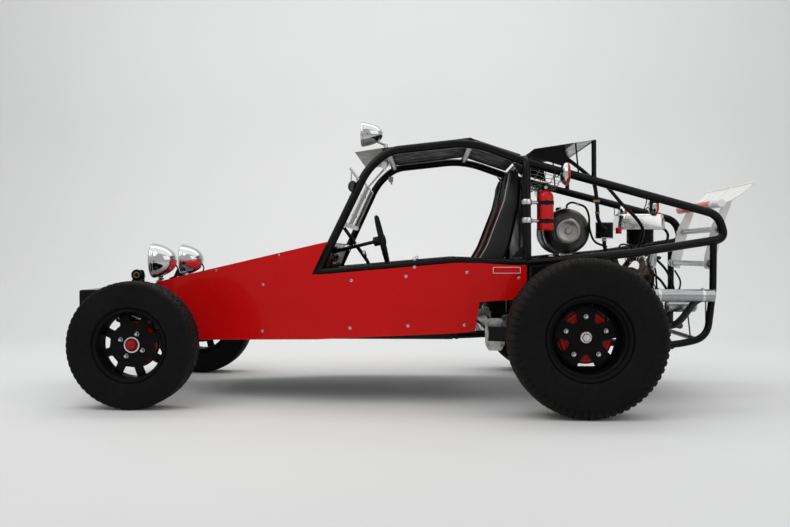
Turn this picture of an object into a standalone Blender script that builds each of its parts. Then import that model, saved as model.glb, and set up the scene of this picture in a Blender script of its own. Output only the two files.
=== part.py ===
"""Two-seat sand rail: a tube-framed dune buggy with a rear air-cooled engine.

Places are metres in the car's frame: x runs rearward, y to the car's right and z up from the
ground. The rear axle stands at REAR_AXLE_X and the front axle a wheelbase ahead of it. The car's
empty then moves the whole so that the origin lies under the middle of it.
"""
import math

import bmesh
import bpy
from mathutils import Matrix, Vector

for old in list(bpy.data.objects):
    bpy.data.objects.remove(old, do_unlink=True)

# Clearances
SEAT_GAP = 0.0003
RUNNING_GAP = 0.0008
SIDES = (("left", -1), ("right", 1))

# Chassis layout
WHEELBASE = 2.275
REAR_AXLE_X = 2.275
FRONT_AXLE_X = REAR_AXLE_X - WHEELBASE
FRONT_TRACK = 1.46
REAR_TRACK = 1.83

# Tubes, as radii
MAIN_TUBE = 0.0225
RAIL_TUBE = 0.019
BRACE_TUBE = 0.013
TUBE_SIDES = 8
BRACE_SIDES = 6

# Stations along the car
BUMPER_X = FRONT_AXLE_X - 0.436
BEAM_X = FRONT_AXLE_X - 0.14
PANEL_FRONT_X = FRONT_AXLE_X + 0.215
PILLAR_FOOT_X = 0.93
PILLAR_BEND_X = 1.185
ROOF_FRONT_X = 1.297
ROOF_BEND_X = 1.74
WAIST_BEND_X = 1.66
TORSION_X = 1.864
HOOP_X = 2.03
DECK_REAR_X = 2.394
POST_X = 3.035
CAGE_END_X = 3.12
NOSE_POST_X = FRONT_AXLE_X + 0.05
COWL_PANEL_X = FRONT_AXLE_X + 0.075

# Half widths of the frame, to the tubes' centres
NOSE_HALF = 0.30
COWL_HALF = 0.58
ROOF_HALF = 0.50
HOOP_HALF = 0.56
HOOP_FOOT_HALF = 0.46
CAGE_HALF = 0.42

# Heights of the frame, to the tubes' centres
FLOOR_Z = 0.366
NOSE_TOP_Z = 0.615
COWL_TOP_Z = 0.835
PILLAR_FOOT_Z = 0.695
WAIST_Z = 0.757
WAIST_REAR_Z = 0.742
PILLAR_BEND_Z = 1.235
ROOF_FRONT_Z = 1.338
ROOF_BEND_Z = 1.385
HOOP_TOP_Z = 1.297
CAGE_TOP_Z = 1.0
CAGE_MID_Z = 0.862
CAGE_FOOT_Z = 0.31
SKID_Z = 0.335
LOW_BAR_X = 2.950
LOW_BAR_Z = 0.332
COWL_TOP_X = PILLAR_FOOT_X + (PILLAR_BEND_X - PILLAR_FOOT_X) * (
    (COWL_TOP_Z - PILLAR_FOOT_Z) / (PILLAR_BEND_Z - PILLAR_FOOT_Z))

# Front wheels
FRONT_TYRE_RADIUS = 0.326
FRONT_TYRE_HALF = 0.096
FRONT_RIM_RADIUS = 0.174
FRONT_RIM_HALF = 0.076
FRONT_DISC_OUT = 0.020
FRONT_DRUM_RADIUS = 0.118
FRONT_DRUM_DEPTH = 0.060
FRONT_WINDOWS = 8

# Rear wheels
REAR_TYRE_RADIUS = 0.386
REAR_TYRE_HALF = 0.136
REAR_RIM_RADIUS = 0.192
REAR_RIM_HALF = 0.112
REAR_DISC_OUT = -0.005
REAR_DRUM_RADIUS = 0.132
REAR_DRUM_DEPTH = 0.072
REAR_WINDOWS = 5

# What all four wheels share
FLANGE_HEIGHT = 0.015
RIM_WALL = 0.006
DISC_WALL = 0.008
HUB_BORE = 0.034
WHEEL_SEGMENTS = 24
RIM_SEGMENTS = 16

# Steering
KINGPIN_Y = FRONT_TRACK / 2.0 - 0.130
KINGPIN_RADIUS = 0.020
KINGPIN_HALF_HEIGHT = 0.060
STEERING_ARM = 0.110
STEERING_ARM_Z = 0.033
TIE_ROD_RADIUS = 0.009
RACK_X = FRONT_AXLE_X + STEERING_ARM
RACK_END_Y = KINGPIN_Y - 0.265
RACK_HALF = RACK_END_Y - 0.125
PINION_Y = -0.29 * RACK_HALF
RACK_FOOT_Y = 0.62 * RACK_HALF
RACK_END_GAP = 0.0025
RACK_BAR_RADIUS = 0.010
STEERING_WHEEL_RADIUS = 0.130
STEERING_RIM_RADIUS = 0.012
STEERING_WHEEL_X = 1.255
STEERING_WHEEL_Y = -0.280
STEERING_WHEEL_Z = 0.868
COLUMN_TILT = math.radians(13.6)
JOINT_X = 0.905

# Front suspension
BEAM_TUBE_RADIUS = 0.030
BEAM_UPPER_Z = 0.450
BEAM_LOWER_Z = 0.330
ARM_Y = KINGPIN_Y - 0.110
ARM_WIDTH = 0.030
FRONT_SHOCK_Y = ARM_Y - 0.035
TOWER_Y = ARM_Y - 0.090
TOWER_WALL = 0.018
SHOCK_TOP_X = FRONT_AXLE_X - 0.062
SHOCK_TOP_Z = 0.684
SHOCK_FOOT_X = FRONT_AXLE_X - 0.030
SHOCK_FOOT_Z = 0.436

# Rear drive line
TORSION_Z = 0.365
TORSION_RADIUS = 0.045
TORSION_HALF = 0.52
SHAFT_RADIUS = 0.015
CAP_WALL = 0.022
ARM_END_Y = REAR_TRACK / 2.0 - 0.150
FLANGE_Y = 0.155
SHOCK_LOW = (REAR_AXLE_X + 0.086, ARM_END_Y - 0.093, 0.404)
SHOCK_HIGH = (2.400, 0.552, 0.752)
BOOT_RADIUS = 0.052

# Engine
CRANK_Z = 0.43
CRANKCASE_FRONT_X = 2.47
CRANKCASE_LENGTH = 0.36
CRANKCASE_HALF = 0.115
BARREL_OUT_Y = 0.245
HEAD_OUT_Y = 0.335
COVER_OUT_Y = 0.385
SHROUD_TOP_Z = 0.765
SHROUD_LOW_Z = 0.545
SHROUD_X = 2.550
SHROUD_DEPTH = 0.100
FAN_Z = 0.652
CARB_X = 2.720
BREATHER_X = 2.500
BREATHER_Y = -0.200
TAIL_PIPE_Y = -0.475
TAIL_PIPE_Z = 0.570

# Tank, lamps and fittings
TANK_X = 2.292
TANK_Z = 0.918
TANK_RADIUS = 0.127
TANK_HALF = 0.25
HEADLAMP_RADIUS = 0.097
HEADLAMP_X = FRONT_AXLE_X + 0.02
HEADLAMP_Y = 0.305
HEADLAMP_Z = 0.753
ROOF_LAMP_RADIUS = 0.068
BOTTLE_X = 2.135
BOTTLE_Y = -0.470

# Wing
WING_HALF = 0.40
WING_LEAD_X = 3.09
WING_LEAD_Z = 1.055
WING_TAIL_X = 3.265
WING_TAIL_Z = 1.172
WING_WALL = 0.006
WING_ROLL_RADIUS = 0.024

WING_BAR_X = CAGE_END_X - 0.034
WING_BAR_Z = 0.925

# Bumper, deck, windscreen and roof lamp
BUMPER_Z = 0.530
BUMPER_HALF = 0.33
DECK_HALF = 0.470
SCREEN_LOW_Z = 0.955
SCREEN_HIGH_Z = 1.185
ROOF_LAMP_X = 1.194
ROOF_LAMP_Y = -0.36
ROOF_LAMP_Z = 1.445
VISOR_X = 1.12
VISOR_Z = 1.334
ROOF_SINK = 0.0009

# The seats
SEAT_Y = 0.272
SEAT_HALF = 0.215
SEAT_WALL = 0.050

# Sheets
PANEL_WALL = 0.003
FLOOR_WALL = 0.003
FLOOR_DROP = 0.0012


def principled(name, color, roughness, metallic=0.0):
    """A plain Principled material."""
    material = bpy.data.materials.new(name)
    material.use_nodes = True
    shader = material.node_tree.nodes["Principled BSDF"]
    shader.inputs["Base Color"].default_value = (*color, 1.0)
    shader.inputs["Roughness"].default_value = roughness
    shader.inputs["Metallic"].default_value = metallic
    return material


BLACK_PAINT = principled("black_paint", (0.018, 0.018, 0.020), 0.32)
RED_PAINT = principled("red_paint", (0.62, 0.030, 0.022), 0.35)
BLACK_RUBBER = principled("black_rubber", (0.028, 0.028, 0.029), 0.78)
WHEEL_BLACK = principled("wheel_black", (0.022, 0.022, 0.024), 0.38, 0.3)
DRUM_RED = principled("drum_red", (0.40, 0.035, 0.030), 0.45)
CHROME = principled("chrome", (0.80, 0.80, 0.82), 0.10, 1.0)
CAST_ALLOY = principled("cast_alloy", (0.46, 0.46, 0.46), 0.48, 1.0)
POLISHED_ALLOY = principled("polished_alloy", (0.72, 0.72, 0.70), 0.22, 1.0)
PLAIN_STEEL = principled("plain_steel", (0.40, 0.40, 0.41), 0.35, 1.0)
WHITE_PAINT = principled("white_paint", (0.78, 0.78, 0.77), 0.35)
DARK_ENGINE = principled("dark_engine", (0.10, 0.045, 0.035), 0.55)
SEAT_BLACK = principled("seat_black", (0.020, 0.020, 0.022), 0.55)
CLEAR_GLASS = principled("clear_glass", (0.75, 0.80, 0.80), 0.05)


def empty(name, place, parent=None):
    """An empty at a place given in its parent's frame."""
    marker = bpy.data.objects.new(name, None)
    bpy.context.scene.collection.objects.link(marker)
    marker.parent = parent
    marker.location = place
    return marker


def solid(name, bm, material=None):
    """An object from a bmesh, with its faces turned outward."""
    bmesh.ops.recalc_face_normals(bm, faces=bm.faces[:])
    mesh = bpy.data.meshes.new(name)
    bm.to_mesh(mesh)
    bm.free()
    piece = bpy.data.objects.new(name, mesh)
    bpy.context.scene.collection.objects.link(piece)
    if material:
        mesh.materials.append(material)
    return piece


def finish(piece, name, material, parent, place=(0.0, 0.0, 0.0)):
    """Name a finished piece, shade it and hang it on its parent."""
    piece.name = name
    piece.data.name = name
    piece.data.materials.clear()
    piece.data.materials.append(material)
    piece.data.shade_smooth()
    piece.data.set_sharp_from_angle(angle=math.radians(32))
    piece.parent = parent
    piece.location = place
    return piece


def bake(piece):
    """Replace a piece's mesh by what its modifiers make of it."""
    graph = bpy.context.evaluated_depsgraph_get()
    mesh = bpy.data.meshes.new_from_object(piece.evaluated_get(graph))
    piece.modifiers.clear()
    piece.data = mesh


def combine(piece, tools, operation):
    """Join or cut a piece by other closed pieces, one after the other."""
    for tool in tools:
        step = piece.modifiers.new(operation, "BOOLEAN")
        step.operation = operation
        step.solver = "EXACT"
        step.object = tool
        bake(piece)
        bpy.data.objects.remove(tool, do_unlink=True)
    return piece


def fuse(pieces):
    """One closed body from pieces that overlap."""
    return combine(pieces[0], pieces[1:], "UNION")


def gather(pieces):
    """Pieces that don't touch, as one object, for a single cut."""
    bm = bmesh.new()
    for piece in pieces:
        bm.from_mesh(piece.data)
        bpy.data.objects.remove(piece, do_unlink=True)
    return solid("gathered", bm)


def cut(piece, tools):
    """Take other pieces out of a piece."""
    return combine(piece, tools, "DIFFERENCE")


def box(center, size, turn=None):
    """A block by its centre and full size, with an optional turn about its centre."""
    bm = bmesh.new()
    place = Matrix.Translation(center)
    if turn is not None:
        place = place @ turn
    bmesh.ops.create_cube(bm, size=1.0, matrix=place @ Matrix.Diagonal((*size, 1.0)))
    return solid("box", bm)


def prism(outline, near, far, axis="y"):
    """A flat outline drawn out along an axis, from near to far.

    The outline's pairs are (x, z) along y, (y, z) along x and (x, y) along z.
    """
    def corner(pair, along):
        if axis == "y":
            return (pair[0], along, pair[1])
        if axis == "x":
            return (along, pair[0], pair[1])
        return (pair[0], pair[1], along)
    bm = bmesh.new()
    first = [bm.verts.new(corner(pair, near)) for pair in outline]
    last = [bm.verts.new(corner(pair, far)) for pair in outline]
    bm.faces.new(first)
    bm.faces.new(last)
    for i in range(len(outline)):
        j = (i + 1) % len(outline)
        bm.faces.new((first[i], first[j], last[j], last[i]))
    return solid("prism", bm)


def slab(outline, normal, thickness):
    """A sheet: a flat outline of 3-D points, drawn out along a direction."""
    step = Vector(normal).normalized() * thickness
    bm = bmesh.new()
    first = [bm.verts.new(Vector(point)) for point in outline]
    last = [bm.verts.new(Vector(point) + step) for point in outline]
    bm.faces.new(first)
    bm.faces.new(last)
    for i in range(len(outline)):
        j = (i + 1) % len(outline)
        bm.faces.new((first[i], first[j], last[j], last[i]))
    return solid("slab", bm)


def turned(profile, place=(0.0, 0.0, 0.0), axis=(0.0, 1.0, 0.0), segments=24, closed=False):
    """A turned solid: (radius, along) pairs about an axis through a place.

    An open profile starts and ends on the axis, at radius 0; a closed one is a ring's section.
    """
    turn = Vector((0.0, 0.0, 1.0)).rotation_difference(Vector(axis).normalized()).to_matrix().to_4x4()
    move = Matrix.Translation(place) @ turn
    bm = bmesh.new()
    rings = []
    for radius, along in profile:
        if radius == 0.0:
            rings.append([bm.verts.new(move @ Vector((0.0, 0.0, along)))])
            continue
        ring = []
        for i in range(segments):
            angle = 2.0 * math.pi * i / segments
            point = Vector((radius * math.cos(angle), radius * math.sin(angle), along))
            ring.append(bm.verts.new(move @ point))
        rings.append(ring)
    pairs = list(zip(rings, rings[1:]))
    if closed:
        pairs.append((rings[-1], rings[0]))
    for low, high in pairs:
        for i in range(segments):
            j = (i + 1) % segments
            if len(low) == 1:
                bm.faces.new((low[0], high[j], high[i]))
            elif len(high) == 1:
                bm.faces.new((low[i], low[j], high[0]))
            else:
                bm.faces.new((low[i], low[j], high[j], high[i]))
    return solid("turned", bm)


def rod(start, end, radius, end_radius=None, sides=TUBE_SIDES):
    """A straight round bar between two points, tapered if it has a second radius."""
    start = Vector(start)
    end = Vector(end)
    length = (end - start).length
    profile = ((0.0, 0.0), (radius, 0.0), (end_radius or radius, length), (0.0, length))
    return turned(profile, start, end - start, sides)


def bent(corners, bend, steps=2):
    """A route whose inner corners are rounded to a bend radius."""
    corners = [Vector(corner) for corner in corners]
    route = [corners[0]]
    for before, corner, after in zip(corners, corners[1:], corners[2:]):
        back = (before - corner).normalized()
        ahead = (after - corner).normalized()
        half = back.angle(ahead) / 2.0
        reach = bend / math.tan(half)
        limit = 0.45 * min((before - corner).length, (after - corner).length)
        reach = min(reach, limit)
        radius = reach * math.tan(half)
        middle = corner + (back + ahead).normalized() * (radius / math.sin(half))
        start = corner + back * reach - middle
        end = corner + ahead * reach - middle
        sweep = start.angle(end)
        for step in range(steps + 1):
            share = step / steps
            weight_start = math.sin((1.0 - share) * sweep) / math.sin(sweep)
            weight_end = math.sin(share * sweep) / math.sin(sweep)
            route.append(middle + start * weight_start + end * weight_end)
    route.append(corners[-1])
    return route


def tube(route, radius, sides=None):
    """A round tube along a route, mitred at its corners; thin ones get fewer sides."""
    sides = sides or (TUBE_SIDES if radius > 0.021 else BRACE_SIDES)
    route = [Vector(point) for point in route]
    heading = (route[1] - route[0]).normalized()
    across = heading.orthogonal().normalized()
    bm = bmesh.new()
    rings = []
    for i, point in enumerate(route):
        arriving = (point - route[i - 1]).normalized() if i else heading
        leaving = (route[i + 1] - point).normalized() if i + 1 < len(route) else arriving
        mitre = (arriving + leaving).normalized()
        across = (across - arriving * across.dot(arriving)).normalized()
        up = arriving.cross(across)
        ring = []
        for k in range(sides):
            angle = 2.0 * math.pi * (k + 0.5) / sides
            arm = (across * math.cos(angle) + up * math.sin(angle)) * radius
            slide = -arm.dot(mitre) / arriving.dot(mitre)
            ring.append(bm.verts.new(point + arm + arriving * slide))
        rings.append(ring)
    for low, high in zip(rings, rings[1:]):
        for k in range(sides):
            j = (k + 1) % sides
            bm.faces.new((low[k], low[j], high[j], high[k]))
    bm.faces.new(rings[0])
    bm.faces.new(rings[-1])
    return solid("tube", bm)


# Frame joints: name, then x, half width and height of the tubes' centres
JOINTS = {
    "nose_top": (FRONT_AXLE_X, NOSE_HALF, NOSE_TOP_Z),
    "cowl_top": (COWL_TOP_X, COWL_HALF - 0.02, COWL_TOP_Z),
    "pillar_foot": (PILLAR_FOOT_X, COWL_HALF, PILLAR_FOOT_Z),
    "pillar_bend": (PILLAR_BEND_X, ROOF_HALF + 0.01, PILLAR_BEND_Z),
    "roof_front": (ROOF_FRONT_X, ROOF_HALF, ROOF_FRONT_Z),
    "roof_bend": (ROOF_BEND_X, ROOF_HALF, ROOF_BEND_Z),
    "hoop_top": (HOOP_X, ROOF_HALF, HOOP_TOP_Z),
    "hoop_seat": (HOOP_X, ROOF_HALF - 0.016, HOOP_TOP_Z - 0.018),
    "hoop_waist": (HOOP_X, HOOP_HALF, WAIST_REAR_Z),
    "hoop_knee": (HOOP_X, HOOP_FOOT_HALF, 0.47),
    "hoop_foot": (HOOP_X, HOOP_FOOT_HALF, SKID_Z + RAIL_TUBE + SEAT_GAP),
    "waist_bend": (WAIST_BEND_X, COWL_HALF, WAIST_Z),
    "nose_low": (BEAM_X + 0.06, 0.20, FLOOR_Z - 0.011),
    "floor_front": (PANEL_FRONT_X, NOSE_HALF + 0.05, FLOOR_Z - 0.031),
    "floor_cowl": (PILLAR_FOOT_X, COWL_HALF, FLOOR_Z),
    "floor_rear": (WAIST_BEND_X, COWL_HALF, FLOOR_Z),
    "floor_end": (TORSION_X, HOOP_FOOT_HALF, TORSION_Z),
    "rail_end": (CAGE_END_X - 0.06, CAGE_HALF, CAGE_TOP_Z),
    "loop_end": (CAGE_END_X - 0.02, CAGE_HALF, CAGE_MID_Z + 0.01),
    "rail_mid": (2.60, 0.47, 0.795),
    "post_mid": (POST_X, CAGE_HALF, 0.60),
    "post_bend": (POST_X - 0.03, CAGE_HALF, CAGE_FOOT_Z + 0.03),
    "skid_rear": (2.82, CAGE_HALF, CAGE_FOOT_Z - 0.01),
    "skid_front": (HOOP_X + 0.05, HOOP_FOOT_HALF, SKID_Z),
    "skid_end": (TORSION_X, HOOP_FOOT_HALF, SKID_Z),
}


def joint(name, side):
    """A frame joint on one side."""
    x, half, z = JOINTS[name]
    return Vector((x, side * half, z))


def between(first, last, x, side):
    """The point at x on the straight tube between two joints."""
    start = joint(first, side)
    end = joint(last, side)
    return start.lerp(end, (x - start.x) / (end.x - start.x))


def strut(foot, seat, radius):
    """A tube between two tubes' centres, stopped just short of the second one's centre."""
    foot = Vector(foot)
    seat = Vector(seat)
    return tube([foot, seat + (foot - seat).normalized() * 0.5 * radius], radius)


def side_tube(names, side, radius, bend=0.0):
    """A tube through named joints on one side."""
    route = [joint(name, side) for name in names]
    if bend:
        route = bent(route, bend)
    return tube(route, radius)


def cross_tube(name, radius):
    """A tube straight across the car between the two sides' joints."""
    return tube([joint(name, -1), joint(name, 1)], radius)


def main_hoop(radius):
    """The main roll hoop behind the seats: up one side, over and down the other."""
    names = ("hoop_foot", "hoop_knee", "hoop_waist", "hoop_top")
    route = [joint(name, -1) for name in names] + [joint(name, 1) for name in reversed(names)]
    return tube(bent(route, 0.065), radius)


def cage_tubes(extra=0.0):
    """Roof, windscreen pillars, waist and cowl tubes with the main hoop."""
    pieces = [main_hoop(MAIN_TUBE + extra)]
    for _, side in SIDES:
        roof = ("pillar_foot", "pillar_bend", "roof_front", "roof_bend", "hoop_seat")
        waist = ("pillar_foot", "waist_bend", "hoop_waist")
        pieces.append(side_tube(roof, side, MAIN_TUBE + extra, 0.12))
        pieces.append(side_tube(waist, side, RAIL_TUBE + extra))
        pieces.append(side_tube(("nose_top", "cowl_top"), side, RAIL_TUBE + extra))
    for name in ("roof_front", "roof_bend", "pillar_foot", "cowl_top", "nose_top", "hoop_waist"):
        pieces.append(cross_tube(name, RAIL_TUBE + extra))
    return pieces


def lower_tubes(extra=0.0):
    """Floor rails, their cross tubes and the posts up to the cowl and waist."""
    pieces = []
    for _, side in SIDES:
        rail = ("nose_low", "floor_front", "floor_cowl", "floor_rear", "floor_end")
        pieces.append(side_tube(rail, side, RAIL_TUBE + extra, 0.10))
        nose_seat = between("nose_top", "cowl_top", NOSE_POST_X, side)
        panel_seat = between("nose_top", "cowl_top", PANEL_FRONT_X, side)
        waist_seat = joint("waist_bend", side)
        cowl_seat = between("pillar_foot", "waist_bend", PILLAR_FOOT_X + 0.03, side)
        pieces.append(strut(joint("nose_low", side), nose_seat, RAIL_TUBE + extra))
        pieces.append(strut(joint("floor_front", side), panel_seat, BRACE_TUBE + extra))
        pieces.append(strut(joint("floor_cowl", side), cowl_seat, BRACE_TUBE + extra))
        pieces.append(strut(joint("floor_rear", side), waist_seat, BRACE_TUBE + extra))
    for name in ("nose_low", "floor_front", "floor_cowl", "floor_rear"):
        pieces.append(cross_tube(name, RAIL_TUBE + extra))
    return pieces


def engine_tubes():
    """Rear rails, their end loops, posts and skid rails round the engine."""
    pieces = []
    for _, side in SIDES:
        loop = ("hoop_seat", "rail_end", "loop_end", "rail_mid", "hoop_waist")
        skid = ("post_mid", "post_bend", "skid_rear", "skid_front", "skid_end")
        pieces.append(side_tube(loop, side, MAIN_TUBE, 0.070))
        pieces.append(side_tube(skid, side, RAIL_TUBE, 0.10))
        low_seat = between("rail_mid", "loop_end", POST_X, side)
        pieces.append(strut(joint("post_mid", side), low_seat, RAIL_TUBE))
    pieces.append(cross_tube("skid_rear", RAIL_TUBE))
    pieces.append(tube([(LOW_BAR_X, -CAGE_HALF, LOW_BAR_Z), (LOW_BAR_X, CAGE_HALF, LOW_BAR_Z)], BRACE_TUBE))
    tank_rail = between("rail_mid", "hoop_waist", TANK_X, 1)
    pieces.append(tube([(TANK_X, -tank_rail.y, tank_rail.z), tank_rail], RAIL_TUBE))
    return pieces


def torsion_tube(extra=0.0):
    """The rear torsion housing's cross tube."""
    return rod((TORSION_X, -TORSION_HALF, TORSION_Z), (TORSION_X, TORSION_HALF, TORSION_Z),
               TORSION_RADIUS + extra, sides=14)


def build_frame(car):
    """The welded frame as three nodes, each cut to seat on the last."""
    finish(fuse(cage_tubes()), "roll_cage", BLACK_PAINT, car)
    lower = cut(fuse(lower_tubes()), cage_tubes(SEAT_GAP) + [torsion_tube(SEAT_GAP)])
    finish(lower, "lower_frame", BLACK_PAINT, car)
    engine = cut(fuse(engine_tubes()), cage_tubes(3.0 * SEAT_GAP) + [torsion_tube(SEAT_GAP)])
    finish(engine, "engine_cage", BLACK_PAINT, car)


def tyre(radius, half, rim_radius, rim_half):
    """A tyre as a closed ring that seats between its rim's flanges."""
    bead = rim_radius + 0.0025
    lip = rim_radius + FLANGE_HEIGHT + 0.001
    inside = rim_half - RIM_WALL - 0.0015
    side = (
        (bead, inside - 0.004),
        (lip, inside),
        (rim_radius + 0.50 * (radius - rim_radius), half),
        (radius - 0.016, half - 0.004),
        (radius - 0.002, half - 0.021),
    )
    profile = list(side) + [(radius, 0.0)] + [(r, -along) for r, along in reversed(side)]
    return turned(profile, segments=WHEEL_SEGMENTS, closed=True)


def rim(rim_radius, rim_half, disc_out, seat_radius, outward):
    """A steel wheel: barrel, flanges and a disc at its offset, with its windows uncut."""
    flange = rim_radius + FLANGE_HEIGHT
    well = rim_radius - 0.016
    half = rim_half
    profile = (
        (flange, half),
        (flange, half - RIM_WALL * 0.6),
        (rim_radius, half - RIM_WALL),
        (well, disc_out),
        (rim_radius, -half + RIM_WALL),
        (flange, -half + RIM_WALL * 0.6),
        (flange, -half),
        (rim_radius - RIM_WALL, -half + RIM_WALL * 0.5),
        (well - RIM_WALL, disc_out - 0.010),
        (seat_radius, disc_out),
        (HUB_BORE, disc_out),
        (HUB_BORE, disc_out + DISC_WALL),
        (well - 0.020, disc_out + DISC_WALL),
        (rim_radius - RIM_WALL, half - RIM_WALL * 0.5),
    )
    section = [(radius, outward * along) for radius, along in profile]
    return turned(section, segments=RIM_SEGMENTS, closed=True)


def windows(count, inner, outer, inner_half, outer_half, first_angle):
    """Cutters for a wheel's windows, each wider at its outer end."""
    cutters = []
    for i in range(count):
        angle = first_angle + 2.0 * math.pi * i / count
        outline = []
        for radius, half in ((inner, -inner_half), (outer, -outer_half), (outer, outer_half),
                             (inner, inner_half)):
            outline.append((radius * math.cos(angle) - half * math.sin(angle),
                            radius * math.sin(angle) + half * math.cos(angle)))
        cutters.append(prism(outline, -0.2, 0.2))
    return gather(cutters)


def drum(radius, depth, disc_out, outward):
    """A brake drum behind the wheel's disc, with its dust cap through the bore."""
    face = disc_out - SEAT_GAP
    cap = HUB_BORE - 0.004
    profile = (
        (0.0, face + 0.036),
        (cap - 0.006, face + 0.034),
        (cap, face + 0.026),
        (cap, face),
        (radius * 0.90, face),
        (radius, face - 0.012),
        (radius, face - depth),
        (radius - 0.010, face - depth),
        (radius - 0.012, face - 0.030),
        (0.0, face - 0.030),
    )
    return turned([(r, outward * along) for r, along in profile], segments=12)


def build_front_corner(car, word, side):
    """Knuckle, drum, rim and tyre of one front wheel; returns their empties."""
    pin = empty("kingpin_axis_" + word, (FRONT_AXLE_X, side * KINGPIN_Y, FRONT_TYRE_RADIUS), car)
    wheel_y = side * (FRONT_TRACK / 2.0 - KINGPIN_Y)
    hub = empty("front_axle_" + word, (0.0, wheel_y, 0.0), pin)
    plate_y = wheel_y + side * (FRONT_DISC_OUT - FRONT_DRUM_DEPTH - RUNNING_GAP)
    spindle = turned(((0.0, -KINGPIN_HALF_HEIGHT), (KINGPIN_RADIUS, -KINGPIN_HALF_HEIGHT),
                      (KINGPIN_RADIUS, KINGPIN_HALF_HEIGHT), (0.0, KINGPIN_HALF_HEIGHT)),
                     axis=(0.0, 0.0, 1.0), segments=14)
    plate = rod((0.0, plate_y, 0.0), (0.0, plate_y - side * 0.004, 0.0), FRONT_DRUM_RADIUS + 0.006,
                sides=16)
    stub = rod((0.0, 0.0, 0.0), (0.0, plate_y - side * 0.002, 0.0), 0.022, sides=10)
    arm = prism(((-0.027, -0.013), (-0.027, 0.013), (STEERING_ARM, 0.012), (STEERING_ARM + 0.012, 0.006),
                 (STEERING_ARM + 0.012, -0.006), (STEERING_ARM, -0.012)),
                STEERING_ARM_Z - 0.008, STEERING_ARM_Z + 0.008, "z")
    knuckle = fuse([spindle, plate, stub, arm])
    finish(knuckle, "knuckle_" + word, BLACK_PAINT, pin)
    finish(drum(FRONT_DRUM_RADIUS, FRONT_DRUM_DEPTH, FRONT_DISC_OUT, side),
           "front_drum_" + word, DRUM_RED, hub)
    wheel = rim(FRONT_RIM_RADIUS, FRONT_RIM_HALF, FRONT_DISC_OUT, FRONT_DRUM_RADIUS + 0.006, side)
    wheel = cut(wheel, [windows(FRONT_WINDOWS, 0.106, 0.145, 0.021, 0.034, math.radians(41))])
    finish(wheel, "front_rim_" + word, WHEEL_BLACK, hub)
    finish(tyre(FRONT_TYRE_RADIUS, FRONT_TYRE_HALF, FRONT_RIM_RADIUS, FRONT_RIM_HALF),
           "front_tyre_" + word, BLACK_RUBBER, hub)
    build_tie_rod(pin, word, side)


def build_tie_rod(pin, word, side):
    """A tie rod from the steering arm's eye to the rack's end."""
    eye = empty("tie_rod_axis_" + word, (STEERING_ARM, 0.0, 0.0), pin)
    lift = STEERING_ARM_Z + 0.026
    seat = STEERING_ARM_Z + 0.008 + SEAT_GAP
    inner = side * (RACK_END_Y - KINGPIN_Y)
    ball = turned(((0.0, seat), (0.011, seat), (0.014, lift - 0.008), (0.014, lift + 0.007),
                   (0.010, lift + 0.013), (0.0, lift + 0.013)), axis=(0.0, 0.0, 1.0), segments=8)
    shank = rod((0.0, 0.0, lift), (0.0, inner, lift), TIE_ROD_RADIUS, sides=BRACE_SIDES)
    sleeve = rod((0.0, inner * 0.30, lift), (0.0, inner * 0.72, lift), TIE_ROD_RADIUS + 0.003,
                 sides=BRACE_SIDES)
    finish(fuse([ball, shank, sleeve]), "tie_rod_" + word, PLAIN_STEEL, eye)


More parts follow.
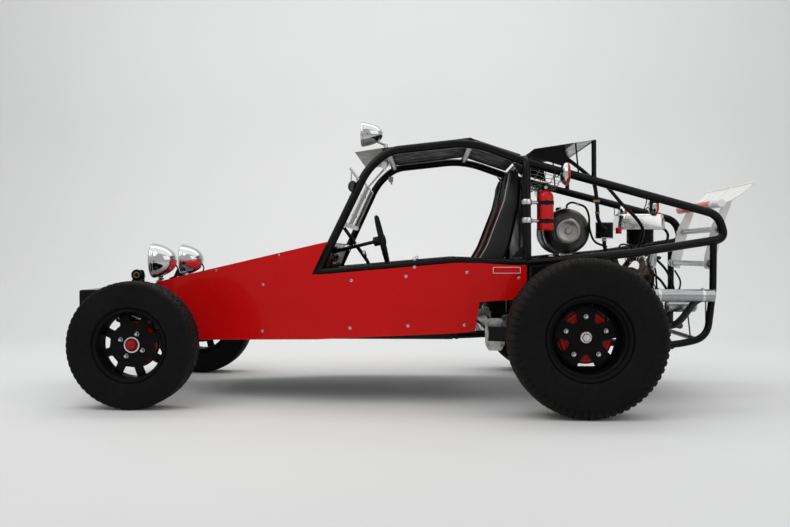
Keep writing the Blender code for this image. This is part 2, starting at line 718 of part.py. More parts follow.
def build_front_beam(car):
    """Torsion beam: two cross tubes, end towers, trailing arms and king-pin carriers."""
    pieces = []
    for height in (BEAM_UPPER_Z, BEAM_LOWER_Z):
        pieces.append(rod((BEAM_X, -ARM_Y - 0.02, height), (BEAM_X, ARM_Y + 0.02, height),
                          BEAM_TUBE_RADIUS))
    top = FRONT_TYRE_RADIUS + KINGPIN_HALF_HEIGHT + RUNNING_GAP / 2.0
    low = FRONT_TYRE_RADIUS - KINGPIN_HALF_HEIGHT - RUNNING_GAP / 2.0
    for _, side in SIDES:
        tower = ((BEAM_X - 0.036, BEAM_LOWER_Z - 0.037), (BEAM_X + 0.036, BEAM_LOWER_Z - 0.037),
                 (BEAM_X + 0.036, BEAM_UPPER_Z + 0.05), (SHOCK_TOP_X + 0.022, SHOCK_TOP_Z - 0.016),
                 (SHOCK_TOP_X + 0.012, SHOCK_TOP_Z + 0.022), (SHOCK_TOP_X - 0.024, SHOCK_TOP_Z + 0.014),
                 (BEAM_X - 0.036, BEAM_UPPER_Z + 0.05))
        pieces.append(prism(tower, side * TOWER_Y, side * (TOWER_Y + TOWER_WALL)))
        pieces.append(rod((SHOCK_TOP_X, side * (TOWER_Y + 0.005), SHOCK_TOP_Z),
                          (SHOCK_TOP_X, side * (FRONT_SHOCK_Y + 0.025), SHOCK_TOP_Z), 0.012))
        pieces.append(rod((SHOCK_FOOT_X, side * (FRONT_SHOCK_Y - 0.025), SHOCK_FOOT_Z),
                          (SHOCK_FOOT_X, side * (ARM_Y - 0.004), SHOCK_FOOT_Z), 0.012))
        for height, end in ((BEAM_UPPER_Z, top + 0.012), (BEAM_LOWER_Z, low - 0.012)):
            arm = ((BEAM_X, height - 0.026), (BEAM_X, height + 0.026), (FRONT_AXLE_X, end + 0.018),
                   (FRONT_AXLE_X + 0.022, end), (FRONT_AXLE_X, end - 0.018))
            pieces.append(prism(arm, side * (ARM_Y - ARM_WIDTH / 2.0), side * (ARM_Y + ARM_WIDTH / 2.0)))
            lug = (FRONT_AXLE_X, side * (ARM_Y + KINGPIN_Y + 0.03) / 2.0, end)
            pieces.append(box(lug, (0.044, KINGPIN_Y + 0.03 - ARM_Y, 0.024)))
        pieces.append(box((FRONT_AXLE_X, side * (ARM_Y + 0.037), FRONT_TYRE_RADIUS),
                          (0.036, 0.030, top - low + 0.04)))
        pieces.append(box((BEAM_X + 0.0325, side * 0.080, JOINTS["nose_low"][2] - 0.006),
                          (0.065, 0.030, 0.030)))
    beam = cut(fuse(pieces), [cross_tube("nose_low", RAIL_TUBE + SEAT_GAP)])
    return finish(beam, "front_beam", BLACK_PAINT, car)


def shock(name, car, low, high, radius, coil_radius):
    """A coil-over damper between two eyes, its coil as a ribbed sleeve."""
    low = Vector(low)
    high = Vector(high)
    length = (high - low).length
    turns = 3
    spring_low = 0.24 * length
    spring_high = 0.86 * length
    profile = [(0.0, 0.0), (radius * 0.28, 0.003), (radius * 0.62, 0.014), (radius * 0.62, 0.16 * length),
               (radius, 0.17 * length), (radius, spring_low - 0.002)]
    pitch = (spring_high - spring_low) / turns
    for i in range(turns):
        start = spring_low + i * pitch
        profile += [(radius, start), (coil_radius, start + 0.5 * pitch)]
    profile += [(coil_radius, spring_high), (coil_radius, spring_high + 0.008),
                (radius * 0.45, spring_high + 0.008), (radius * 0.45, length - 0.008),
                (radius * 0.20, length - 0.002), (0.0, length)]
    return finish(turned(profile, low, high - low, 8), name, BLACK_PAINT, car)


def build_shocks(car):
    """Front and rear coil-over dampers, on their towers and arms."""
    for word, side in SIDES:
        low = (SHOCK_FOOT_X, side * FRONT_SHOCK_Y, SHOCK_FOOT_Z + 0.012 + SEAT_GAP)
        high = (SHOCK_TOP_X, side * FRONT_SHOCK_Y, SHOCK_TOP_Z - 0.012 - SEAT_GAP)
        shock("front_shock_" + word, car, low, high, 0.021, 0.031)
        low = (SHOCK_LOW[0], side * SHOCK_LOW[1], SHOCK_LOW[2])
        high = (SHOCK_HIGH[0], side * SHOCK_HIGH[1], SHOCK_HIGH[2])
        shock("rear_shock_" + word, car, low, high, 0.026, 0.042)


def build_panels(car):
    """Flat side panels, the cowl over the driver's feet, the floor and the dash."""
    nose_y = NOSE_HALF + RAIL_TUBE + SEAT_GAP
    cowl_y = COWL_HALF + MAIN_TUBE + SEAT_GAP
    hoop_y = HOOP_HALF + MAIN_TUBE + SEAT_GAP
    foot_z = PILLAR_FOOT_Z - 0.012
    # Panel sections: x, distance out, lower edge, upper edge
    sections = (
        (FRONT_AXLE_X, nose_y, 0.580, 0.634),
        (PANEL_FRONT_X, nose_y + 0.062, 0.320, 0.684),
        (PILLAR_FOOT_X, cowl_y, 0.345, 0.842),
        (PILLAR_FOOT_X + 0.061, cowl_y, 0.348, 0.855),
        (PILLAR_FOOT_X + 0.062, cowl_y, 0.348, foot_z + 0.004),
        (WAIST_BEND_X, cowl_y, 0.378, WAIST_Z - 0.012),
        (1.756, cowl_y - 0.010, 0.388, WAIST_Z - 0.014),
        (1.780, cowl_y - 0.013, 0.540, WAIST_Z - 0.014),
        (1.953, hoop_y + 0.006, 0.552, WAIST_REAR_Z - 0.010),
        (HOOP_X - 0.005, hoop_y, 0.650, WAIST_REAR_Z - 0.010),
    )
    # The pillar stands clear behind the panel's slanted upper edge
    edge = ((PILLAR_FOOT_X - 0.027, foot_z), (PILLAR_FOOT_X + 0.0565, foot_z + 0.177),
            (PILLAR_FOOT_X + 0.063, foot_z + 0.20), (PILLAR_FOOT_X + 0.063, foot_z + 0.0041),
            (PILLAR_FOOT_X + 0.010, foot_z))
    for word, side in SIDES:
        panel = sheet_loft(sections, side, PANEL_WALL)
        panel = cut(panel, [prism(edge, side * (cowl_y - 0.08), side * (cowl_y + 0.02))])
        finish(panel, "side_panel_" + word, RED_PAINT, car)


def sheet_loft(sections, side, wall):
    """A sheet through upright strips given as x, distance out, lower and upper edge."""
    bm = bmesh.new()
    inner = []
    outer = []
    for x, y, low, high in sections:
        inner.append((bm.verts.new((x, side * y, low)), bm.verts.new((x, side * y, high))))
        outer.append((bm.verts.new((x, side * (y + wall), low)),
                      bm.verts.new((x, side * (y + wall), high))))
    for row in (inner, outer):
        for (low_a, high_a), (low_b, high_b) in zip(row, row[1:]):
            bm.faces.new((low_a, low_b, high_b, high_a))
    for i in range(len(sections) - 1):
        for k in (0, 1):
            bm.faces.new((inner[i][k], inner[i + 1][k], outer[i + 1][k], outer[i][k]))
    for i in (0, len(sections) - 1):
        bm.faces.new((inner[i][0], inner[i][1], outer[i][1], outer[i][0]))
    return solid("sheet", bm)


def build_rear_corner(car, word, side):
    """Trailing arm, drum, rim, tyre and drive shaft of one rear wheel."""
    axle = (REAR_AXLE_X, side * REAR_TRACK / 2.0, REAR_TYRE_RADIUS)
    hub = empty("rear_axle_" + word, axle, car)
    finish(drum(REAR_DRUM_RADIUS, REAR_DRUM_DEPTH, REAR_DISC_OUT, side),
           "rear_drum_" + word, DRUM_RED, hub)
    wheel = rim(REAR_RIM_RADIUS, REAR_RIM_HALF, REAR_DISC_OUT, REAR_DRUM_RADIUS + 0.006, side)
    wheel = cut(wheel, [windows(REAR_WINDOWS, 0.083, 0.138, 0.010, 0.044, math.radians(54))])
    finish(wheel, "rear_rim_" + word, WHEEL_BLACK, hub)
    finish(tyre(REAR_TYRE_RADIUS, REAR_TYRE_HALF, REAR_RIM_RADIUS, REAR_RIM_HALF),
           "rear_tyre_" + word, BLACK_RUBBER, hub)

    drum_back = REAR_TRACK / 2.0 + REAR_DISC_OUT - REAR_DRUM_DEPTH
    plate_y = drum_back - RUNNING_GAP
    carrier_y = ARM_END_Y - 0.055
    plan = ((TORSION_X - 0.040, TORSION_HALF + CAP_WALL + SEAT_GAP),
            (TORSION_X - 0.040, TORSION_HALF + CAP_WALL + 0.035),
            (REAR_AXLE_X - 0.10, ARM_END_Y), (REAR_AXLE_X + 0.075, ARM_END_Y),
            (REAR_AXLE_X + 0.075, carrier_y), (REAR_AXLE_X - 0.08, carrier_y),
            (TORSION_X + 0.050, TORSION_HALF + CAP_WALL + SEAT_GAP))
    plan = [(x, side * y) for x, y in plan]
    arm = prism(plan, TORSION_Z - 0.030, TORSION_Z + 0.046, "z")
    carrier = rod((REAR_AXLE_X, side * (carrier_y - 0.006), REAR_TYRE_RADIUS),
                  (REAR_AXLE_X, side * (plate_y - 0.002), REAR_TYRE_RADIUS), 0.058, sides=12)
    plate = rod((REAR_AXLE_X, side * (plate_y - 0.004), REAR_TYRE_RADIUS),
                (REAR_AXLE_X, side * plate_y, REAR_TYRE_RADIUS), REAR_DRUM_RADIUS + 0.006, sides=16)
    eye_top = SHOCK_LOW[2] - SEAT_GAP
    eye = box((SHOCK_LOW[0] - 0.003, side * (carrier_y - 0.016), eye_top - 0.011), (0.050, 0.080, 0.022))
    finish(fuse([arm, eye, carrier, plate]), "trailing_arm_" + word, BLACK_PAINT, car)

    inner = FLANGE_Y + RUNNING_GAP - REAR_TRACK / 2.0
    outer = carrier_y - 0.006 - RUNNING_GAP - REAR_TRACK / 2.0
    profile = ((0.0, inner), (0.050, inner), (0.050, inner + 0.040), (0.024, inner + 0.080),
               (SHAFT_RADIUS, inner + 0.086), (SHAFT_RADIUS, outer - 0.086),
               (0.024, outer - 0.080), (0.050, outer - 0.040), (0.050, outer), (0.0, outer))
    shaft = turned([(r, side * along) for r, along in profile], segments=10)
    finish(shaft, "axle_shaft_" + word, BLACK_RUBBER, hub)


def build_torsion_housing(car):
    """The rear torsion tube with the cast covers at its ends."""
    pieces = [torsion_tube()]
    outline = ((-0.052, -0.050), (-0.034, -0.086), (0.034, -0.086), (0.052, -0.050),
               (0.052, 0.050), (0.034, 0.086), (-0.034, 0.086), (-0.052, 0.050))
    for _, side in SIDES:
        cover = [(TORSION_X + x, TORSION_Z + z) for x, z in outline]
        pieces.append(prism(cover, side * (TORSION_HALF - 0.004), side * (TORSION_HALF + CAP_WALL)))
    finish(fuse(pieces), "torsion_housing", CAST_ALLOY, car)


def build_sheets(car):
    """Cowl, floor, dash, roof, rear deck and windscreen."""
    lift = RAIL_TUBE + SEAT_GAP
    nose = JOINTS["nose_top"]
    cowl = JOINTS["cowl_top"]
    rise = Vector((nose[2] - cowl[2], 0.0, cowl[0] - nose[0]))
    rise.normalize()
    front = between("nose_top", "cowl_top", COWL_PANEL_X, 1)
    hood = [Vector((front.x, -front.y, front.z)), Vector((front.x, front.y, front.z)),
            Vector((cowl[0] - 0.03, cowl[1], cowl[2] - 0.007)),
            Vector((cowl[0] - 0.03, -cowl[1], cowl[2] - 0.007))]
    hood = [point + rise * lift for point in hood]
    finish(slab(hood, rise, PANEL_WALL), "cowl_panel", RED_PAINT, car)

    bm = bmesh.new()
    rings = []
    for x, half, rail_z in ((PANEL_FRONT_X, 0.34, JOINTS["floor_front"][2]),
                            (PILLAR_FOOT_X, 0.57, FLOOR_Z), (WAIST_BEND_X - 0.02, 0.57, FLOOR_Z)):
        high = rail_z - RAIL_TUBE - SEAT_GAP - FLOOR_DROP
        low = high - FLOOR_WALL
        corners = ((x, -half, low), (x, half, low), (x, half, high), (x, -half, high))
        rings.append([bm.verts.new(corner) for corner in corners])
    for first, last in zip(rings, rings[1:]):
        for i in range(4):
            j = (i + 1) % 4
            bm.faces.new((first[i], first[j], last[j], last[i]))
    bm.faces.new(rings[0])
    bm.faces.new(rings[-1])
    finish(solid("sheet", bm), "floor_pan", BLACK_PAINT, car)

    dash_low = PILLAR_FOOT_Z + RAIL_TUBE + SEAT_GAP
    dash_high = COWL_TOP_Z - RAIL_TUBE - SEAT_GAP
    dash_x = 0.945
    dash = prism(((dash_x, dash_low), (dash_x + 0.035, dash_high), (dash_x + 0.039, dash_high),
                  (dash_x + 0.004, dash_low)), -0.535, 0.535)
    hole = rod((dash_x - 0.05, STEERING_WHEEL_Y, column_z(dash_x - 0.05)),
               (dash_x + 0.10, STEERING_WHEEL_Y, column_z(dash_x + 0.10)), 0.019)
    finish(cut(dash, [hole]), "dash_panel", BLACK_PAINT, car)

    half = ROOF_HALF - MAIN_TUBE - 0.001
    lift = RAIL_TUBE - ROOF_SINK
    line = ((VISOR_X, VISOR_Z), (ROOF_FRONT_X - 0.035, ROOF_FRONT_Z + lift),
            (ROOF_FRONT_X, ROOF_FRONT_Z + lift), (ROOF_BEND_X, ROOF_BEND_Z + lift + 0.004),
            (HOOP_X - MAIN_TUBE - 0.004, HOOP_TOP_Z + lift + 0.004))
    roof = [(x, z) for x, z in line] + [(x, z + PANEL_WALL) for x, z in reversed(line)]
    finish(prism(roof, -half, half), "roof_panel", BLACK_PAINT, car)


def build_windscreen(car):
    """A glass pane between the pillars, with its lower bar and centre post."""
    foot = joint("pillar_foot", 1)
    head = joint("pillar_bend", 1)
    low = foot.lerp(head, (SCREEN_LOW_Z - foot.z) / (head.z - foot.z))
    high = foot.lerp(head, (SCREEN_HIGH_Z - foot.z) / (head.z - foot.z))
    low.y -= MAIN_TUBE + 0.006
    high.y -= MAIN_TUBE + 0.006
    normal = Vector((high.z - low.z, 0.0, low.x - high.x)).normalized()
    pane = slab([(low.x, -low.y, low.z), (low.x, low.y, low.z), (high.x, high.y, high.z),
                 (high.x, -high.y, high.z)], normal, 0.006)
    up = (high - low).normalized()
    turn = Matrix.Rotation(math.atan2(high.x - low.x, high.z - low.z), 4, "Y")
    bar = box((low.x, 0.0, low.z), (0.024, 2.0 * low.y, 0.026), turn)
    middle = (low + high) / 2.0
    post = box((middle.x, 0.0, middle.z), (0.020, 0.034, (high - low).length), turn)
    clips = []
    for _, side in SIDES:
        seat = low + up * 0.02
        clips.append(box((seat.x, side * (seat.y + 0.006), seat.z), (0.016, 0.022, 0.024), turn))
    screen = fuse([bar, post, pane] + clips)
    pillars = [side_tube(("pillar_foot", "pillar_bend"), side, MAIN_TUBE + SEAT_GAP) for _, side in SIDES]
    finish(cut(screen, pillars), "windscreen", CLEAR_GLASS, car)


def build_rear_deck(car):
    """The sheet that runs on behind the hoop's top, on two posts."""
    front = (HOOP_X + 0.046, HOOP_TOP_Z + 0.055)
    rear = (DECK_REAR_X, HOOP_TOP_Z + 0.102)
    foot = (HOOP_X + 0.004, HOOP_TOP_Z + MAIN_TUBE + SEAT_GAP)
    section = (foot, (foot[0] + 0.004, foot[1]), (front[0] + 0.002, front[1] - 0.003),
               (rear[0] + 0.012, rear[1] - 0.003), (rear[0] + 0.012, rear[1] + 0.001), front)
    pieces = [prism(section, -DECK_HALF, DECK_HALF)]
    for _, side in SIDES:
        rail = between("hoop_seat", "rail_end", DECK_REAR_X, side)
        head = (DECK_REAR_X, side * (DECK_HALF - 0.016), rear[1] - 0.002)
        pieces.append(tube([(rail.x, rail.y, rail.z + 0.004), head], BRACE_TUBE))
    deck = fuse(pieces)
    rails = [side_tube(("hoop_seat", "rail_end"), side, MAIN_TUBE + SEAT_GAP) for _, side in SIDES]
    finish(cut(deck, rails), "rear_deck", BLACK_PAINT, car)


def build_front_bumper(car):
    """The black box bumper on two arms from the frame's nose."""
    outline = ((BUMPER_X, BUMPER_Z - 0.050), (BUMPER_X, BUMPER_Z + 0.055),
               (BUMPER_X + 0.012, BUMPER_Z + 0.060), (BUMPER_X + 0.115, BUMPER_Z + 0.060),
               (BUMPER_X + 0.115, BUMPER_Z - 0.060), (BUMPER_X + 0.012, BUMPER_Z - 0.060))
    pieces = [prism(outline, -BUMPER_HALF, BUMPER_HALF)]
    low = JOINTS["nose_low"]
    for _, side in SIDES:
        top = between("nose_top", "cowl_top", NOSE_POST_X, side)
        foot = Vector((low[0], side * low[1], low[2]))
        seat = foot.lerp(top, (BUMPER_Z - foot.z) / (top.z - foot.z))
        pieces.append(strut((BUMPER_X + 0.10, seat.y, seat.z), seat, RAIL_TUBE))
    bumper = fuse(pieces)
    finish(cut(bumper, lower_tubes(SEAT_GAP)), "front_bumper", BLACK_PAINT, car)


def lamp_bowl(radius, front, back, place, segments=12):
    """A round lamp facing forward: rim, slightly crowned lens and bullet bowl."""
    profile = ((0.0, front - 0.006), (radius * 0.5, front - 0.004), (radius * 0.90, front),
               (radius, front + 0.006), (radius * 0.97, front + 0.026),
               (radius * 0.93, front + 0.35 * (back - front)),
               (radius * 0.67, front + 0.72 * (back - front)),
               (radius * 0.32, front + 0.94 * (back - front)), (0.0, back))
    return turned(profile, place, (1.0, 0.0, 0.0), segments)


def build_lamps(car):
    """Headlamps, roof lamp and the four rear lamps, each with its bracket."""
    for word, side in SIDES:
        bowl = lamp_bowl(HEADLAMP_RADIUS, -0.049, 0.090, (HEADLAMP_X, side * HEADLAMP_Y, HEADLAMP_Z))
        stalk = rod((JOINTS["nose_top"][0], side * 0.27, NOSE_TOP_Z + 0.5 * RAIL_TUBE),
                    (HEADLAMP_X, side * 0.29, HEADLAMP_Z - 0.06), 0.013)
        nose = [cross_tube("nose_top", RAIL_TUBE + SEAT_GAP),
                side_tube(("nose_top", "cowl_top"), side, RAIL_TUBE + SEAT_GAP)]
        finish(cut(fuse([bowl, stalk]), nose), "headlamp_" + word, CHROME, car)
    lamp = lamp_bowl(ROOF_LAMP_RADIUS, -0.050, 0.072, (ROOF_LAMP_X, ROOF_LAMP_Y, ROOF_LAMP_Z))
    foot_x = ROOF_FRONT_X - 0.018
    foot_z = ROOF_FRONT_Z + RAIL_TUBE - ROOF_SINK + PANEL_WALL + SEAT_GAP
    foot = rod((foot_x, ROOF_LAMP_Y, foot_z), (foot_x, ROOF_LAMP_Y, foot_z + 0.040), 0.012)
    stalk = rod((foot_x, ROOF_LAMP_Y, foot_z + 0.030),
                (ROOF_LAMP_X + 0.015, ROOF_LAMP_Y, ROOF_LAMP_Z - 0.020), 0.009)
    finish(fuse([lamp, foot, stalk]), "roof_lamp", CHROME, car)
    # Rear lamps: name, radius, x, distance out, height
    table = (("tail_lamp", 0.052, 2.722, 0.390, 1.046), ("brake_lamp", 0.062, 2.222, 0.575, 1.207))
    for name, radius, x, y, z in table:
        for word, side in SIDES:
            profile = ((0.0, -0.030), (radius * 0.7, -0.028), (radius * 0.92, -0.012),
                       (radius, 0.008), (radius, 0.016), (radius * 0.86, 0.022), (0.0, 0.026))
            disc = turned(profile, (x, side * y, z), (1.0, 0.0, 0.0), 12)
            seat = between("hoop_seat", "rail_end", x, side)
            bracket = strut((x, side * y, z), seat, 0.008)
            lamp = cut(fuse([disc, bracket]), [side_tube(("hoop_seat", "rail_end"), side,
                                                         MAIN_TUBE + SEAT_GAP)])
            finish(lamp, name + "_" + word, CHROME, car)


def build_wing(car):
    """The rear wing with rolled edges, its cross bars and its tapered struts."""
    lead = Vector((WING_LEAD_X, 0.0, WING_LEAD_Z))
    tail = Vector((WING_TAIL_X, 0.0, WING_TAIL_Z))
    along = (tail - lead).normalized()
    normal = Vector((-along.z, 0.0, along.x))
    middle = (lead + tail) / 2.0
    camber = normal * -0.012
    line = [lead, middle + camber, tail]
    section = [(p.x, p.z) for p in line] + [((p + normal * WING_WALL).x, (p + normal * WING_WALL).z)
                                            for p in reversed(line)]
    blade = prism(section, -WING_HALF, WING_HALF)
    roll = lead + normal * (WING_ROLL_RADIUS * 0.4)
    tube_edge = rod((roll.x, -WING_HALF - 0.003, roll.z), (roll.x, WING_HALF + 0.003, roll.z),
                    WING_ROLL_RADIUS, sides=12)
    edge = rod((tail.x - 0.006, -WING_HALF - 0.002, tail.z), (tail.x - 0.006, WING_HALF + 0.002, tail.z),
               0.009, sides=8)
    finish(fuse([blade, tube_edge, edge]), "wing", WHITE_PAINT, car)

    pieces = []
    for x, z in ((WING_BAR_X, WING_BAR_Z), (POST_X, 0.736)):
        reach = CAGE_HALF + 0.002
        collar = ((0.016, reach - 0.060), (0.025, reach - 0.060), (0.025, reach - 0.030),
                  (0.016, reach - 0.030), (0.016, reach), (0.0, reach))
        profile = [(r, -along) for r, along in reversed(collar)] + list(collar)
        pieces.append(turned(profile, (x, 0.0, z), (0.0, 1.0, 0.0), BRACE_SIDES))
    first = (middle + camber - lead).normalized()
    under = lead - normal * (SEAT_GAP + 0.0002)
    strut_top = [under + first * 0.030, under + first * 0.085]
    plate = ((POST_X - 0.020, 0.712), (POST_X + 0.030, 0.700), (3.086, 0.800), (3.122, 0.960),
             (strut_top[1].x, strut_top[1].z - 0.014), (strut_top[1].x, strut_top[1].z),
             (strut_top[0].x, strut_top[0].z), (WING_BAR_X - 0.030, 0.950), (POST_X - 0.020, 0.770))
    for _, side in SIDES:
        pieces.append(prism(plate, side * 0.330, side * 0.335))
    mount = fuse(pieces)
    blockers = [wing_blockers(side) for _, side in SIDES]
    blockers.append(rod((roll.x, -WING_HALF, roll.z), (roll.x, WING_HALF, roll.z),
                        WING_ROLL_RADIUS + SEAT_GAP, sides=12))
    for _, side in SIDES:
        low_seat = between("rail_mid", "loop_end", POST_X, side)
        blockers.append(tube([joint("post_mid", side), low_seat], RAIL_TUBE + SEAT_GAP))
    finish(cut(mount, blockers), "wing_mount", WHITE_PAINT, car)


def wing_blockers(side):
    """One side's end loop of the rear cage, with a seating gap."""
    loop = ("hoop_seat", "rail_end", "loop_end", "rail_mid", "hoop_waist")
    return side_tube(loop, side, MAIN_TUBE + SEAT_GAP, 0.070)


def build_driveline(car):
    """Transaxle, crankcase with its barrels and heads, shroud, intake and exhaust."""
    axis = REAR_TYRE_RADIUS
    gearbox = turned(((0.0, 1.945), (0.046, 1.945), (0.052, 2.00), (0.078, 2.03), (0.082, 2.16),
                      (0.105, 2.20), (0.108, 2.32), (0.100, 2.40), (0.0, 2.40)),
                     (0.0, 0.0, axis), (1.0, 0.0, 0.0), 12)
    bell = turned(((0.0, 2.330), (0.100, 2.330), (0.128, 2.420), (0.134, 2.4697), (0.0, 2.4697)),
                  (0.0, 0.0, CRANK_Z - 0.010), (1.0, 0.0, 0.0), 12)
    flange = rod((REAR_AXLE_X, -FLANGE_Y, axis), (REAR_AXLE_X, FLANGE_Y, axis), 0.054, sides=12)
    nose = box(((TORSION_X + 1.97) / 2.0, 0.0, TORSION_Z + 0.010), (1.97 - TORSION_X, 0.090, 0.060))
    gearbox = cut(fuse([gearbox, flange, bell, nose]), [torsion_tube(SEAT_GAP)])
    finish(gearbox, "transaxle", CAST_ALLOY, car)

    case_end = CRANKCASE_FRONT_X + CRANKCASE_LENGTH
    block = ((-CRANKCASE_HALF, CRANK_Z - 0.080), (-CRANKCASE_HALF + 0.035, CRANK_Z - 0.100),
             (CRANKCASE_HALF - 0.035, CRANK_Z - 0.100), (CRANKCASE_HALF, CRANK_Z - 0.080),
             (CRANKCASE_HALF, CRANK_Z + 0.062), (0.060, CRANK_Z + 0.100), (-0.060, CRANK_Z + 0.100),
             (-CRANKCASE_HALF, CRANK_Z + 0.062))
    pieces = [prism(block, CRANKCASE_FRONT_X, case_end, "x")]
    head_x = CRANKCASE_FRONT_X + 0.5 * CRANKCASE_LENGTH
    for _, side in SIDES:
        for x in (head_x - 0.068, head_x + 0.068):
            profile = [(0.0, CRANKCASE_HALF - 0.01), (0.046, CRANKCASE_HALF - 0.01)]
            for i in range(3):
                y = CRANKCASE_HALF + 0.012 + i * 0.040
                profile += [(0.046, y), (0.062, y + 0.018)]
            profile += [(0.046, BARREL_OUT_Y + 0.006), (0.0, BARREL_OUT_Y + 0.006)]
            turn = [(r, side * along) for r, along in profile]
            pieces.append(turned(turn, (x, 0.0, CRANK_Z), (0.0, 1.0, 0.0), 8))
        middle = (BARREL_OUT_Y + HEAD_OUT_Y) / 2.0
        pieces.append(box((head_x, side * middle, CRANK_Z), (0.290, HEAD_OUT_Y - BARREL_OUT_Y, 0.150)))
        cover = ((-0.125, -0.055), (0.125, -0.055), (0.125, 0.040), (0.105, 0.055), (-0.105, 0.055),
                 (-0.125, 0.040))
        outline = [(head_x + x, CRANK_Z - 0.004 + z) for x, z in cover]
        pieces.append(prism(outline, side * (HEAD_OUT_Y - 0.006), side * COVER_OUT_Y))
    pulley = turned(((0.0, case_end - 0.01), (0.030, case_end - 0.01), (0.030, case_end + 0.018),
                     (0.084, case_end + 0.018), (0.084, case_end + 0.024), (0.074, case_end + 0.030),
                     (0.084, case_end + 0.036), (0.084, case_end + 0.042), (0.0, case_end + 0.042)),
                    (0.0, 0.0, CRANK_Z), (1.0, 0.0, 0.0), 12)
    finish(fuse(pieces + [pulley]), "engine", DARK_ENGINE, car)
    build_shroud(car)
    build_intake(car)
    build_exhaust(car)


def build_shroud(car):
    """The fan housing over the crankcase, its alternator with pulley and the breather."""
    half = 0.5 * SHROUD_DEPTH
    outline = ((-0.055, SHROUD_LOW_Z), (-0.055, CRANK_Z + 0.100 + SEAT_GAP),
               (0.055, CRANK_Z + 0.100 + SEAT_GAP), (0.055, SHROUD_LOW_Z), (0.330, SHROUD_LOW_Z),
               (0.330, 0.590), (0.185, 0.660), (0.140, 0.725), (0.075, SHROUD_TOP_Z),
               (-0.075, SHROUD_TOP_Z), (-0.140, 0.725), (-0.185, 0.660), (-0.330, 0.590),
               (-0.330, SHROUD_LOW_Z))
    housing = prism(outline, SHROUD_X - half, SHROUD_X + half, "x")
    back = SHROUD_X + half
    fan = turned(((0.0, SHROUD_X - half - 0.016), (0.030, SHROUD_X - half - 0.016),
                  (0.036, SHROUD_X - half - 0.004), (0.098, SHROUD_X - half - 0.004),
                  (0.104, SHROUD_X - half - 0.016), (0.112, SHROUD_X - half - 0.016),
                  (0.112, back - 0.01), (0.060, back + 0.004), (0.062, back + 0.130), (0.046, back + 0.160),
                  (0.016, back + 0.162), (0.016, back + 0.182), (0.074, back + 0.184),
                  (0.064, back + 0.198), (0.074, back + 0.212), (0.0, back + 0.212)),
                 (0.0, 0.0, FAN_Z), (1.0, 0.0, 0.0), 12)
    can = turned(((0.0, 0.877), (0.046, 0.877), (0.050, 0.882), (0.050, 0.962), (0.046, 0.968),
                  (0.0, 0.968)), (BREATHER_X, BREATHER_Y, 0.0), (0.0, 0.0, 1.0), 12)
    foot = tube(bent([(SHROUD_X, BREATHER_Y, 0.640), (SHROUD_X, BREATHER_Y, 0.760),
                      (BREATHER_X, BREATHER_Y, 0.820), (BREATHER_X, BREATHER_Y, 0.890)], 0.04), 0.011, 6)
    finish(fuse([housing, fan, foot, can]), "fan_shroud", BLACK_PAINT, car)


def build_intake(car):
    """The carburettor on its forked manifold, with the tapered air cleaner on top."""
    trunk = box((CARB_X, 0.0, 0.812), (0.090, 0.100, 0.110))
    base = turned(((0.0, 0.848), (0.070, 0.848), (0.078, 0.856), (0.078, 0.934), (0.0, 0.934)),
                  (CARB_X + 0.025, 0.0, 0.0), (0.0, 0.0, 1.0), 12)
    low_z = 0.930
    high_z = 1.020
    bm = bmesh.new()
    rings = []
    for z, front, rear, half in ((low_z, 2.597, 2.872, 0.112), (low_z + 0.012, 2.597, 2.872, 0.112),
                                 (high_z - 0.010, 2.608, 2.864, 0.100), (high_z, 2.620, 2.854, 0.088)):
        corner = 0.035
        plan = ((front, -half + corner), (front + corner, -half), (rear - corner, -half),
                (rear, -half + corner), (rear, half - corner), (rear - corner, half),
                (front + corner, half), (front, half - corner))
        rings.append([bm.verts.new((x, y, z)) for x, y in plan])
    for low, high in zip(rings, rings[1:]):
        for i in range(8):
            j = (i + 1) % 8
            bm.faces.new((low[i], low[j], high[j], high[i]))
    bm.faces.new(rings[0])
    bm.faces.new(rings[-1])
    lid = solid("lid", bm)
    pieces = [lid, base, trunk]
    runner_x = CRANKCASE_FRONT_X + 0.5 * CRANKCASE_LENGTH
    head_top = CRANK_Z + 0.075 + SEAT_GAP
    spine = tube([(CARB_X, -0.110, 0.768), (CARB_X, 0.110, 0.768)], 0.020)
    pieces.append(spine)
    for _, side in SIDES:
        route = [(CARB_X, side * 0.095, 0.768), (CARB_X - 0.004, side * 0.215, 0.730),
                 (runner_x, side * 0.292, 0.610), (runner_x, side * 0.292, head_top + 0.010)]
        pieces.append(tube(bent(route, 0.06), 0.0185))
        pieces.append(box((runner_x, side * 0.292, head_top + 0.008), (0.080, 0.050, 0.016)))
    finish(fuse(pieces), "intake", POLISHED_ALLOY, car)


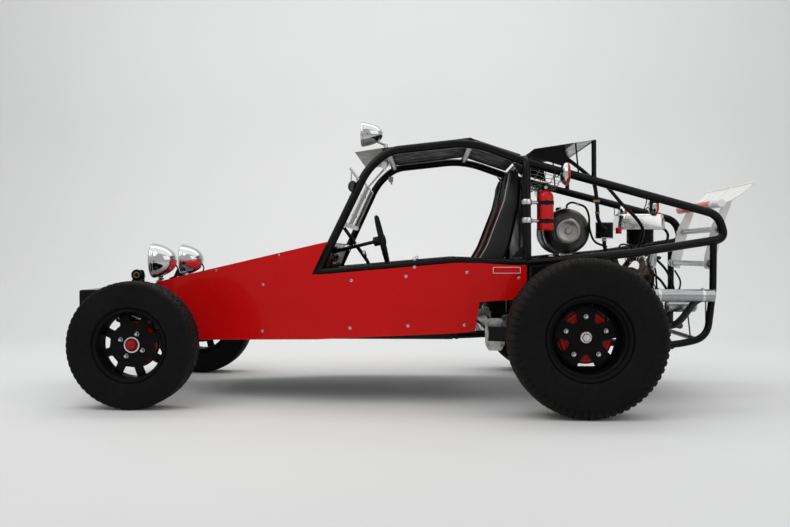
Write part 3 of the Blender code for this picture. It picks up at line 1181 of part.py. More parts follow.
def build_exhaust(car):
    """Headers from both heads into a tail pipe and a small silencer on the left."""
    port_x = CRANKCASE_FRONT_X + 0.5 * CRANKCASE_LENGTH + 0.145 + SEAT_GAP
    left = [(port_x, -0.290, 0.395), (2.865, -0.290, 0.395), (2.890, -0.360, 0.440),
            (2.925, TAIL_PIPE_Y, 0.540), (2.990, TAIL_PIPE_Y, TAIL_PIPE_Z)]
    across = [(port_x, 0.290, 0.395), (2.855, 0.290, 0.395), (2.915, 0.220, 0.390),
              (2.915, -0.240, 0.390), (2.875, -0.300, 0.402)]
    pieces = [tube(bent(left, 0.05), 0.019), tube(bent(across, 0.05), 0.0175)]
    pieces.append(turned(((0.0, 2.700), (0.028, 2.700), (0.0335, 2.706), (0.0335, 3.024), (0.0, 3.024)),
                         (0.0, TAIL_PIPE_Y, TAIL_PIPE_Z), (1.0, 0.0, 0.0), 8))
    pieces.append(turned(((0.0, 2.815), (0.026, 2.815), (0.035, 2.826), (0.035, 2.970),
                          (0.026, 2.981), (0.0, 2.981)), (0.0, -0.300, 0.506), (1.0, 0.0, 0.0), 8))
    pieces.append(rod((2.845, -0.292, 0.400), (2.845, -0.300, 0.490), 0.014, sides=8))
    finish(fuse(pieces), "exhaust", PLAIN_STEEL, car)


def build_tank(car):
    """The polished fuel tank across the car, on saddles over its cross tube."""
    half = TANK_HALF
    profile = ((0.0, -half), (0.070, -half + 0.002), (0.072, -half + 0.014), (0.100, -half + 0.022),
               (TANK_RADIUS, -half + 0.050), (TANK_RADIUS, half - 0.050), (0.100, half - 0.022),
               (0.072, half - 0.014), (0.070, half - 0.002), (0.0, half))
    tank = turned(profile, (TANK_X, 0.0, TANK_Z), (0.0, 1.0, 0.0), 16)
    pieces = [tank]
    for _, side in SIDES:
        pieces.append(box((TANK_X, side * 0.15, TANK_Z - TANK_RADIUS), (0.070, 0.030, 0.050)))
    cap_z = TANK_Z + TANK_RADIUS
    pieces.append(turned(((0.0, cap_z - 0.012), (0.028, cap_z - 0.012), (0.028, cap_z + 0.016),
                          (0.022, cap_z + 0.020), (0.0, cap_z + 0.020)), (TANK_X, 0.07, 0.0),
                         (0.0, 0.0, 1.0), 8))
    rail = between("rail_mid", "hoop_waist", TANK_X, 1)
    seat = tube([(TANK_X, -rail.y, rail.z), rail], RAIL_TUBE + SEAT_GAP)
    finish(cut(fuse(pieces), [seat]), "fuel_tank", POLISHED_ALLOY, car)


def build_extinguisher(car):
    """The small bottle behind the main hoop, on two clamped brackets."""
    bottle = turned(((0.0, 0.915), (0.040, 0.915), (0.0445, 0.922), (0.0445, 1.095), (0.030, 1.122),
                     (0.014, 1.130), (0.020, 1.152), (0.020, 1.170), (0.0, 1.172)),
                    (BOTTLE_X, BOTTLE_Y, 0.0), (0.0, 0.0, 1.0), 12)
    pieces = [bottle]
    low = joint("hoop_waist", -1)
    high = joint("hoop_top", -1)
    rise = (high - low).normalized()
    for z in (0.965, 1.062):
        seat = low + rise * ((z - low.z) / rise.z)
        pieces.append(rod((BOTTLE_X, BOTTLE_Y, z), seat, 0.010, sides=6))
        pieces.append(rod(seat - rise * 0.014, seat + rise * 0.014, MAIN_TUBE + 0.006, sides=8))
    bottle = cut(fuse(pieces), [tube([low, low.lerp(high, 0.8)], MAIN_TUBE + SEAT_GAP)])
    finish(bottle, "extinguisher", RED_PAINT, car)


def build_seats(car):
    """Two bucket seats: a trough along the seat's line, standing on two runners."""
    # Stations: x, height of the shell's outside, bolster height, half width
    stations = (
        (1.270, 0.470, 0.090, 0.205),
        (1.480, 0.448, 0.125, 0.215),
        (1.690, 0.430, 0.170, 0.215),
        (1.800, 0.500, 0.185, 0.215),
        (1.925, 0.800, 0.140, 0.215),
        (1.985, 1.060, 0.085, 0.195),
        (2.000, 1.238, 0.050, 0.140),
    )
    floor_top = FLOOR_Z - RAIL_TUBE - FLOOR_DROP
    for word, side in SIDES:
        bm = bmesh.new()
        rings = []
        for i, (x, z, bolster, half) in enumerate(stations):
            before = stations[max(i - 1, 0)]
            after = stations[min(i + 1, len(stations) - 1)]
            ahead = Vector((after[0] - before[0], 0.0, after[1] - before[1])).normalized()
            inward = Vector((-ahead.z, 0.0, ahead.x))
            pad = SEAT_WALL
            section = ((-half, 0.0), (-half - 0.004, bolster * 0.8), (-half + 0.018, bolster),
                       (-half + 0.048, bolster * 0.92), (-half + 0.072, pad), (half - 0.072, pad),
                       (half - 0.048, bolster * 0.92), (half - 0.018, bolster),
                       (half + 0.004, bolster * 0.8), (half, 0.0))
            ring = []
            for across, lift in section:
                point = Vector((x, side * SEAT_Y + across, z)) + inward * lift
                ring.append(bm.verts.new(point))
            rings.append(ring)
        for low, high in zip(rings, rings[1:]):
            for i in range(len(low)):
                j = (i + 1) % len(low)
                bm.faces.new((low[i], low[j], high[j], high[i]))
        bm.faces.new(rings[0])
        bm.faces.new(rings[-1])
        bmesh.ops.triangulate(bm, faces=bm.faces[:])
        shell = solid("seat", bm)
        pieces = [shell]
        for across in (-0.15, 0.15):
            pieces.append(box((1.470, side * SEAT_Y + across, (floor_top + 0.462) / 2.0),
                              (0.290, 0.024, 0.462 - floor_top)))
        finish(fuse(pieces), "seat_" + word, SEAT_BLACK, car)


def build_steering(car):
    """Steering wheel on its shaft, the fixed rack with its lower shaft, and the rack bar."""
    toward = Vector((math.cos(COLUMN_TILT), 0.0, math.sin(COLUMN_TILT)))
    place = Vector((STEERING_WHEEL_X, STEERING_WHEEL_Y, STEERING_WHEEL_Z))
    axis = empty("steering_axis", place, car)
    ring = []
    for i in range(6):
        angle = 2.0 * math.pi * i / 6
        ring.append((STEERING_WHEEL_RADIUS + STEERING_RIM_RADIUS * math.cos(angle),
                     STEERING_RIM_RADIUS * math.sin(angle)))
    pieces = [turned(ring, axis=toward, segments=20, closed=True)]
    shaft_end = -(STEERING_WHEEL_X - JOINT_X) / math.cos(COLUMN_TILT)
    pieces.append(turned(((0.0, shaft_end), (0.010, shaft_end), (0.010, -0.050), (0.028, -0.046),
                          (0.034, -0.008), (0.034, 0.012), (0.020, 0.022), (0.0, 0.022)),
                         axis=toward, segments=12))
    for turn in (90.0, 210.0, 330.0):
        angle = math.radians(turn)
        reach = Vector((-math.sin(COLUMN_TILT) * math.sin(angle), math.cos(angle),
                        math.cos(COLUMN_TILT) * math.sin(angle)))
        pieces.append(strip(toward * -0.008, reach, toward, 0.020, STEERING_WHEEL_RADIUS - 0.002))
    finish(fuse(pieces), "steering_wheel", BLACK_RUBBER, axis)

    rack_z = FRONT_TYRE_RADIUS + STEERING_ARM_Z + 0.026
    housing = rod((RACK_X, -RACK_HALF, rack_z), (RACK_X, RACK_HALF, rack_z), 0.024, sides=10)
    joint_place = Vector((JOINT_X - 0.012, STEERING_WHEEL_Y, column_z(JOINT_X - 0.012)))
    pinion = Vector((RACK_X + 0.03, PINION_Y, rack_z + 0.040))
    pieces = [housing]
    pieces.append(rod((RACK_X, PINION_Y, rack_z), pinion, 0.022, sides=8))
    pieces.append(rod(pinion - (joint_place - pinion).normalized() * 0.015, joint_place, 0.009, sides=8))
    pieces.append(rod(joint_place - toward * 0.030, joint_place + toward * 0.0115, 0.017, sides=8))
    shelf_z = JOINTS["nose_low"][2] + RAIL_TUBE + SEAT_GAP
    shelf = RACK_X - JOINTS["nose_low"][0] + 0.010
    for _, side in SIDES:
        pieces.append(box((RACK_X - shelf / 2.0, side * RACK_FOOT_Y, shelf_z + 0.005),
                          (shelf, 0.030, 0.010)))
    rack = fuse(pieces)
    bore = rod((RACK_X, -RACK_HALF - 0.01, rack_z), (RACK_X, RACK_HALF + 0.01, rack_z),
               RACK_BAR_RADIUS + RUNNING_GAP, sides=8)
    finish(cut(rack, [bore]), "steering_rack", CAST_ALLOY, car)
    end = RACK_END_Y - RACK_END_GAP
    slide = empty("rack_axis", (RACK_X, 0.0, rack_z), car)
    finish(rod((0.0, -end, 0.0), (0.0, end, 0.0), RACK_BAR_RADIUS), "rack_bar", PLAIN_STEEL, slide)


def strip(start, along, normal, width, length):
    """A flat spoke from a place out along a direction."""
    across = Vector(normal).cross(along).normalized() * (width / 2.0)
    corners = [start + across, start - across, start + along * length - across * 0.8,
               start + along * length + across * 0.8]
    return slab(corners, normal, 0.006)


def column_z(x):
    """Height of the steering column's centre line at x."""
    return STEERING_WHEEL_Z - (STEERING_WHEEL_X - x) * math.tan(COLUMN_TILT)


def build_car():
    """Every piece of the car, hung on one empty."""
    reach_front = BUMPER_X
    reach_rear = WING_TAIL_X + 0.003
    car = empty("sand_rail", (-(reach_front + reach_rear) / 2.0, 0.0, 0.0))
    build_frame(car)
    build_front_beam(car)
    build_shocks(car)
    build_panels(car)
    build_torsion_housing(car)
    build_sheets(car)
    build_windscreen(car)
    build_rear_deck(car)
    build_front_bumper(car)
    build_lamps(car)
    build_wing(car)
    build_driveline(car)
    build_tank(car)
    build_extinguisher(car)
    build_seats(car)
    build_steering(car)
    for word, side in SIDES:
        build_front_corner(car, word, side)
        build_rear_corner(car, word, side)
    return car


build_car()
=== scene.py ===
"""Looks for the two-seat sand rail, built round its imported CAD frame.

Shapes are drawn in the car's frame: x rearward from the front axle, y to the car's right, z up.
make() moves each piece by OFFSET into the row's frame. Sizes are metres.
"""

import math

import bmesh
import bpy
from mathutils import Matrix, Vector, noise


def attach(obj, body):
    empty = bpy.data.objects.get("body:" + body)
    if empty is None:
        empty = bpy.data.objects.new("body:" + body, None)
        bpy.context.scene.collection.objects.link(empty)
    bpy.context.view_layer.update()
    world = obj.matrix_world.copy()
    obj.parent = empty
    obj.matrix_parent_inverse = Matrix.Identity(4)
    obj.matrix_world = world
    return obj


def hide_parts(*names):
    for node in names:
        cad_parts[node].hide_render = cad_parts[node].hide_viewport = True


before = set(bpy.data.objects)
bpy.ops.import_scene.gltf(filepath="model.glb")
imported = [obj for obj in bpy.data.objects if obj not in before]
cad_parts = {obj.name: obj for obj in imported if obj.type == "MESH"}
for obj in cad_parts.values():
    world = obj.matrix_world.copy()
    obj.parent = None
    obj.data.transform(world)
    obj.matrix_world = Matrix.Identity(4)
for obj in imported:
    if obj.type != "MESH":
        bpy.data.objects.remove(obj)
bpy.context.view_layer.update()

OFFSET = 1.416
SIDES = (("left", -1), ("right", 1))

# Tubes, as radii
MAIN_TUBE = 0.0225
RAIL_TUBE = 0.019
BRACE_TUBE = 0.013

# Stations and heights that several pieces share
WHEELBASE = 2.275
FRONT_TRACK = 1.46
REAR_TRACK = 1.83
FRONT_RADIUS = 0.326
REAR_RADIUS = 0.386
BEAM_X = -0.14
TORSION_X = 1.864
TORSION_Z = 0.365
TORSION_R = 0.0447
HOOP_X = 2.03
POST_X = 3.035
CRANK_Z = 0.43
COLUMN_TILT = math.radians(13.6)
TANK_X = 2.292
TANK_Z = 0.918
FAN_Z = 0.652

# Directions
UP = (0.0, 0.0, 1.0)
REARWARD = (1.0, 0.0, 0.0)
RIGHT = (0.0, 1.0, 0.0)

# Frame joints, as in the CAD: name, then x, half width and height of the tubes' centres
COWL_X = 0.9961
JOINTS = {
    "nose_top": (0.0, 0.30, 0.615),
    "cowl_top": (COWL_X, 0.56, 0.835),
    "pillar_foot": (0.93, 0.58, 0.695),
    "pillar_bend": (1.185, 0.51, 1.235),
    "roof_front": (1.297, 0.50, 1.338),
    "roof_bend": (1.74, 0.50, 1.385),
    "hoop_top": (HOOP_X, 0.50, 1.297),
    "hoop_seat": (HOOP_X, 0.484, 1.279),
    "hoop_waist": (HOOP_X, 0.56, 0.742),
    "hoop_knee": (HOOP_X, 0.46, 0.47),
    "hoop_foot": (HOOP_X, 0.46, 0.3543),
    "waist_bend": (1.66, 0.58, 0.757),
    "nose_low": (-0.08, 0.20, 0.355),
    "floor_front": (0.215, 0.35, 0.335),
    "floor_cowl": (0.93, 0.58, 0.366),
    "floor_rear": (1.66, 0.58, 0.366),
    "floor_end": (TORSION_X, 0.46, 0.365),
    "rail_end": (3.06, 0.42, 1.0),
    "loop_end": (3.10, 0.42, 0.872),
    "rail_mid": (2.60, 0.47, 0.795),
    "post_mid": (POST_X, 0.42, 0.60),
    "post_bend": (POST_X - 0.03, 0.42, 0.34),
    "skid_rear": (2.82, 0.42, 0.30),
    "skid_front": (HOOP_X + 0.05, 0.46, 0.335),
    "skid_end": (TORSION_X, 0.46, 0.335),
}


# Materials

class Look:
    """A procedural Principled material, with the nodes its parts are built from."""

    def __init__(self, name, color, roughness, metallic=0.0, coat=0.0):
        self.material = bpy.data.materials.new(name)
        self.material.use_nodes = True
        self.nodes = self.material.node_tree.nodes
        self.links = self.material.node_tree.links
        self.shader = self.nodes["Principled BSDF"]
        self.set("Base Color", (*color, 1.0))
        self.set("Roughness", roughness)
        self.set("Metallic", metallic)
        self.set("Coat Weight", coat)
        self.set("Coat Roughness", 0.06)
        self.color = color
        self.place = self.nodes.new("ShaderNodeTexCoord").outputs["Object"]

    def set(self, socket, value):
        self.shader.inputs[socket].default_value = value

    def noise(self, scale, detail=4.0, roughness=0.55, stretch=None):
        place = self.place
        if stretch:
            mapping = self.nodes.new("ShaderNodeMapping")
            mapping.inputs["Scale"].default_value = stretch
            self.links.new(place, mapping.inputs["Vector"])
            place = mapping.outputs["Vector"]
        texture = self.nodes.new("ShaderNodeTexNoise")
        texture.inputs["Scale"].default_value = scale
        texture.inputs["Detail"].default_value = detail
        texture.inputs["Roughness"].default_value = roughness
        self.links.new(place, texture.inputs["Vector"])
        return texture.outputs["Fac"]

    def range(self, source, low, high, out_low, out_high):
        node = self.nodes.new("ShaderNodeMapRange")
        node.interpolation_type = "SMOOTHSTEP"
        for socket, value in zip(("From Min", "From Max", "To Min", "To Max"),
                                 (low, high, out_low, out_high)):
            node.inputs[socket].default_value = value
        self.links.new(source, node.inputs["Value"])
        return node.outputs["Result"]

    def math(self, operation, first, second):
        node = self.nodes.new("ShaderNodeMath")
        node.operation = operation
        for socket, value in zip(node.inputs, (first, second)):
            if isinstance(value, (int, float)):
                socket.default_value = value
            else:
                self.links.new(value, socket)
        return node.outputs["Value"]

    def axis(self, name):
        split = self.nodes.new("ShaderNodeSeparateXYZ")
        self.links.new(self.place, split.inputs["Vector"])
        return split.outputs[name]

    def tint(self, share, color):
        """Mix another colour over the base by a share from 0 to 1."""
        mix = self.nodes.new("ShaderNodeMix")
        mix.data_type = "RGBA"
        base = self.shader.inputs["Base Color"]
        if base.links:
            self.links.new(base.links[0].from_socket, mix.inputs[6])
        else:
            mix.inputs[6].default_value = (*self.color, 1.0)
        mix.inputs[7].default_value = (*color, 1.0)
        self.links.new(share, mix.inputs[0])
        self.links.new(mix.outputs[2], base)
        return self

    def rough(self, source, low, high, out_low, out_high):
        self.links.new(self.range(source, low, high, out_low, out_high), self.shader.inputs["Roughness"])
        return self

    def bump(self, source, strength, distance=0.001):
        node = self.nodes.new("ShaderNodeBump")
        node.inputs["Strength"].default_value = strength
        node.inputs["Distance"].default_value = distance
        self.links.new(source, node.inputs["Height"])
        old = self.shader.inputs["Normal"]
        if old.links:
            self.links.new(old.links[0].from_socket, node.inputs["Normal"])
        self.links.new(node.outputs["Normal"], old)
        return self

    def dust(self, color, amount, low=0.25, high=0.75):
        """A thin film of dust in patches."""
        patch = self.range(self.noise(5.0, 6.0, 0.65), low, high, 0.0, amount)
        return self.tint(patch, color)


def paint(name, color, roughness, coat, dust=0.04, metallic=0.0, shine=0.30):
    look = Look(name, color, roughness, metallic, coat)
    look.set("Specular IOR Level", shine)
    look.tint(look.range(look.noise(3.0), 0.3, 0.7, 0.0, 0.12), tuple(0.6 * c for c in color))
    look.dust((0.30, 0.28, 0.25), dust)
    look.rough(look.noise(14.0, 5.0), 0.3, 0.7, roughness * 0.8, roughness * 1.35)
    look.bump(look.noise(190.0, 2.0), 0.05, 0.0006)
    return look.material


def metal(name, color, roughness, grain=260.0, strength=0.10, stretch=None, dirt=0.12):
    look = Look(name, color, roughness, 1.0)
    look.tint(look.range(look.noise(9.0, 6.0, 0.7), 0.42, 0.75, 0.0, dirt), tuple(0.25 * c for c in color))
    look.rough(look.noise(22.0, 5.0, 0.6, stretch), 0.25, 0.75, roughness * 0.7, roughness * 1.5)
    look.bump(look.noise(grain, 3.0, 0.6, stretch), strength, 0.0008)
    return look.material


def rubber(name, color, roughness, dust=0.10, grain=420.0):
    look = Look(name, color, roughness)
    look.set("Specular IOR Level", 0.15)
    look.tint(look.range(look.noise(6.0, 5.0), 0.35, 0.75, 0.0, dust), (0.075, 0.070, 0.064))
    look.rough(look.noise(18.0, 4.0), 0.3, 0.7, roughness * 0.85, min(1.0, roughness * 1.15))
    look.bump(look.noise(grain, 3.0, 0.6), 0.18, 0.0008)
    return look.material


def tyre_rubber(name, center, start, end, amount):
    """Tyre rubber that turns brown and dusty from one radius out to another."""
    look = Look(name, (0.0060, 0.0060, 0.0062), 0.62)
    look.set("Specular IOR Level", 0.07)
    move = look.nodes.new("ShaderNodeVectorMath")
    move.operation = "MULTIPLY_ADD"
    move.inputs[1].default_value = (1.0, 0.0, 1.0)
    move.inputs[2].default_value = (OFFSET - center[0], 0.0, -center[1])
    look.links.new(look.place, move.inputs[0])
    length = look.nodes.new("ShaderNodeVectorMath")
    length.operation = "LENGTH"
    look.links.new(move.outputs["Vector"], length.inputs[0])
    radius = length.outputs["Value"]
    patch = look.range(look.noise(9.0, 6.0, 0.7), 0.25, 0.75, 0.35, 1.0)
    outer = look.range(radius, start, end, 0.0, amount)
    look.tint(look.math("MULTIPLY", patch, outer), (0.070, 0.058, 0.048))
    look.tint(look.range(look.noise(5.0, 5.0), 0.40, 0.80, 0.0, 0.25), (0.016, 0.015, 0.015))
    look.rough(look.noise(24.0, 4.0), 0.3, 0.7, 0.52, 0.78)
    look.bump(look.noise(480.0, 2.0), 0.10, 0.0006)
    return look.material


def cast(name, color, roughness=0.5, metallic=1.0, dirt=0.45):
    look = Look(name, color, roughness, metallic)
    look.tint(look.range(look.noise(16.0, 7.0, 0.7), 0.40, 0.72, 0.0, dirt), (0.035, 0.030, 0.026))
    look.rough(look.noise(30.0, 4.0), 0.3, 0.7, roughness * 0.8, min(1.0, roughness * 1.4))
    look.bump(look.noise(330.0, 4.0, 0.65), 0.35, 0.0010)
    return look.material


def woven(name, color, scale=900.0):
    """Webbing and cloth: crossed waves for the weave."""
    look = Look(name, color, 0.85)
    look.set("Sheen Weight", 0.15)
    waves = []
    for direction in ("X", "Z"):
        wave = look.nodes.new("ShaderNodeTexWave")
        wave.bands_direction = direction
        wave.inputs["Scale"].default_value = scale / 6.28
        wave.inputs["Distortion"].default_value = 0.4
        look.links.new(look.place, wave.inputs["Vector"])
        waves.append(wave.outputs["Fac"])
    weave = look.math("MULTIPLY", waves[0], waves[1])
    look.tint(look.range(look.noise(20.0), 0.3, 0.7, 0.0, 0.35), tuple(0.5 * c for c in color))
    look.bump(weave, 0.5, 0.0006)
    return look.material


def vinyl(name, color):
    """Seat vinyl: leather-like pebbles over slow wrinkles."""
    look = Look(name, color, 0.42)
    look.set("Specular IOR Level", 0.32)
    cells = look.nodes.new("ShaderNodeTexVoronoi")
    cells.feature = "DISTANCE_TO_EDGE"
    cells.inputs["Scale"].default_value = 430.0
    look.links.new(look.place, cells.inputs["Vector"])
    look.tint(look.range(look.noise(8.0), 0.35, 0.7, 0.0, 0.5), tuple(1.7 * c for c in color))
    look.rough(look.noise(12.0), 0.3, 0.7, 0.34, 0.55)
    look.bump(look.noise(26.0, 3.0), 0.25, 0.0020)
    look.bump(cells.outputs["Distance"], 0.35, 0.0006)
    return look.material


RED_PAINT = paint("red_panel_paint", (0.56, 0.003, 0.0035), 0.22, 0.12, 0.006, 0.0, 0.10)
BLACK_PAINT = paint("black_tube_paint", (0.0030, 0.0030, 0.0034), 0.22, 0.08, 0.006, 0.0, 0.10)
ROOF_BLACK = paint("roof_black_paint", (0.005, 0.005, 0.006), 0.55, 0.0, 0.015, 0.0, 0.04)
SATIN_BLACK = paint("satin_black_tin", (0.008, 0.008, 0.009), 0.42, 0.05, 0.04, 0.0, 0.15)
WHEEL_BLACK = paint("wheel_black_paint", (0.0035, 0.0035, 0.0040), 0.42, 0.0, 0.010, 0.0, 0.06)
DRUM_RED = paint("drum_red_paint", (0.30, 0.006, 0.006), 0.42, 0.05, 0.03, 0.0, 0.10)
BOTTLE_RED = paint("bottle_red_paint", (0.62, 0.006, 0.010), 0.22, 0.25, 0.01, 0.0, 0.15)
WHITE_PAINT = paint("wing_white_paint", (0.80, 0.80, 0.79), 0.30, 0.3, 0.10)
WING_RED = paint("wing_red_paint", (0.62, 0.015, 0.020), 0.32, 0.3, 0.04)
TYRE_LOOKS = {
    "front": tyre_rubber("front_tyre_rubber", (0.0, FRONT_RADIUS), 0.300, 0.326, 0.10),
    "rear": tyre_rubber("rear_tyre_rubber", (WHEELBASE, REAR_RADIUS), 0.335, 0.386, 0.22),
}
TYRE_RUBBER = TYRE_LOOKS["rear"]
HOSE_RUBBER = rubber("hose_rubber", (0.005, 0.005, 0.006), 0.50, 0.04)
GRIP_RUBBER = rubber("grip_rubber", (0.006, 0.006, 0.007), 0.60, 0.03)
CHROME = metal("chrome_plate", (0.58, 0.58, 0.60), 0.07, 60.0, 0.010, None, 0.04)
BRIGHT_STEEL = metal("bright_steel", (0.62, 0.62, 0.63), 0.22, 300.0, 0.06)
PLAIN_STEEL = metal("worn_steel", (0.42, 0.41, 0.40), 0.36, 280.0, 0.10, None, 0.3)
POLISHED_ALLOY = metal("spun_alloy", (0.66, 0.66, 0.65), 0.20, 180.0, 0.015, (1.0, 6.0, 6.0), 0.05)
BRUSHED_ALLOY = metal("brushed_alloy", (0.52, 0.51, 0.49), 0.34, 300.0, 0.12, (12.0, 1.0, 1.0))
CAST_ALLOY = cast("grey_casting", (0.42, 0.42, 0.41), 0.42)
COVER_ALLOY = cast("cover_casting", (0.72, 0.72, 0.71), 0.34, 0.85, 0.55)
ENGINE_CAST = cast("engine_cast", (0.20, 0.19, 0.18), 0.55)
BARREL_IRON = cast("barrel_iron", (0.060, 0.040, 0.032), 0.62, 0.6)
BRASS = metal("brass_fitting", (0.30, 0.22, 0.10), 0.34)
RUSTY_STEEL = metal("rusty_pulley_steel", (0.12, 0.075, 0.055), 0.45, 260.0, 0.12, None, 0.3)
SEAT_VINYL = vinyl("seat_vinyl", (0.0065, 0.0065, 0.0070))
STRAP_BLACK = woven("harness_webbing", (0.016, 0.016, 0.018))
PIPING_PALE = woven("seat_pale_piping", (0.42, 0.41, 0.40))
PIPING_RED = woven("seat_red_piping", (0.38, 0.012, 0.015))


def glass(name, color, roughness, transmission=1.0):
    look = Look(name, color, roughness)
    look.set("Transmission Weight", transmission)
    look.set("IOR", 1.45)
    look.bump(look.noise(7.0, 2.0), 0.04, 0.0010)
    look.rough(look.noise(11.0, 5.0), 0.4, 0.8, roughness, roughness + 0.08)
    return look.material


CLEAR_GLASS = glass("screen_glass", (0.93, 0.96, 0.95), 0.01)
LENS_GLASS = glass("lamp_lens", (0.95, 0.96, 0.96), 0.02)
RED_LENS = glass("red_lens", (0.75, 0.010, 0.010), 0.10, 0.55)
DARK_CHROME = metal("dark_chrome_plate", (0.10, 0.10, 0.105), 0.16, 200.0, 0.03, None, 0.15)
TANK_STEEL = metal("tank_steel", (0.085, 0.083, 0.080), 0.36, 220.0, 0.05, None, 0.15)
TANK_DISC = metal("tank_disc_alloy", (0.36, 0.35, 0.34), 0.32, 220.0, 0.03, (1.0, 5.0, 5.0), 0.08)
PIPE_GREY = metal("pipe_grey_steel", (0.38, 0.39, 0.40), 0.26, 200.0, 0.02, (1.0, 6.0, 6.0), 0.12)
PIPE_BLACK = paint("pipe_black_coating", (0.016, 0.015, 0.015), 0.50, 0.0, 0.10)
VISOR_GREY = paint("visor_grey_sheet", (0.19, 0.20, 0.19), 0.38, 0.1, 0.05)
SMOKED_SHEET = paint("smoked_deck_sheet", (0.22, 0.22, 0.22), 0.30, 0.2, 0.05)


# Mesh helpers

def fillet(points, radius, steps=3, closed=True):
    """An outline or profile with its corners rounded; works on 2-D and 3-D points."""
    points = [Vector(point) for point in points]
    count = len(points)
    out = []
    for i, corner in enumerate(points):
        if not closed and i in (0, count - 1):
            out.append(corner)
            continue
        back = points[i - 1] - corner
        ahead = points[(i + 1) % count] - corner
        reach = min(radius, 0.42 * back.length, 0.42 * ahead.length)
        back.normalize()
        ahead.normalize()
        if back.dot(ahead) < -0.995:
            out.append(corner)
            continue
        for step in range(steps + 1):
            share = step / steps
            first = (corner + back * reach).lerp(corner, share)
            last = corner.lerp(corner + ahead * reach, share)
            out.append(first.lerp(last, share))
    return out


def absorb(bm, part):
    """Add one bmesh to another."""
    mesh = bpy.data.meshes.new("part")
    part.to_mesh(mesh)
    part.free()
    bm.from_mesh(mesh)
    bpy.data.meshes.remove(mesh)


def turned_to(axis):
    return Vector(UP).rotation_difference(Vector(axis).normalized()).to_matrix().to_4x4()


def skin(bm, rings, closed=False, capped=True):
    """Faces between rings of vertices; a ring of one is a pole."""
    pairs = list(zip(rings, rings[1:]))
    if closed:
        pairs.append((rings[-1], rings[0]))
    for low, high in pairs:
        count = max(len(low), len(high))
        for i in range(count):
            j = (i + 1) % count
            if len(low) == 1:
                bm.faces.new((low[0], high[j], high[i]))
            elif len(high) == 1:
                bm.faces.new((low[i], low[j], high[0]))
            else:
                bm.faces.new((low[i], low[j], high[j], high[i]))
    if capped and not closed:
        for ring in (rings[0], rings[-1]):
            if len(ring) > 2:
                bm.faces.new(ring)


def lathe(bm, profile, place=(0.0, 0.0, 0.0), axis=RIGHT, segments=48, closed=False, soften=0.0):
    """A turned solid from (radius, along) pairs about an axis through a place."""
    if soften:
        profile = fillet(profile, soften, 2, closed)
    move = Matrix.Translation(place) @ turned_to(axis)
    rings = []
    for radius, along in profile:
        if radius < 1e-6:
            rings.append([bm.verts.new(move @ Vector((0.0, 0.0, along)))])
            continue
        rings.append([bm.verts.new(move @ Vector((radius * math.cos(a), radius * math.sin(a), along)))
                      for a in (2.0 * math.pi * i / segments for i in range(segments))])
    skin(bm, rings, closed)


def pipe(bm, route, radius, bend=0.0, sides=16, steps=7, ripple=None):
    """A round tube along a route whose corners are rounded; ripple gives a radius along it."""
    route = fillet(route, bend, steps, False) if bend else [Vector(point) for point in route]
    heading = (route[1] - route[0]).normalized()
    across = heading.orthogonal().normalized()
    rings = []
    for i, point in enumerate(route):
        arriving = (point - route[i - 1]).normalized() if i else heading
        leaving = (route[i + 1] - point).normalized() if i + 1 < len(route) else arriving
        mitre = (arriving + leaving).normalized()
        across = (across - arriving * across.dot(arriving)).normalized()
        up = arriving.cross(across)
        size = radius * (ripple(i / (len(route) - 1)) if ripple else 1.0)
        ring = []
        for k in range(sides):
            angle = 2.0 * math.pi * k / sides
            arm = (across * math.cos(angle) + up * math.sin(angle)) * size
            slide = -arm.dot(mitre) / arriving.dot(mitre)
            ring.append(bm.verts.new(point + arm + arriving * slide))
        rings.append(ring)
    skin(bm, rings)


def curve(points, count=24):
    """A smooth line through points."""
    points = [Vector(point) for point in points]
    ends = [2.0 * points[0] - points[1]] + points + [2.0 * points[-1] - points[-2]]
    out = []
    spans = len(points) - 1
    for i in range(count + 1):
        at = spans * i / count
        k = min(int(at), spans - 1)
        t = at - k
        a, b, c, d = ends[k:k + 4]
        out.append(0.5 * (2.0 * b + (c - a) * t + (2.0 * a - 5.0 * b + 4.0 * c - d) * t * t
                          + (3.0 * b - a - 3.0 * c + d) * t ** 3))
    return out


def block(bm, center, size, bevel=0.002, turn=None, segments=2):
    """A block with rounded edges."""
    part = bmesh.new()
    place = Matrix.Translation(center)
    if turn is not None:
        place = place @ turn
    bmesh.ops.create_cube(part, size=1.0, matrix=place @ Matrix.Diagonal((*size, 1.0)))
    if bevel:
        bmesh.ops.bevel(part, geom=part.edges[:], offset=bevel, segments=segments, affect="EDGES")
    absorb(bm, part)


def prism(bm, outline, near, far, axis="y", bevel=0.0, corner=0.0):
    """A flat outline drawn out along an axis; pairs are (x, z), (y, z) or (x, y)."""
    if corner:
        outline = fillet(outline, corner, 3)
    order = {"x": (2, 0, 1), "y": (0, 2, 1), "z": (0, 1, 2)}[axis]
    part = bmesh.new()
    rings = []
    for along in (near, far):
        spots = [(a, b, along) for a, b in outline]
        rings.append([part.verts.new([spot[i] for i in order]) for spot in spots])
    skin(part, rings)
    if bevel:
        rims = [edge for edge in part.edges if edge.calc_face_angle(0.0) > 1.0]
        bmesh.ops.bevel(part, geom=rims, offset=bevel, segments=2, affect="EDGES")
    absorb(bm, part)


def hexagon(bm, place, axis, radius, height, washer=0.0):
    """A hexagon head or nut, on a washer if it has one."""
    axis = Vector(axis).normalized()
    place = Vector(place)
    if washer:
        lathe(bm, ((0.0, 0.0), (washer, 0.0), (washer, 0.0016), (0.0, 0.0016)), place, axis, 20)
        place = place + axis * 0.0016
    lathe(bm, ((0.0, 0.0), (radius, 0.0), (radius, height * 0.8), (radius * 0.84, height), (0.0, height)),
          place, axis, 6)


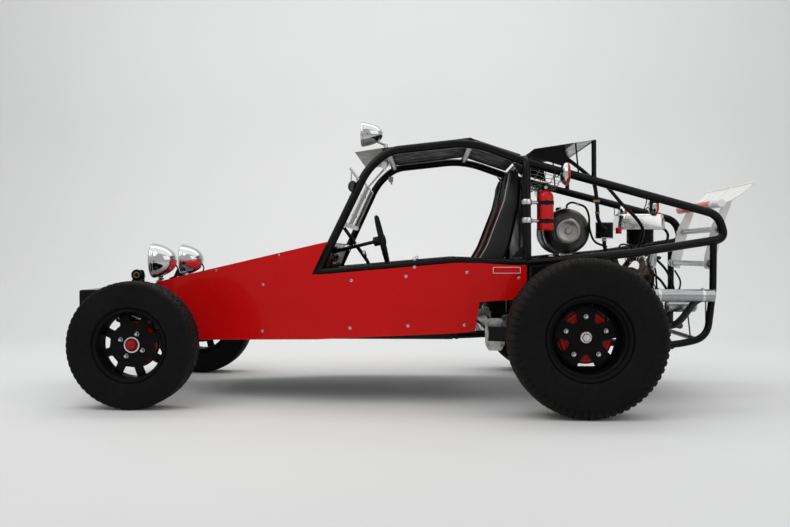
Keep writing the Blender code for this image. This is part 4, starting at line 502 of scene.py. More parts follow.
def weld(bm, foot, seat, seat_axis, radius, seat_radius):
    """A rippled bead where a tube from foot meets the round tube through seat."""
    foot = Vector(foot)
    seat = Vector(seat)
    along = (seat - foot).normalized()
    axis = Vector(seat_axis).normalized()
    across = along.orthogonal().normalized()
    up = along.cross(across)
    route = []
    for k in range(40):
        angle = 2.0 * math.pi * k / 40
        start = foot + (across * math.cos(angle) + up * math.sin(angle)) * radius
        gap = start - seat
        gap -= axis * gap.dot(axis)
        flat = along - axis * along.dot(axis)
        a, b = flat.dot(flat), 2.0 * gap.dot(flat)
        c = gap.dot(gap) - seat_radius ** 2
        inside = b * b - 4.0 * a * c
        if a < 1e-6 or inside < 0.0:
            return
        route.append(start + along * ((-b - math.sqrt(inside)) / (2.0 * a)))
    rings = []
    for k, point in enumerate(route):
        heading = (route[(k + 1) % 40] - route[k - 1]).normalized()
        side = heading.orthogonal().normalized()
        other = heading.cross(side)
        size = 0.0030 if k % 2 else 0.0023
        rings.append([bm.verts.new(point + (side * math.cos(a) + other * math.sin(a)) * size)
                      for a in (math.pi * i / 3.0 for i in range(6))])
    for k, ring in enumerate(rings):
        after = rings[(k + 1) % 40]
        shift = min(range(6), key=lambda i: (after[i].co - ring[0].co).length)
        for i in range(6):
            j = (i + 1) % 6
            bm.faces.new((ring[i], ring[j], after[(j + shift) % 6], after[(i + shift) % 6]))


def cut_out(piece, cutter):
    """Take a bmesh's shape, in the car's frame, out of a finished piece."""
    tool = make("cutter", cutter, BLACK_PAINT)
    step = piece.modifiers.new("cut", "BOOLEAN")
    step.operation = "DIFFERENCE"
    step.solver = "EXACT"
    step.object = tool
    graph = bpy.context.evaluated_depsgraph_get()
    mesh = bpy.data.meshes.new_from_object(piece.evaluated_get(graph))
    piece.modifiers.clear()
    piece.data = mesh
    mesh.shade_smooth()
    mesh.set_sharp_from_angle(angle=math.radians(32))
    bpy.data.objects.remove(tool, do_unlink=True)
    return piece


def make(name, bm, material, body="chassis", stands_for=(), smooth=32):
    """A finished piece from a bmesh in the car's frame, riding on a body."""
    bmesh.ops.translate(bm, verts=bm.verts, vec=(-OFFSET, 0.0, 0.0))
    bmesh.ops.recalc_face_normals(bm, faces=bm.faces[:])
    mesh = bpy.data.meshes.new(name)
    bm.to_mesh(mesh)
    bm.free()
    mesh.shade_smooth()
    mesh.set_sharp_from_angle(angle=math.radians(smooth))
    mesh.materials.append(material)
    piece = bpy.data.objects.new(name, mesh)
    bpy.context.scene.collection.objects.link(piece)
    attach(piece, body)
    for node in stands_for:
        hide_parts(node)
    return piece


# Wheels

FRONT_SIDE = (
    (0.1765, 0.0660), (0.1895, 0.0685), (0.1930, 0.0800), (0.2030, 0.0880), (0.2320, 0.0945),
    (0.2620, 0.0958), (0.2880, 0.0946), (0.3095, 0.0920), (0.3175, 0.0860), (0.3235, 0.0750),
    (0.3252, 0.0560), (0.3258, 0.0300), (0.3260, 0.0),
)
REAR_SIDE = (
    (0.1945, 0.1025), (0.2080, 0.1050), (0.2110, 0.1190), (0.2250, 0.1265), (0.2550, 0.1340),
    (0.2850, 0.1358), (0.3180, 0.1345), (0.3450, 0.1310), (0.3640, 0.1235), (0.3760, 0.1120),
    (0.3822, 0.0960), (0.3850, 0.0600), (0.3860, 0.0),
)


def step(value, low, high):
    share = min(1.0, max(0.0, (value - low) / (high - low)))
    return share * share * (3.0 - 2.0 * share)


def groove(position, width, soft=0.25):
    """1 in a groove centred on a whole number, 0 between grooves."""
    gap = abs(position - round(position))
    return 1.0 - step(gap, width * (0.5 - soft), width * (0.5 + soft))


def front_tread(turn, across, radius):
    """Depth of a road tread: three plain ribs and short shoulder lugs."""
    side = abs(across)
    depth = 0.0
    if radius > 0.3195:
        for place in (0.014, 0.041):
            wave = place + 0.0022 * math.sin(2.0 * math.pi * turn)
            depth = max(depth, 0.0070 * (1.0 - step(abs(side - wave), 0.0020, 0.0042)))
        depth = max(depth, 0.0040 * groove(turn + 14.0 * across, 0.22) * step(side, 0.014, 0.018))
    shoulder = step(radius, 0.3120, 0.3160) * step(side, 0.060, 0.066)
    return max(depth, 0.0016 * groove(turn, 0.30) * shoulder)


def rear_tread(turn, across, radius):
    """Depth of an all-terrain tread: zigzag grooves, cut blocks and long shoulder lugs."""
    side = abs(across)
    zigzag = 0.0065 * (abs(4.0 * ((turn / 2.0) % 1.0) - 2.0) - 1.0)
    depth = 0.0
    for place in (0.026, 0.072):
        depth = max(depth, 0.0110 * (1.0 - step(abs(side - place - zigzag), 0.0035, 0.0065)))
    if side < 0.072:
        depth = max(depth, 0.0085 * groove(turn + 9.0 * across, 0.24) * step(side, 0.004, 0.010))
        depth = max(depth, 0.0030 * groove(turn + 0.5 + 9.0 * across, 0.09))
    lug = step(radius, 0.3380, 0.3440) * step(side, 0.076, 0.086)
    depth = max(depth, 0.0055 * groove(turn + 0.25, 0.36) * lug)
    band = step(radius, 0.3380, 0.3400) * (1.0 - step(radius, 0.3480, 0.3500))
    return max(depth, 0.0020 * groove(turn + 0.75, 0.30) * band)


def ridge(radius, places, width=0.0016, height=0.0011):
    return height * max([0.0] + [1.0 - step(abs(radius - place), 0.4 * width, width) for place in places])


def build_tyre(name, word, axle, half_section, pitches, tread, rings):
    """A tyre as one grid round its wheel, with the tread pressed in."""
    line = curve([(radius, along, 0.0) for radius, along in half_section], 38)
    line += [Vector((point.x, -point.y, 0.0)) for point in reversed(line[:-1])]
    lengths = [0.0]
    for before, after in zip(line, line[1:]):
        lengths.append(lengths[-1] + (after - before).length)
    middle = lengths[-1] / 2.0
    around = pitches * 8
    verts = []
    for i in range(around):
        angle = 2.0 * math.pi * i / around
        for k, point in enumerate(line):
            heading = (line[min(k + 1, len(line) - 1)] - line[max(k - 1, 0)]).normalized()
            inward = Vector((heading.y, -heading.x, 0.0))
            across = lengths[k] - middle
            move = tread(i / 8.0 + (0.5 if across > 0 else 0.0), across, point.x)
            move -= ridge(point.x, rings)
            spot = point + inward * move
            verts.append((axle[0] + spot.x * math.cos(angle), axle[1] + spot.y,
                          axle[2] + spot.x * math.sin(angle)))
    count = len(line)
    faces = []
    for i in range(around):
        j = (i + 1) % around
        for k in range(count):
            m = (k + 1) % count
            faces.append((i * count + k, i * count + m, j * count + m, j * count + k))
    mesh = bpy.data.meshes.new("grid")
    mesh.from_pydata(verts, [], faces)
    bm = bmesh.new()
    bm.from_mesh(mesh)
    bpy.data.meshes.remove(mesh)
    axle_word = name.split("_")[0]
    node = axle_word + "_tyre_" + word
    return make(node + "_tread", bm, TYRE_LOOKS[axle_word], axle_word + "_wheel_" + word, (node,))


def soften(piece, width, angle=35.0):
    """Round a piece's sharp edges a little."""
    bevel = piece.modifiers.new("soften", "BEVEL")
    bevel.width = width
    bevel.segments = 2
    bevel.limit_method = "ANGLE"
    bevel.angle_limit = math.radians(angle)
    graph = bpy.context.evaluated_depsgraph_get()
    mesh = bpy.data.meshes.new_from_object(piece.evaluated_get(graph))
    piece.modifiers.clear()
    piece.data = mesh
    mesh.shade_smooth()
    mesh.set_sharp_from_angle(angle=math.radians(50))
    return piece


def window_cutter(axle, count, first, outline):
    """Rounded windows round a wheel's axle: outline is (radius, half width) from the inside out."""
    bm = bmesh.new()
    for i in range(count):
        angle = math.radians(first + 360.0 * i / count)
        loop = [(r, -half) for r, half in outline] + [(r, half) for r, half in reversed(outline)]
        corners = [(axle[0] + r * math.cos(angle) - h * math.sin(angle),
                    axle[2] + r * math.sin(angle) + h * math.cos(angle)) for r, h in loop]
        prism(bm, corners, axle[1] - 0.2, axle[1] + 0.2, "y", 0.0, 0.007)
    return bm


def build_wheel_rim(kind, word, side, axle, rim):
    """Barrel and disc of one steel wheel, with its nuts and valve."""
    r, half, disc = rim["radius"], rim["half"], rim["disc"]
    flange = r + 0.015
    well = r - rim["well"]
    body = kind + "_wheel_" + word
    out = (0.0, side, 0.0)
    profile = (
        (flange, half - 0.002), (flange - 0.002, half), (flange - 0.007, half - 0.001),
        (r - 0.002, half - 0.006),
        (r - 0.006, half - 0.012), (r - 0.007, half - 0.030), (well - 0.003, half - 0.038),
        (well - 0.005, disc + 0.012), (well - 0.005, disc - 0.020), (r - 0.007, -half + 0.020),
        (r - 0.006, -half + 0.010), (flange - 0.004, -half), (flange, -half + 0.002),
        (flange, -half + 0.004),
        (r + 0.001, -half + 0.008), (r - 0.001, -half + 0.022), (well, disc - 0.018), (well, half - 0.040),
        (r - 0.001, half - 0.030), (r + 0.001, half - 0.008), (flange, half - 0.004),
    )
    bm = bmesh.new()
    lathe(bm, profile, axle, out, 96, True, 0.0015)
    make(kind + "_rim_barrel_" + word, bm, WHEEL_BLACK, body, (kind + "_rim_" + word,))
    bm = bmesh.new()
    face = [(radius, disc + rise) for radius, rise in rim["face"]]
    back = [(radius, disc + rise - 0.0065) for radius, rise in reversed(rim["face"])]
    lathe(bm, face + back, axle, out, 120, True, 0.004)
    plate = make(kind + "_wheel_disc_" + word, bm, WHEEL_BLACK, body)
    cut_out(plate, window_cutter(axle, rim["windows"], rim["first"], rim["outline"]))
    soften(plate, 0.0016)
    bm = bmesh.new()
    for i in range(rim["nuts"]):
        angle = math.radians(rim["nut_first"] + 360.0 * i / rim["nuts"])
        spot = (axle[0] + rim["nut_ring"] * math.cos(angle), axle[1] + side * (disc + 0.0075),
                axle[2] + rim["nut_ring"] * math.sin(angle))
        lathe(bm, ((0.0, 0.0), (0.0135, 0.0), (0.0115, 0.004), (0.0, 0.004)), spot, out, 24)
        hexagon(bm, (spot[0], spot[1] + side * 0.004, spot[2]), out, 0.0108, 0.011)
        lathe(bm, ((0.0, 0.0), (0.0085, 0.0), (0.0070, 0.006), (0.0, 0.008)),
              (spot[0], spot[1] + side * 0.015, spot[2]), out, 20)
    make(kind + "_wheel_nuts_" + word, bm, CHROME, body)
    bm = bmesh.new()
    angle = math.radians(rim["first"] + 180.0 / rim["windows"] - 9.0)
    valve = Vector((axle[0] + (well - 0.016) * math.cos(angle), axle[1] + side * (disc + 0.006),
                    axle[2] + (well - 0.016) * math.sin(angle)))
    pipe(bm, [valve, valve + Vector((0.0, side * 0.020, 0.0))], 0.0040, sides=10)
    pipe(bm, [valve + Vector((0.0, side * 0.019, 0.0)), valve + Vector((0.0, side * 0.030, 0.0))], 0.0048,
         sides=10)
    make(kind + "_tyre_valve_" + word, bm, HOSE_RUBBER, body)


def build_drum(kind, word, side, axle, rim):
    """A finned brake drum with its hub cap through the wheel's bore."""
    disc, radius, depth = rim["disc"], rim["drum"], rim["drum_depth"]
    body = kind + "_wheel_" + word
    out = (0.0, side, 0.0)
    face = disc - 0.007
    profile = [(0.0, face), (0.058, face), (0.062, face - 0.004), (radius * 0.80, face - 0.004),
               (radius * 0.84, face), (radius * 0.93, face), (radius, face - 0.010)]
    count = 6
    pitch = (depth - 0.018) / count
    for i in range(count):
        start = face - 0.012 - i * pitch
        profile += [(radius, start), (radius, start - 0.45 * pitch), (radius - 0.005, start - 0.50 * pitch),
                    (radius - 0.005, start - 0.95 * pitch)]
    profile += [(radius, disc - depth + 0.002), (radius - 0.010, disc - depth + 0.002),
                (radius - 0.012, face - 0.022), (0.0, face - 0.022)]
    bm = bmesh.new()
    lathe(bm, profile, axle, out, 72)
    for i in range(20):
        angle = 2.0 * math.pi * i / 20
        spot = Vector((axle[0] + radius * 0.885 * math.cos(angle), axle[1] + side * (face + 0.0005),
                       axle[2] + radius * 0.885 * math.sin(angle)))
        turn = Matrix.Rotation(-angle, 4, "Y")
        block(bm, spot, (radius * 0.09, 0.004, 0.006), 0.001, turn, 1)
    make(kind + "_drum_casting_" + word, bm, DRUM_RED, body, (kind + "_drum_" + word,))
    bm = bmesh.new()
    if kind == "front":
        lathe(bm, ((0.0335, 0.0), (0.0400, 0.0), (0.0405, 0.003), (0.0335, 0.004)),
              (axle[0], axle[1] + side * (disc + 0.0073), axle[2]), out, 48, True)
        make("front_hub_ring_" + word, bm, BRIGHT_STEEL, body)
        bm = bmesh.new()
        lathe(bm, ((0.0, disc + 0.035), (0.016, disc + 0.035), (0.022, disc + 0.032),
                   (0.0262, disc + 0.026), (0.0262, disc + 0.006), (0.0300, disc + 0.004), (0.0300, face),
                   (0.0, face)), axle, out, 48, soften=0.002)
        make("front_dust_cap_" + word, bm, DRUM_RED, body)
    else:
        lathe(bm, ((0.0, disc + 0.020), (0.0105, disc + 0.020), (0.0120, disc + 0.014),
                   (0.0270, disc + 0.013), (0.0295, disc + 0.010), (0.0295, face), (0.0, face)), axle, out,
              48, soften=0.0015)
        hexagon(bm, (axle[0], axle[1] + side * (disc + 0.012), axle[2]), out, 0.0225, 0.019)
        pipe(bm, [(axle[0], axle[1] + side * (disc + 0.026), axle[2] - 0.024),
                  (axle[0], axle[1] + side * (disc + 0.026), axle[2] + 0.024)], 0.0022, sides=8)
        make("rear_axle_nut_" + word, bm, BRIGHT_STEEL, body)


RIMS = {
    "front": {
        "radius": 0.174, "half": 0.076, "disc": 0.020, "well": 0.005, "windows": 8, "first": 40.0,
        "outline": ((0.112, 0.0225), (0.1632, 0.0430)), "nuts": 4, "nut_first": 64.0, "nut_ring": 0.0625,
        "face": ((0.0335, 0.0075), (0.0700, 0.0075), (0.0780, 0.0055), (0.0930, 0.0060), (0.1040, 0.0080),
                 (0.1480, 0.0040), (0.1645, -0.0020)),
        "drum": 0.117, "drum_depth": 0.060,
    },
    "rear": {
        "radius": 0.192, "half": 0.112, "disc": -0.005, "well": 0.016, "windows": 5, "first": 54.0,
        "outline": ((0.082, 0.0090), (0.110, 0.0270), (0.139, 0.0440)), "nuts": 5, "nut_first": 18.5,
        "nut_ring": 0.101,
        "face": ((0.0335, 0.0075), (0.0620, 0.0080), (0.0700, 0.0060), (0.0900, 0.0072), (0.1150, 0.0075),
                 (0.1450, 0.0075), (0.1560, 0.0040), (0.1715, -0.0060)),
        "drum": 0.131, "drum_depth": 0.072,
    },
}


def build_wheels():
    for word, side in SIDES:
        front = (0.0, side * FRONT_TRACK / 2.0, FRONT_RADIUS)
        rear = (WHEELBASE, side * REAR_TRACK / 2.0, REAR_RADIUS)
        build_tyre("front", word, front, FRONT_SIDE, 60, front_tread,
                   (0.2010, 0.2090, 0.2170, 0.2960))
        build_tyre("rear", word, rear, REAR_SIDE, 66, rear_tread, (0.2190, 0.2270, 0.2350, 0.3300))
        for kind, axle in (("front", front), ("rear", rear)):
            build_wheel_rim(kind, word, side, axle, RIMS[kind])
            build_drum(kind, word, side, axle, RIMS[kind])


# The frame

def joint(name, side):
    x, half, z = JOINTS[name]
    return Vector((x, side * half, z))


def between(first, last, x, side):
    start = joint(first, side)
    end = joint(last, side)
    return start.lerp(end, (x - start.x) / (end.x - start.x))


def path(names, side):
    return [joint(name, side) for name in names.split()]


def strut(bm, foot, seat, axis, radius, seat_radius):
    """A tube from foot to the skin of another, with its weld bead."""
    foot = Vector(foot)
    seat = Vector(seat)
    pipe(bm, [foot, seat + (foot - seat).normalized() * 0.5 * radius], radius, sides=20)
    weld(bm, foot, seat, axis, radius, seat_radius)


def cross(bm, name, radius, axis, seat_radius):
    """A cross tube between the two sides' joints, welded at both ends."""
    pipe(bm, [joint(name, -1), joint(name, 1)], radius, sides=20)
    for _, side in SIDES:
        seat = joint(name, side)
        weld(bm, (seat.x, 0.0, seat.z), seat, axis(side), radius, seat_radius)


def along(first, last):
    return lambda side: joint(last, side) - joint(first, side)


def build_roll_cage():
    bm = bmesh.new()
    hoop = path("hoop_foot hoop_knee hoop_waist hoop_top", -1)
    hoop += reversed(path("hoop_foot hoop_knee hoop_waist hoop_top", 1))
    pipe(bm, hoop, MAIN_TUBE, 0.065, 24)
    for _, side in SIDES:
        pipe(bm, path("pillar_foot pillar_bend roof_front roof_bend hoop_seat", side), MAIN_TUBE, 0.12, 24)
        pipe(bm, path("pillar_foot waist_bend", side), RAIL_TUBE, sides=20)
        pipe(bm, path("waist_bend hoop_waist", side), RAIL_TUBE, sides=20)
        pipe(bm, path("nose_top cowl_top", side), RAIL_TUBE, sides=20)
        upright = joint("hoop_top", side) - joint("hoop_waist", side)
        weld(bm, joint("waist_bend", side), joint("hoop_waist", side), upright, RAIL_TUBE, MAIN_TUBE)
        weld(bm, joint("roof_bend", side), joint("hoop_seat", side), upright, MAIN_TUBE, MAIN_TUBE)
        pillar = joint("pillar_bend", side) - joint("pillar_foot", side)
        weld(bm, joint("nose_top", side), joint("cowl_top", side), pillar, RAIL_TUBE, MAIN_TUBE)
        weld(bm, joint("waist_bend", side), joint("pillar_foot", side), pillar, RAIL_TUBE, MAIN_TUBE)
    pillar = along("pillar_foot", "pillar_bend")
    cross(bm, "roof_front", RAIL_TUBE, along("roof_front", "roof_bend"), MAIN_TUBE)
    cross(bm, "roof_bend", RAIL_TUBE, along("roof_front", "roof_bend"), MAIN_TUBE)
    cross(bm, "pillar_foot", RAIL_TUBE, pillar, MAIN_TUBE)
    cross(bm, "cowl_top", RAIL_TUBE, pillar, MAIN_TUBE)
    cross(bm, "nose_top", RAIL_TUBE, along("nose_top", "cowl_top"), RAIL_TUBE)
    cross(bm, "hoop_waist", RAIL_TUBE, along("hoop_waist", "hoop_top"), MAIN_TUBE)
    make("roll_cage_tubes", bm, BLACK_PAINT, stands_for=("roll_cage",))
    bm = bmesh.new()
    for _, side in SIDES:
        for name, back in (("hoop_seat", "roof_bend"), ("hoop_waist", "waist_bend")):
            corner = joint(name, side)
            run = (joint(back, side) - corner).normalized()
            down = (joint("hoop_waist", side) - joint("hoop_top", side)).normalized()
            if name == "hoop_waist":
                down = -down
            spots = [corner + run * 0.024 + down * 0.030, corner + run * 0.085 + down * 0.024,
                     corner + run * 0.024 + down * 0.090]
            flat = run.cross(down).normalized() * 0.0016
            rings = [[bm.verts.new(spot + flat * sign) for spot in spots] for sign in (-1.0, 1.0)]
            skin(bm, rings)
    make("cage_gussets", bm, BLACK_PAINT)


def build_lower_frame():
    bm = bmesh.new()
    for _, side in SIDES:
        pipe(bm, path("nose_low floor_front floor_cowl floor_rear floor_end", side), RAIL_TUBE, 0.10, 20)
        nose = joint("nose_top", side) - joint("cowl_top", side)
        waist = joint("waist_bend", side) - joint("pillar_foot", side)
        strut(bm, joint("nose_low", side), between("nose_top", "cowl_top", 0.05, side), nose,
              RAIL_TUBE, RAIL_TUBE)
        strut(bm, joint("floor_front", side), between("nose_top", "cowl_top", 0.215, side), nose,
              BRACE_TUBE, RAIL_TUBE)
        strut(bm, joint("floor_cowl", side), between("pillar_foot", "waist_bend", 0.96, side), waist,
              BRACE_TUBE, RAIL_TUBE)
        strut(bm, joint("floor_rear", side), joint("waist_bend", side), waist, BRACE_TUBE, RAIL_TUBE)
    rail = along("floor_cowl", "floor_rear")
    for name in ("nose_low", "floor_front", "floor_cowl", "floor_rear"):
        cross(bm, name, RAIL_TUBE, rail, RAIL_TUBE)
    make("lower_frame_tubes", bm, BLACK_PAINT, stands_for=("lower_frame",))


def build_engine_cage():
    bm = bmesh.new()
    for _, side in SIDES:
        pipe(bm, path("hoop_seat rail_end loop_end rail_mid hoop_waist", side), MAIN_TUBE, 0.075, 24, 10)
        pipe(bm, path("post_mid post_bend skid_rear skid_front skid_end", side), RAIL_TUBE, 0.10, 20)
        upright = joint("hoop_top", side) - joint("hoop_waist", side)
        weld(bm, joint("rail_end", side), joint("hoop_seat", side), upright, MAIN_TUBE, MAIN_TUBE)
        weld(bm, joint("rail_mid", side), joint("hoop_waist", side), upright, MAIN_TUBE, MAIN_TUBE)
        strut(bm, joint("post_mid", side), between("rail_mid", "loop_end", POST_X, side),
              joint("loop_end", side) - joint("rail_mid", side), RAIL_TUBE, MAIN_TUBE)
    cross(bm, "skid_rear", RAIL_TUBE, along("skid_front", "skid_rear"), RAIL_TUBE)
    pipe(bm, [(2.950, -0.42, 0.332), (2.950, 0.42, 0.332)], BRACE_TUBE, sides=20)
    rail = between("rail_mid", "hoop_waist", TANK_X, 1)
    pipe(bm, [(rail.x, -rail.y, rail.z), rail], RAIL_TUBE, sides=20)
    for _, side in SIDES:
        seat = between("rail_mid", "hoop_waist", TANK_X, side)
        weld(bm, (seat.x, 0.0, seat.z), seat, joint("rail_mid", side) - joint("hoop_waist", side),
             RAIL_TUBE, MAIN_TUBE)
    make("engine_cage_tubes", bm, BLACK_PAINT, stands_for=("engine_cage",))


# Front suspension and steering

def build_front_beam():
    bm = bmesh.new()
    for height in (0.450, 0.330):
        profile = [(0.0, -0.511), (0.027, -0.511), (0.030, -0.508), (0.030, 0.508), (0.027, 0.511),
                   (0.0, 0.511)]
        lathe(bm, profile, (BEAM_X, 0.0, height), RIGHT, 40)
        for y in (-0.463, -0.300, -0.095, 0.095, 0.300, 0.463):
            lathe(bm, ((0.029, -0.010), (0.0325, -0.008), (0.0325, 0.008), (0.029, 0.010)),
                  (BEAM_X, y, height), RIGHT, 40, True, 0.001)
    top = 0.326 + 0.0604
    low = 0.326 - 0.0604
    for _, side in SIDES:
        tower = ((BEAM_X - 0.036, 0.293), (BEAM_X + 0.036, 0.293), (BEAM_X + 0.036, 0.50),
                 (-0.040, 0.668), (-0.050, 0.706), (-0.086, 0.698), (BEAM_X - 0.036, 0.50))
        prism(bm, tower, side * 0.400, side * 0.418, "y", 0.003, 0.012)
        prism(bm, ((BEAM_X - 0.030, 0.515), (BEAM_X + 0.024, 0.515), (-0.055, 0.640), (-0.080, 0.640)),
              side * 0.3975, side * 0.4205, "y", 0.002, 0.010)
        lathe(bm, ((0.0, 0.0), (0.0115, 0.0), (0.0115, 0.075), (0.0, 0.075)), (-0.062, side * 0.405, 0.684),
              (0.0, side, 0.0), 24)
        lathe(bm, ((0.0, 0.0), (0.0115, 0.0), (0.0115, 0.055), (0.0, 0.055)), (-0.030, side * 0.430, 0.436),
              (0.0, side, 0.0), 24)
        for height, end in ((0.450, top + 0.012), (0.330, low - 0.012)):
            arm = ((BEAM_X - 0.030, height - 0.026), (BEAM_X - 0.030, height + 0.026),
                   (BEAM_X + 0.01, height + 0.028), (0.0, end + 0.018), (0.022, end + 0.004),
                   (0.022, end - 0.004), (0.0, end - 0.018), (BEAM_X + 0.01, height - 0.028))
            prism(bm, arm, side * 0.475, side * 0.505, "y", 0.004, 0.014)
            lathe(bm, ((0.0, 0.0), (0.021, 0.0), (0.021, 0.006), (0.017, 0.010), (0.0, 0.010)),
                  (BEAM_X, side * 0.5045, height), (0.0, side, 0.0), 32)
            block(bm, (0.0, side * 0.560, end), (0.044, 0.140, 0.0236), 0.005)
            lathe(bm, ((0.0, -0.012), (0.024, -0.012), (0.024, 0.012), (0.0, 0.012)),
                  (0.0, side * 0.600, end), UP, 32)
        block(bm, (0.0, side * 0.527, 0.326), (0.034, 0.028, 0.158), 0.005)
        block(bm, (BEAM_X + 0.0325, side * 0.080, 0.349), (0.065, 0.030, 0.0295), 0.003)
    for _, side in SIDES:
        lathe(bm, ((0.0, 0.0), (0.028, 0.0), (0.030, 0.002), (0.030, 0.010), (0.026, 0.012), (0.0, 0.012)),
              (-0.060, side * 0.480, 0.677), (0.0, side, 0.0), 40)
    make("front_beam_forging", bm, BLACK_PAINT, stands_for=("front_beam",))
    bm = bmesh.new()
    for _, side in SIDES:
        hexagon(bm, (-0.030, side * 0.4855, 0.436), (0.0, side, 0.0), 0.0100, 0.006)
        for height in (0.450, 0.330):
            hexagon(bm, (BEAM_X, side * 0.5145, height), (0.0, side, 0.0), 0.011, 0.007, 0.016)
            lathe(bm, ((0.0, 0.0), (0.0040, 0.0), (0.0040, 0.006), (0.0022, 0.009), (0.0, 0.010)),
                  (BEAM_X, side * 0.250, height + 0.0295), UP, 12)
    make("front_beam_bolts", bm, BRIGHT_STEEL)
    bm = bmesh.new()
    for _, side in SIDES:
        lathe(bm, ((0.0120, 0.0), (0.0160, 0.0), (0.0160, 0.0020), (0.0120, 0.0020)),
              (-0.060, side * 0.4915, 0.677), (0.0, side, 0.0), 36, True)
    make("front_damper_bushes", bm, BRASS)


def coil(bm, low, high, radius, wire, turns):
    """A coil spring between two places."""
    low = Vector(low)
    high = Vector(high)
    axis = (high - low).normalized()
    across = axis.orthogonal().normalized()
    up = axis.cross(across)
    route = []
    count = int(turns * 20)
    for i in range(count + 1):
        share = i / count
        rise = share + 0.016 * math.sin(2.0 * math.pi * share)
        angle = 2.0 * math.pi * turns * share
        route.append(low.lerp(high, rise) + (across * math.cos(angle) + up * math.sin(angle)) * radius)
    pipe(bm, route, wire, sides=8)


def damper(name, word, low, high, body, spring, look):
    low = Vector(low)
    high = Vector(high)
    axis = (high - low).normalized()
    length = (high - low).length
    bm = bmesh.new()
    lathe(bm, ((0.0, 0.004), (body * 0.55, 0.004), (body * 0.62, 0.012), (body * 0.62, 0.16 * length),
               (body * 0.98, 0.17 * length), (body * 0.98, 0.60 * length), (body * 0.90, 0.62 * length),
               (0.0, 0.62 * length)), low, axis, 32)
    for share in (0.20, 0.86):
        lathe(bm, ((body * 0.5, 0.0), (spring - 0.002, 0.0), (spring, 0.003), (spring, 0.007),
                   (body * 0.9, 0.009), (body * 0.5, 0.009)), low + axis * (share * length), axis, 36, True)
    lathe(bm, ((0.0, 0.87 * length), (body * 0.5, 0.87 * length), (body * 0.45, length - 0.003),
               (0.0, length - 0.002)), low, axis, 24)
    make(name + "_body_" + word, bm, look, stands_for=(name + "_" + word,))
    bm = bmesh.new()
    lathe(bm, ((0.0, 0.60 * length), (0.0065, 0.60 * length), (0.0065, 0.90 * length),
               (0.0, 0.90 * length)), low, axis, 20)
    make(name + "_rod_" + word, bm, CHROME)
    bm = bmesh.new()
    coil(bm, low + axis * (0.235 * length), low + axis * (0.85 * length), spring - 0.0045, 0.0042, 6.0)
    make(name + "_spring_" + word, bm, BLACK_PAINT)


def build_dampers():
    for word, side in SIDES:
        damper("front_shock", word, (-0.030, side * 0.455, 0.4483), (-0.062, side * 0.455, 0.6717),
               0.021, 0.031, SATIN_BLACK)
        damper("rear_shock", word, (2.361, side * 0.672, 0.404), (2.400, side * 0.552, 0.752),
               0.026, 0.042, SATIN_BLACK)


def build_knuckles():
    for word, side in SIDES:
        body = "knuckle_" + word
        pin = Vector((0.0, side * 0.600, 0.326))
        plate = 0.730 + 0.020 - 0.060 - 0.0008
        bm = bmesh.new()
        lathe(bm, ((0.0, -0.0596), (0.018, -0.0596), (0.020, -0.057), (0.020, -0.030), (0.0235, -0.024),
                   (0.0235, 0.024), (0.020, 0.030), (0.020, 0.057), (0.018, 0.0596), (0.0, 0.0596)),
              pin, UP, 36)
        lathe(bm, ((0.0, 0.0), (0.024, 0.0), (0.021, 0.040), (0.034, plate - 0.602), (0.0, plate - 0.602)),
              pin, (0.0, side, 0.0), 32)
        back = [(0.0, plate - 0.604), (0.060, plate - 0.604), (0.070, plate - 0.6035),
                (0.118, plate - 0.6035), (0.1235, plate - 0.6025), (0.1235, plate - 0.600),
                (0.0, plate - 0.600)]
        lathe(bm, back, pin, (0.0, side, 0.0), 64)
        arm = ((-0.022, side * 0.600 - 0.012), (-0.022, side * 0.600 + 0.012),
               (0.100, side * 0.600 + 0.011), (0.121, side * 0.600 + 0.005), (0.121, side * 0.600 - 0.005),
               (0.100, side * 0.600 - 0.011))
        prism(bm, arm, 0.3512, 0.3668, "z", 0.003, 0.006)
        make("knuckle_forging_" + word, bm, BLACK_PAINT, body, ("knuckle_" + word,))
        bm = bmesh.new()
        for i in range(4):
            angle = math.radians(45.0 + 90.0 * i)
            hexagon(bm, (0.050 * math.cos(angle), side * (plate - 0.005), 0.326 + 0.050 * math.sin(angle)),
                    (0.0, -side, 0.0), 0.0085, 0.007, 0.012)
        make("knuckle_bolts_" + word, bm, PLAIN_STEEL, body)
        bm = bmesh.new()
        lift = 0.326 + 0.033 + 0.026
        eye = Vector((0.110, side * 0.600, lift))
        lathe(bm, ((0.0, -0.0175), (0.010, -0.0175), (0.0135, -0.009), (0.0140, 0.004), (0.0100, 0.011),
                   (0.0, 0.0125)), eye, UP, 28)
        inner = side * 0.3352
        pipe(bm, [eye, (0.110, inner, lift)], 0.0088, sides=20)
        for low, high in ((0.30, 0.34), (0.34, 0.68), (0.68, 0.72)):
            size = 0.0112 if high - low > 0.1 else 0.0120
            sides = 20 if high - low > 0.1 else 6
            pipe(bm, [eye.lerp(Vector((0.110, inner, lift)), low), eye.lerp(Vector((0.110, inner, lift)),
                                                                            high)], size, sides=sides)
        make("tie_rod_shank_" + word, bm, PLAIN_STEEL, "tie_rod_" + word, ("tie_rod_" + word,))


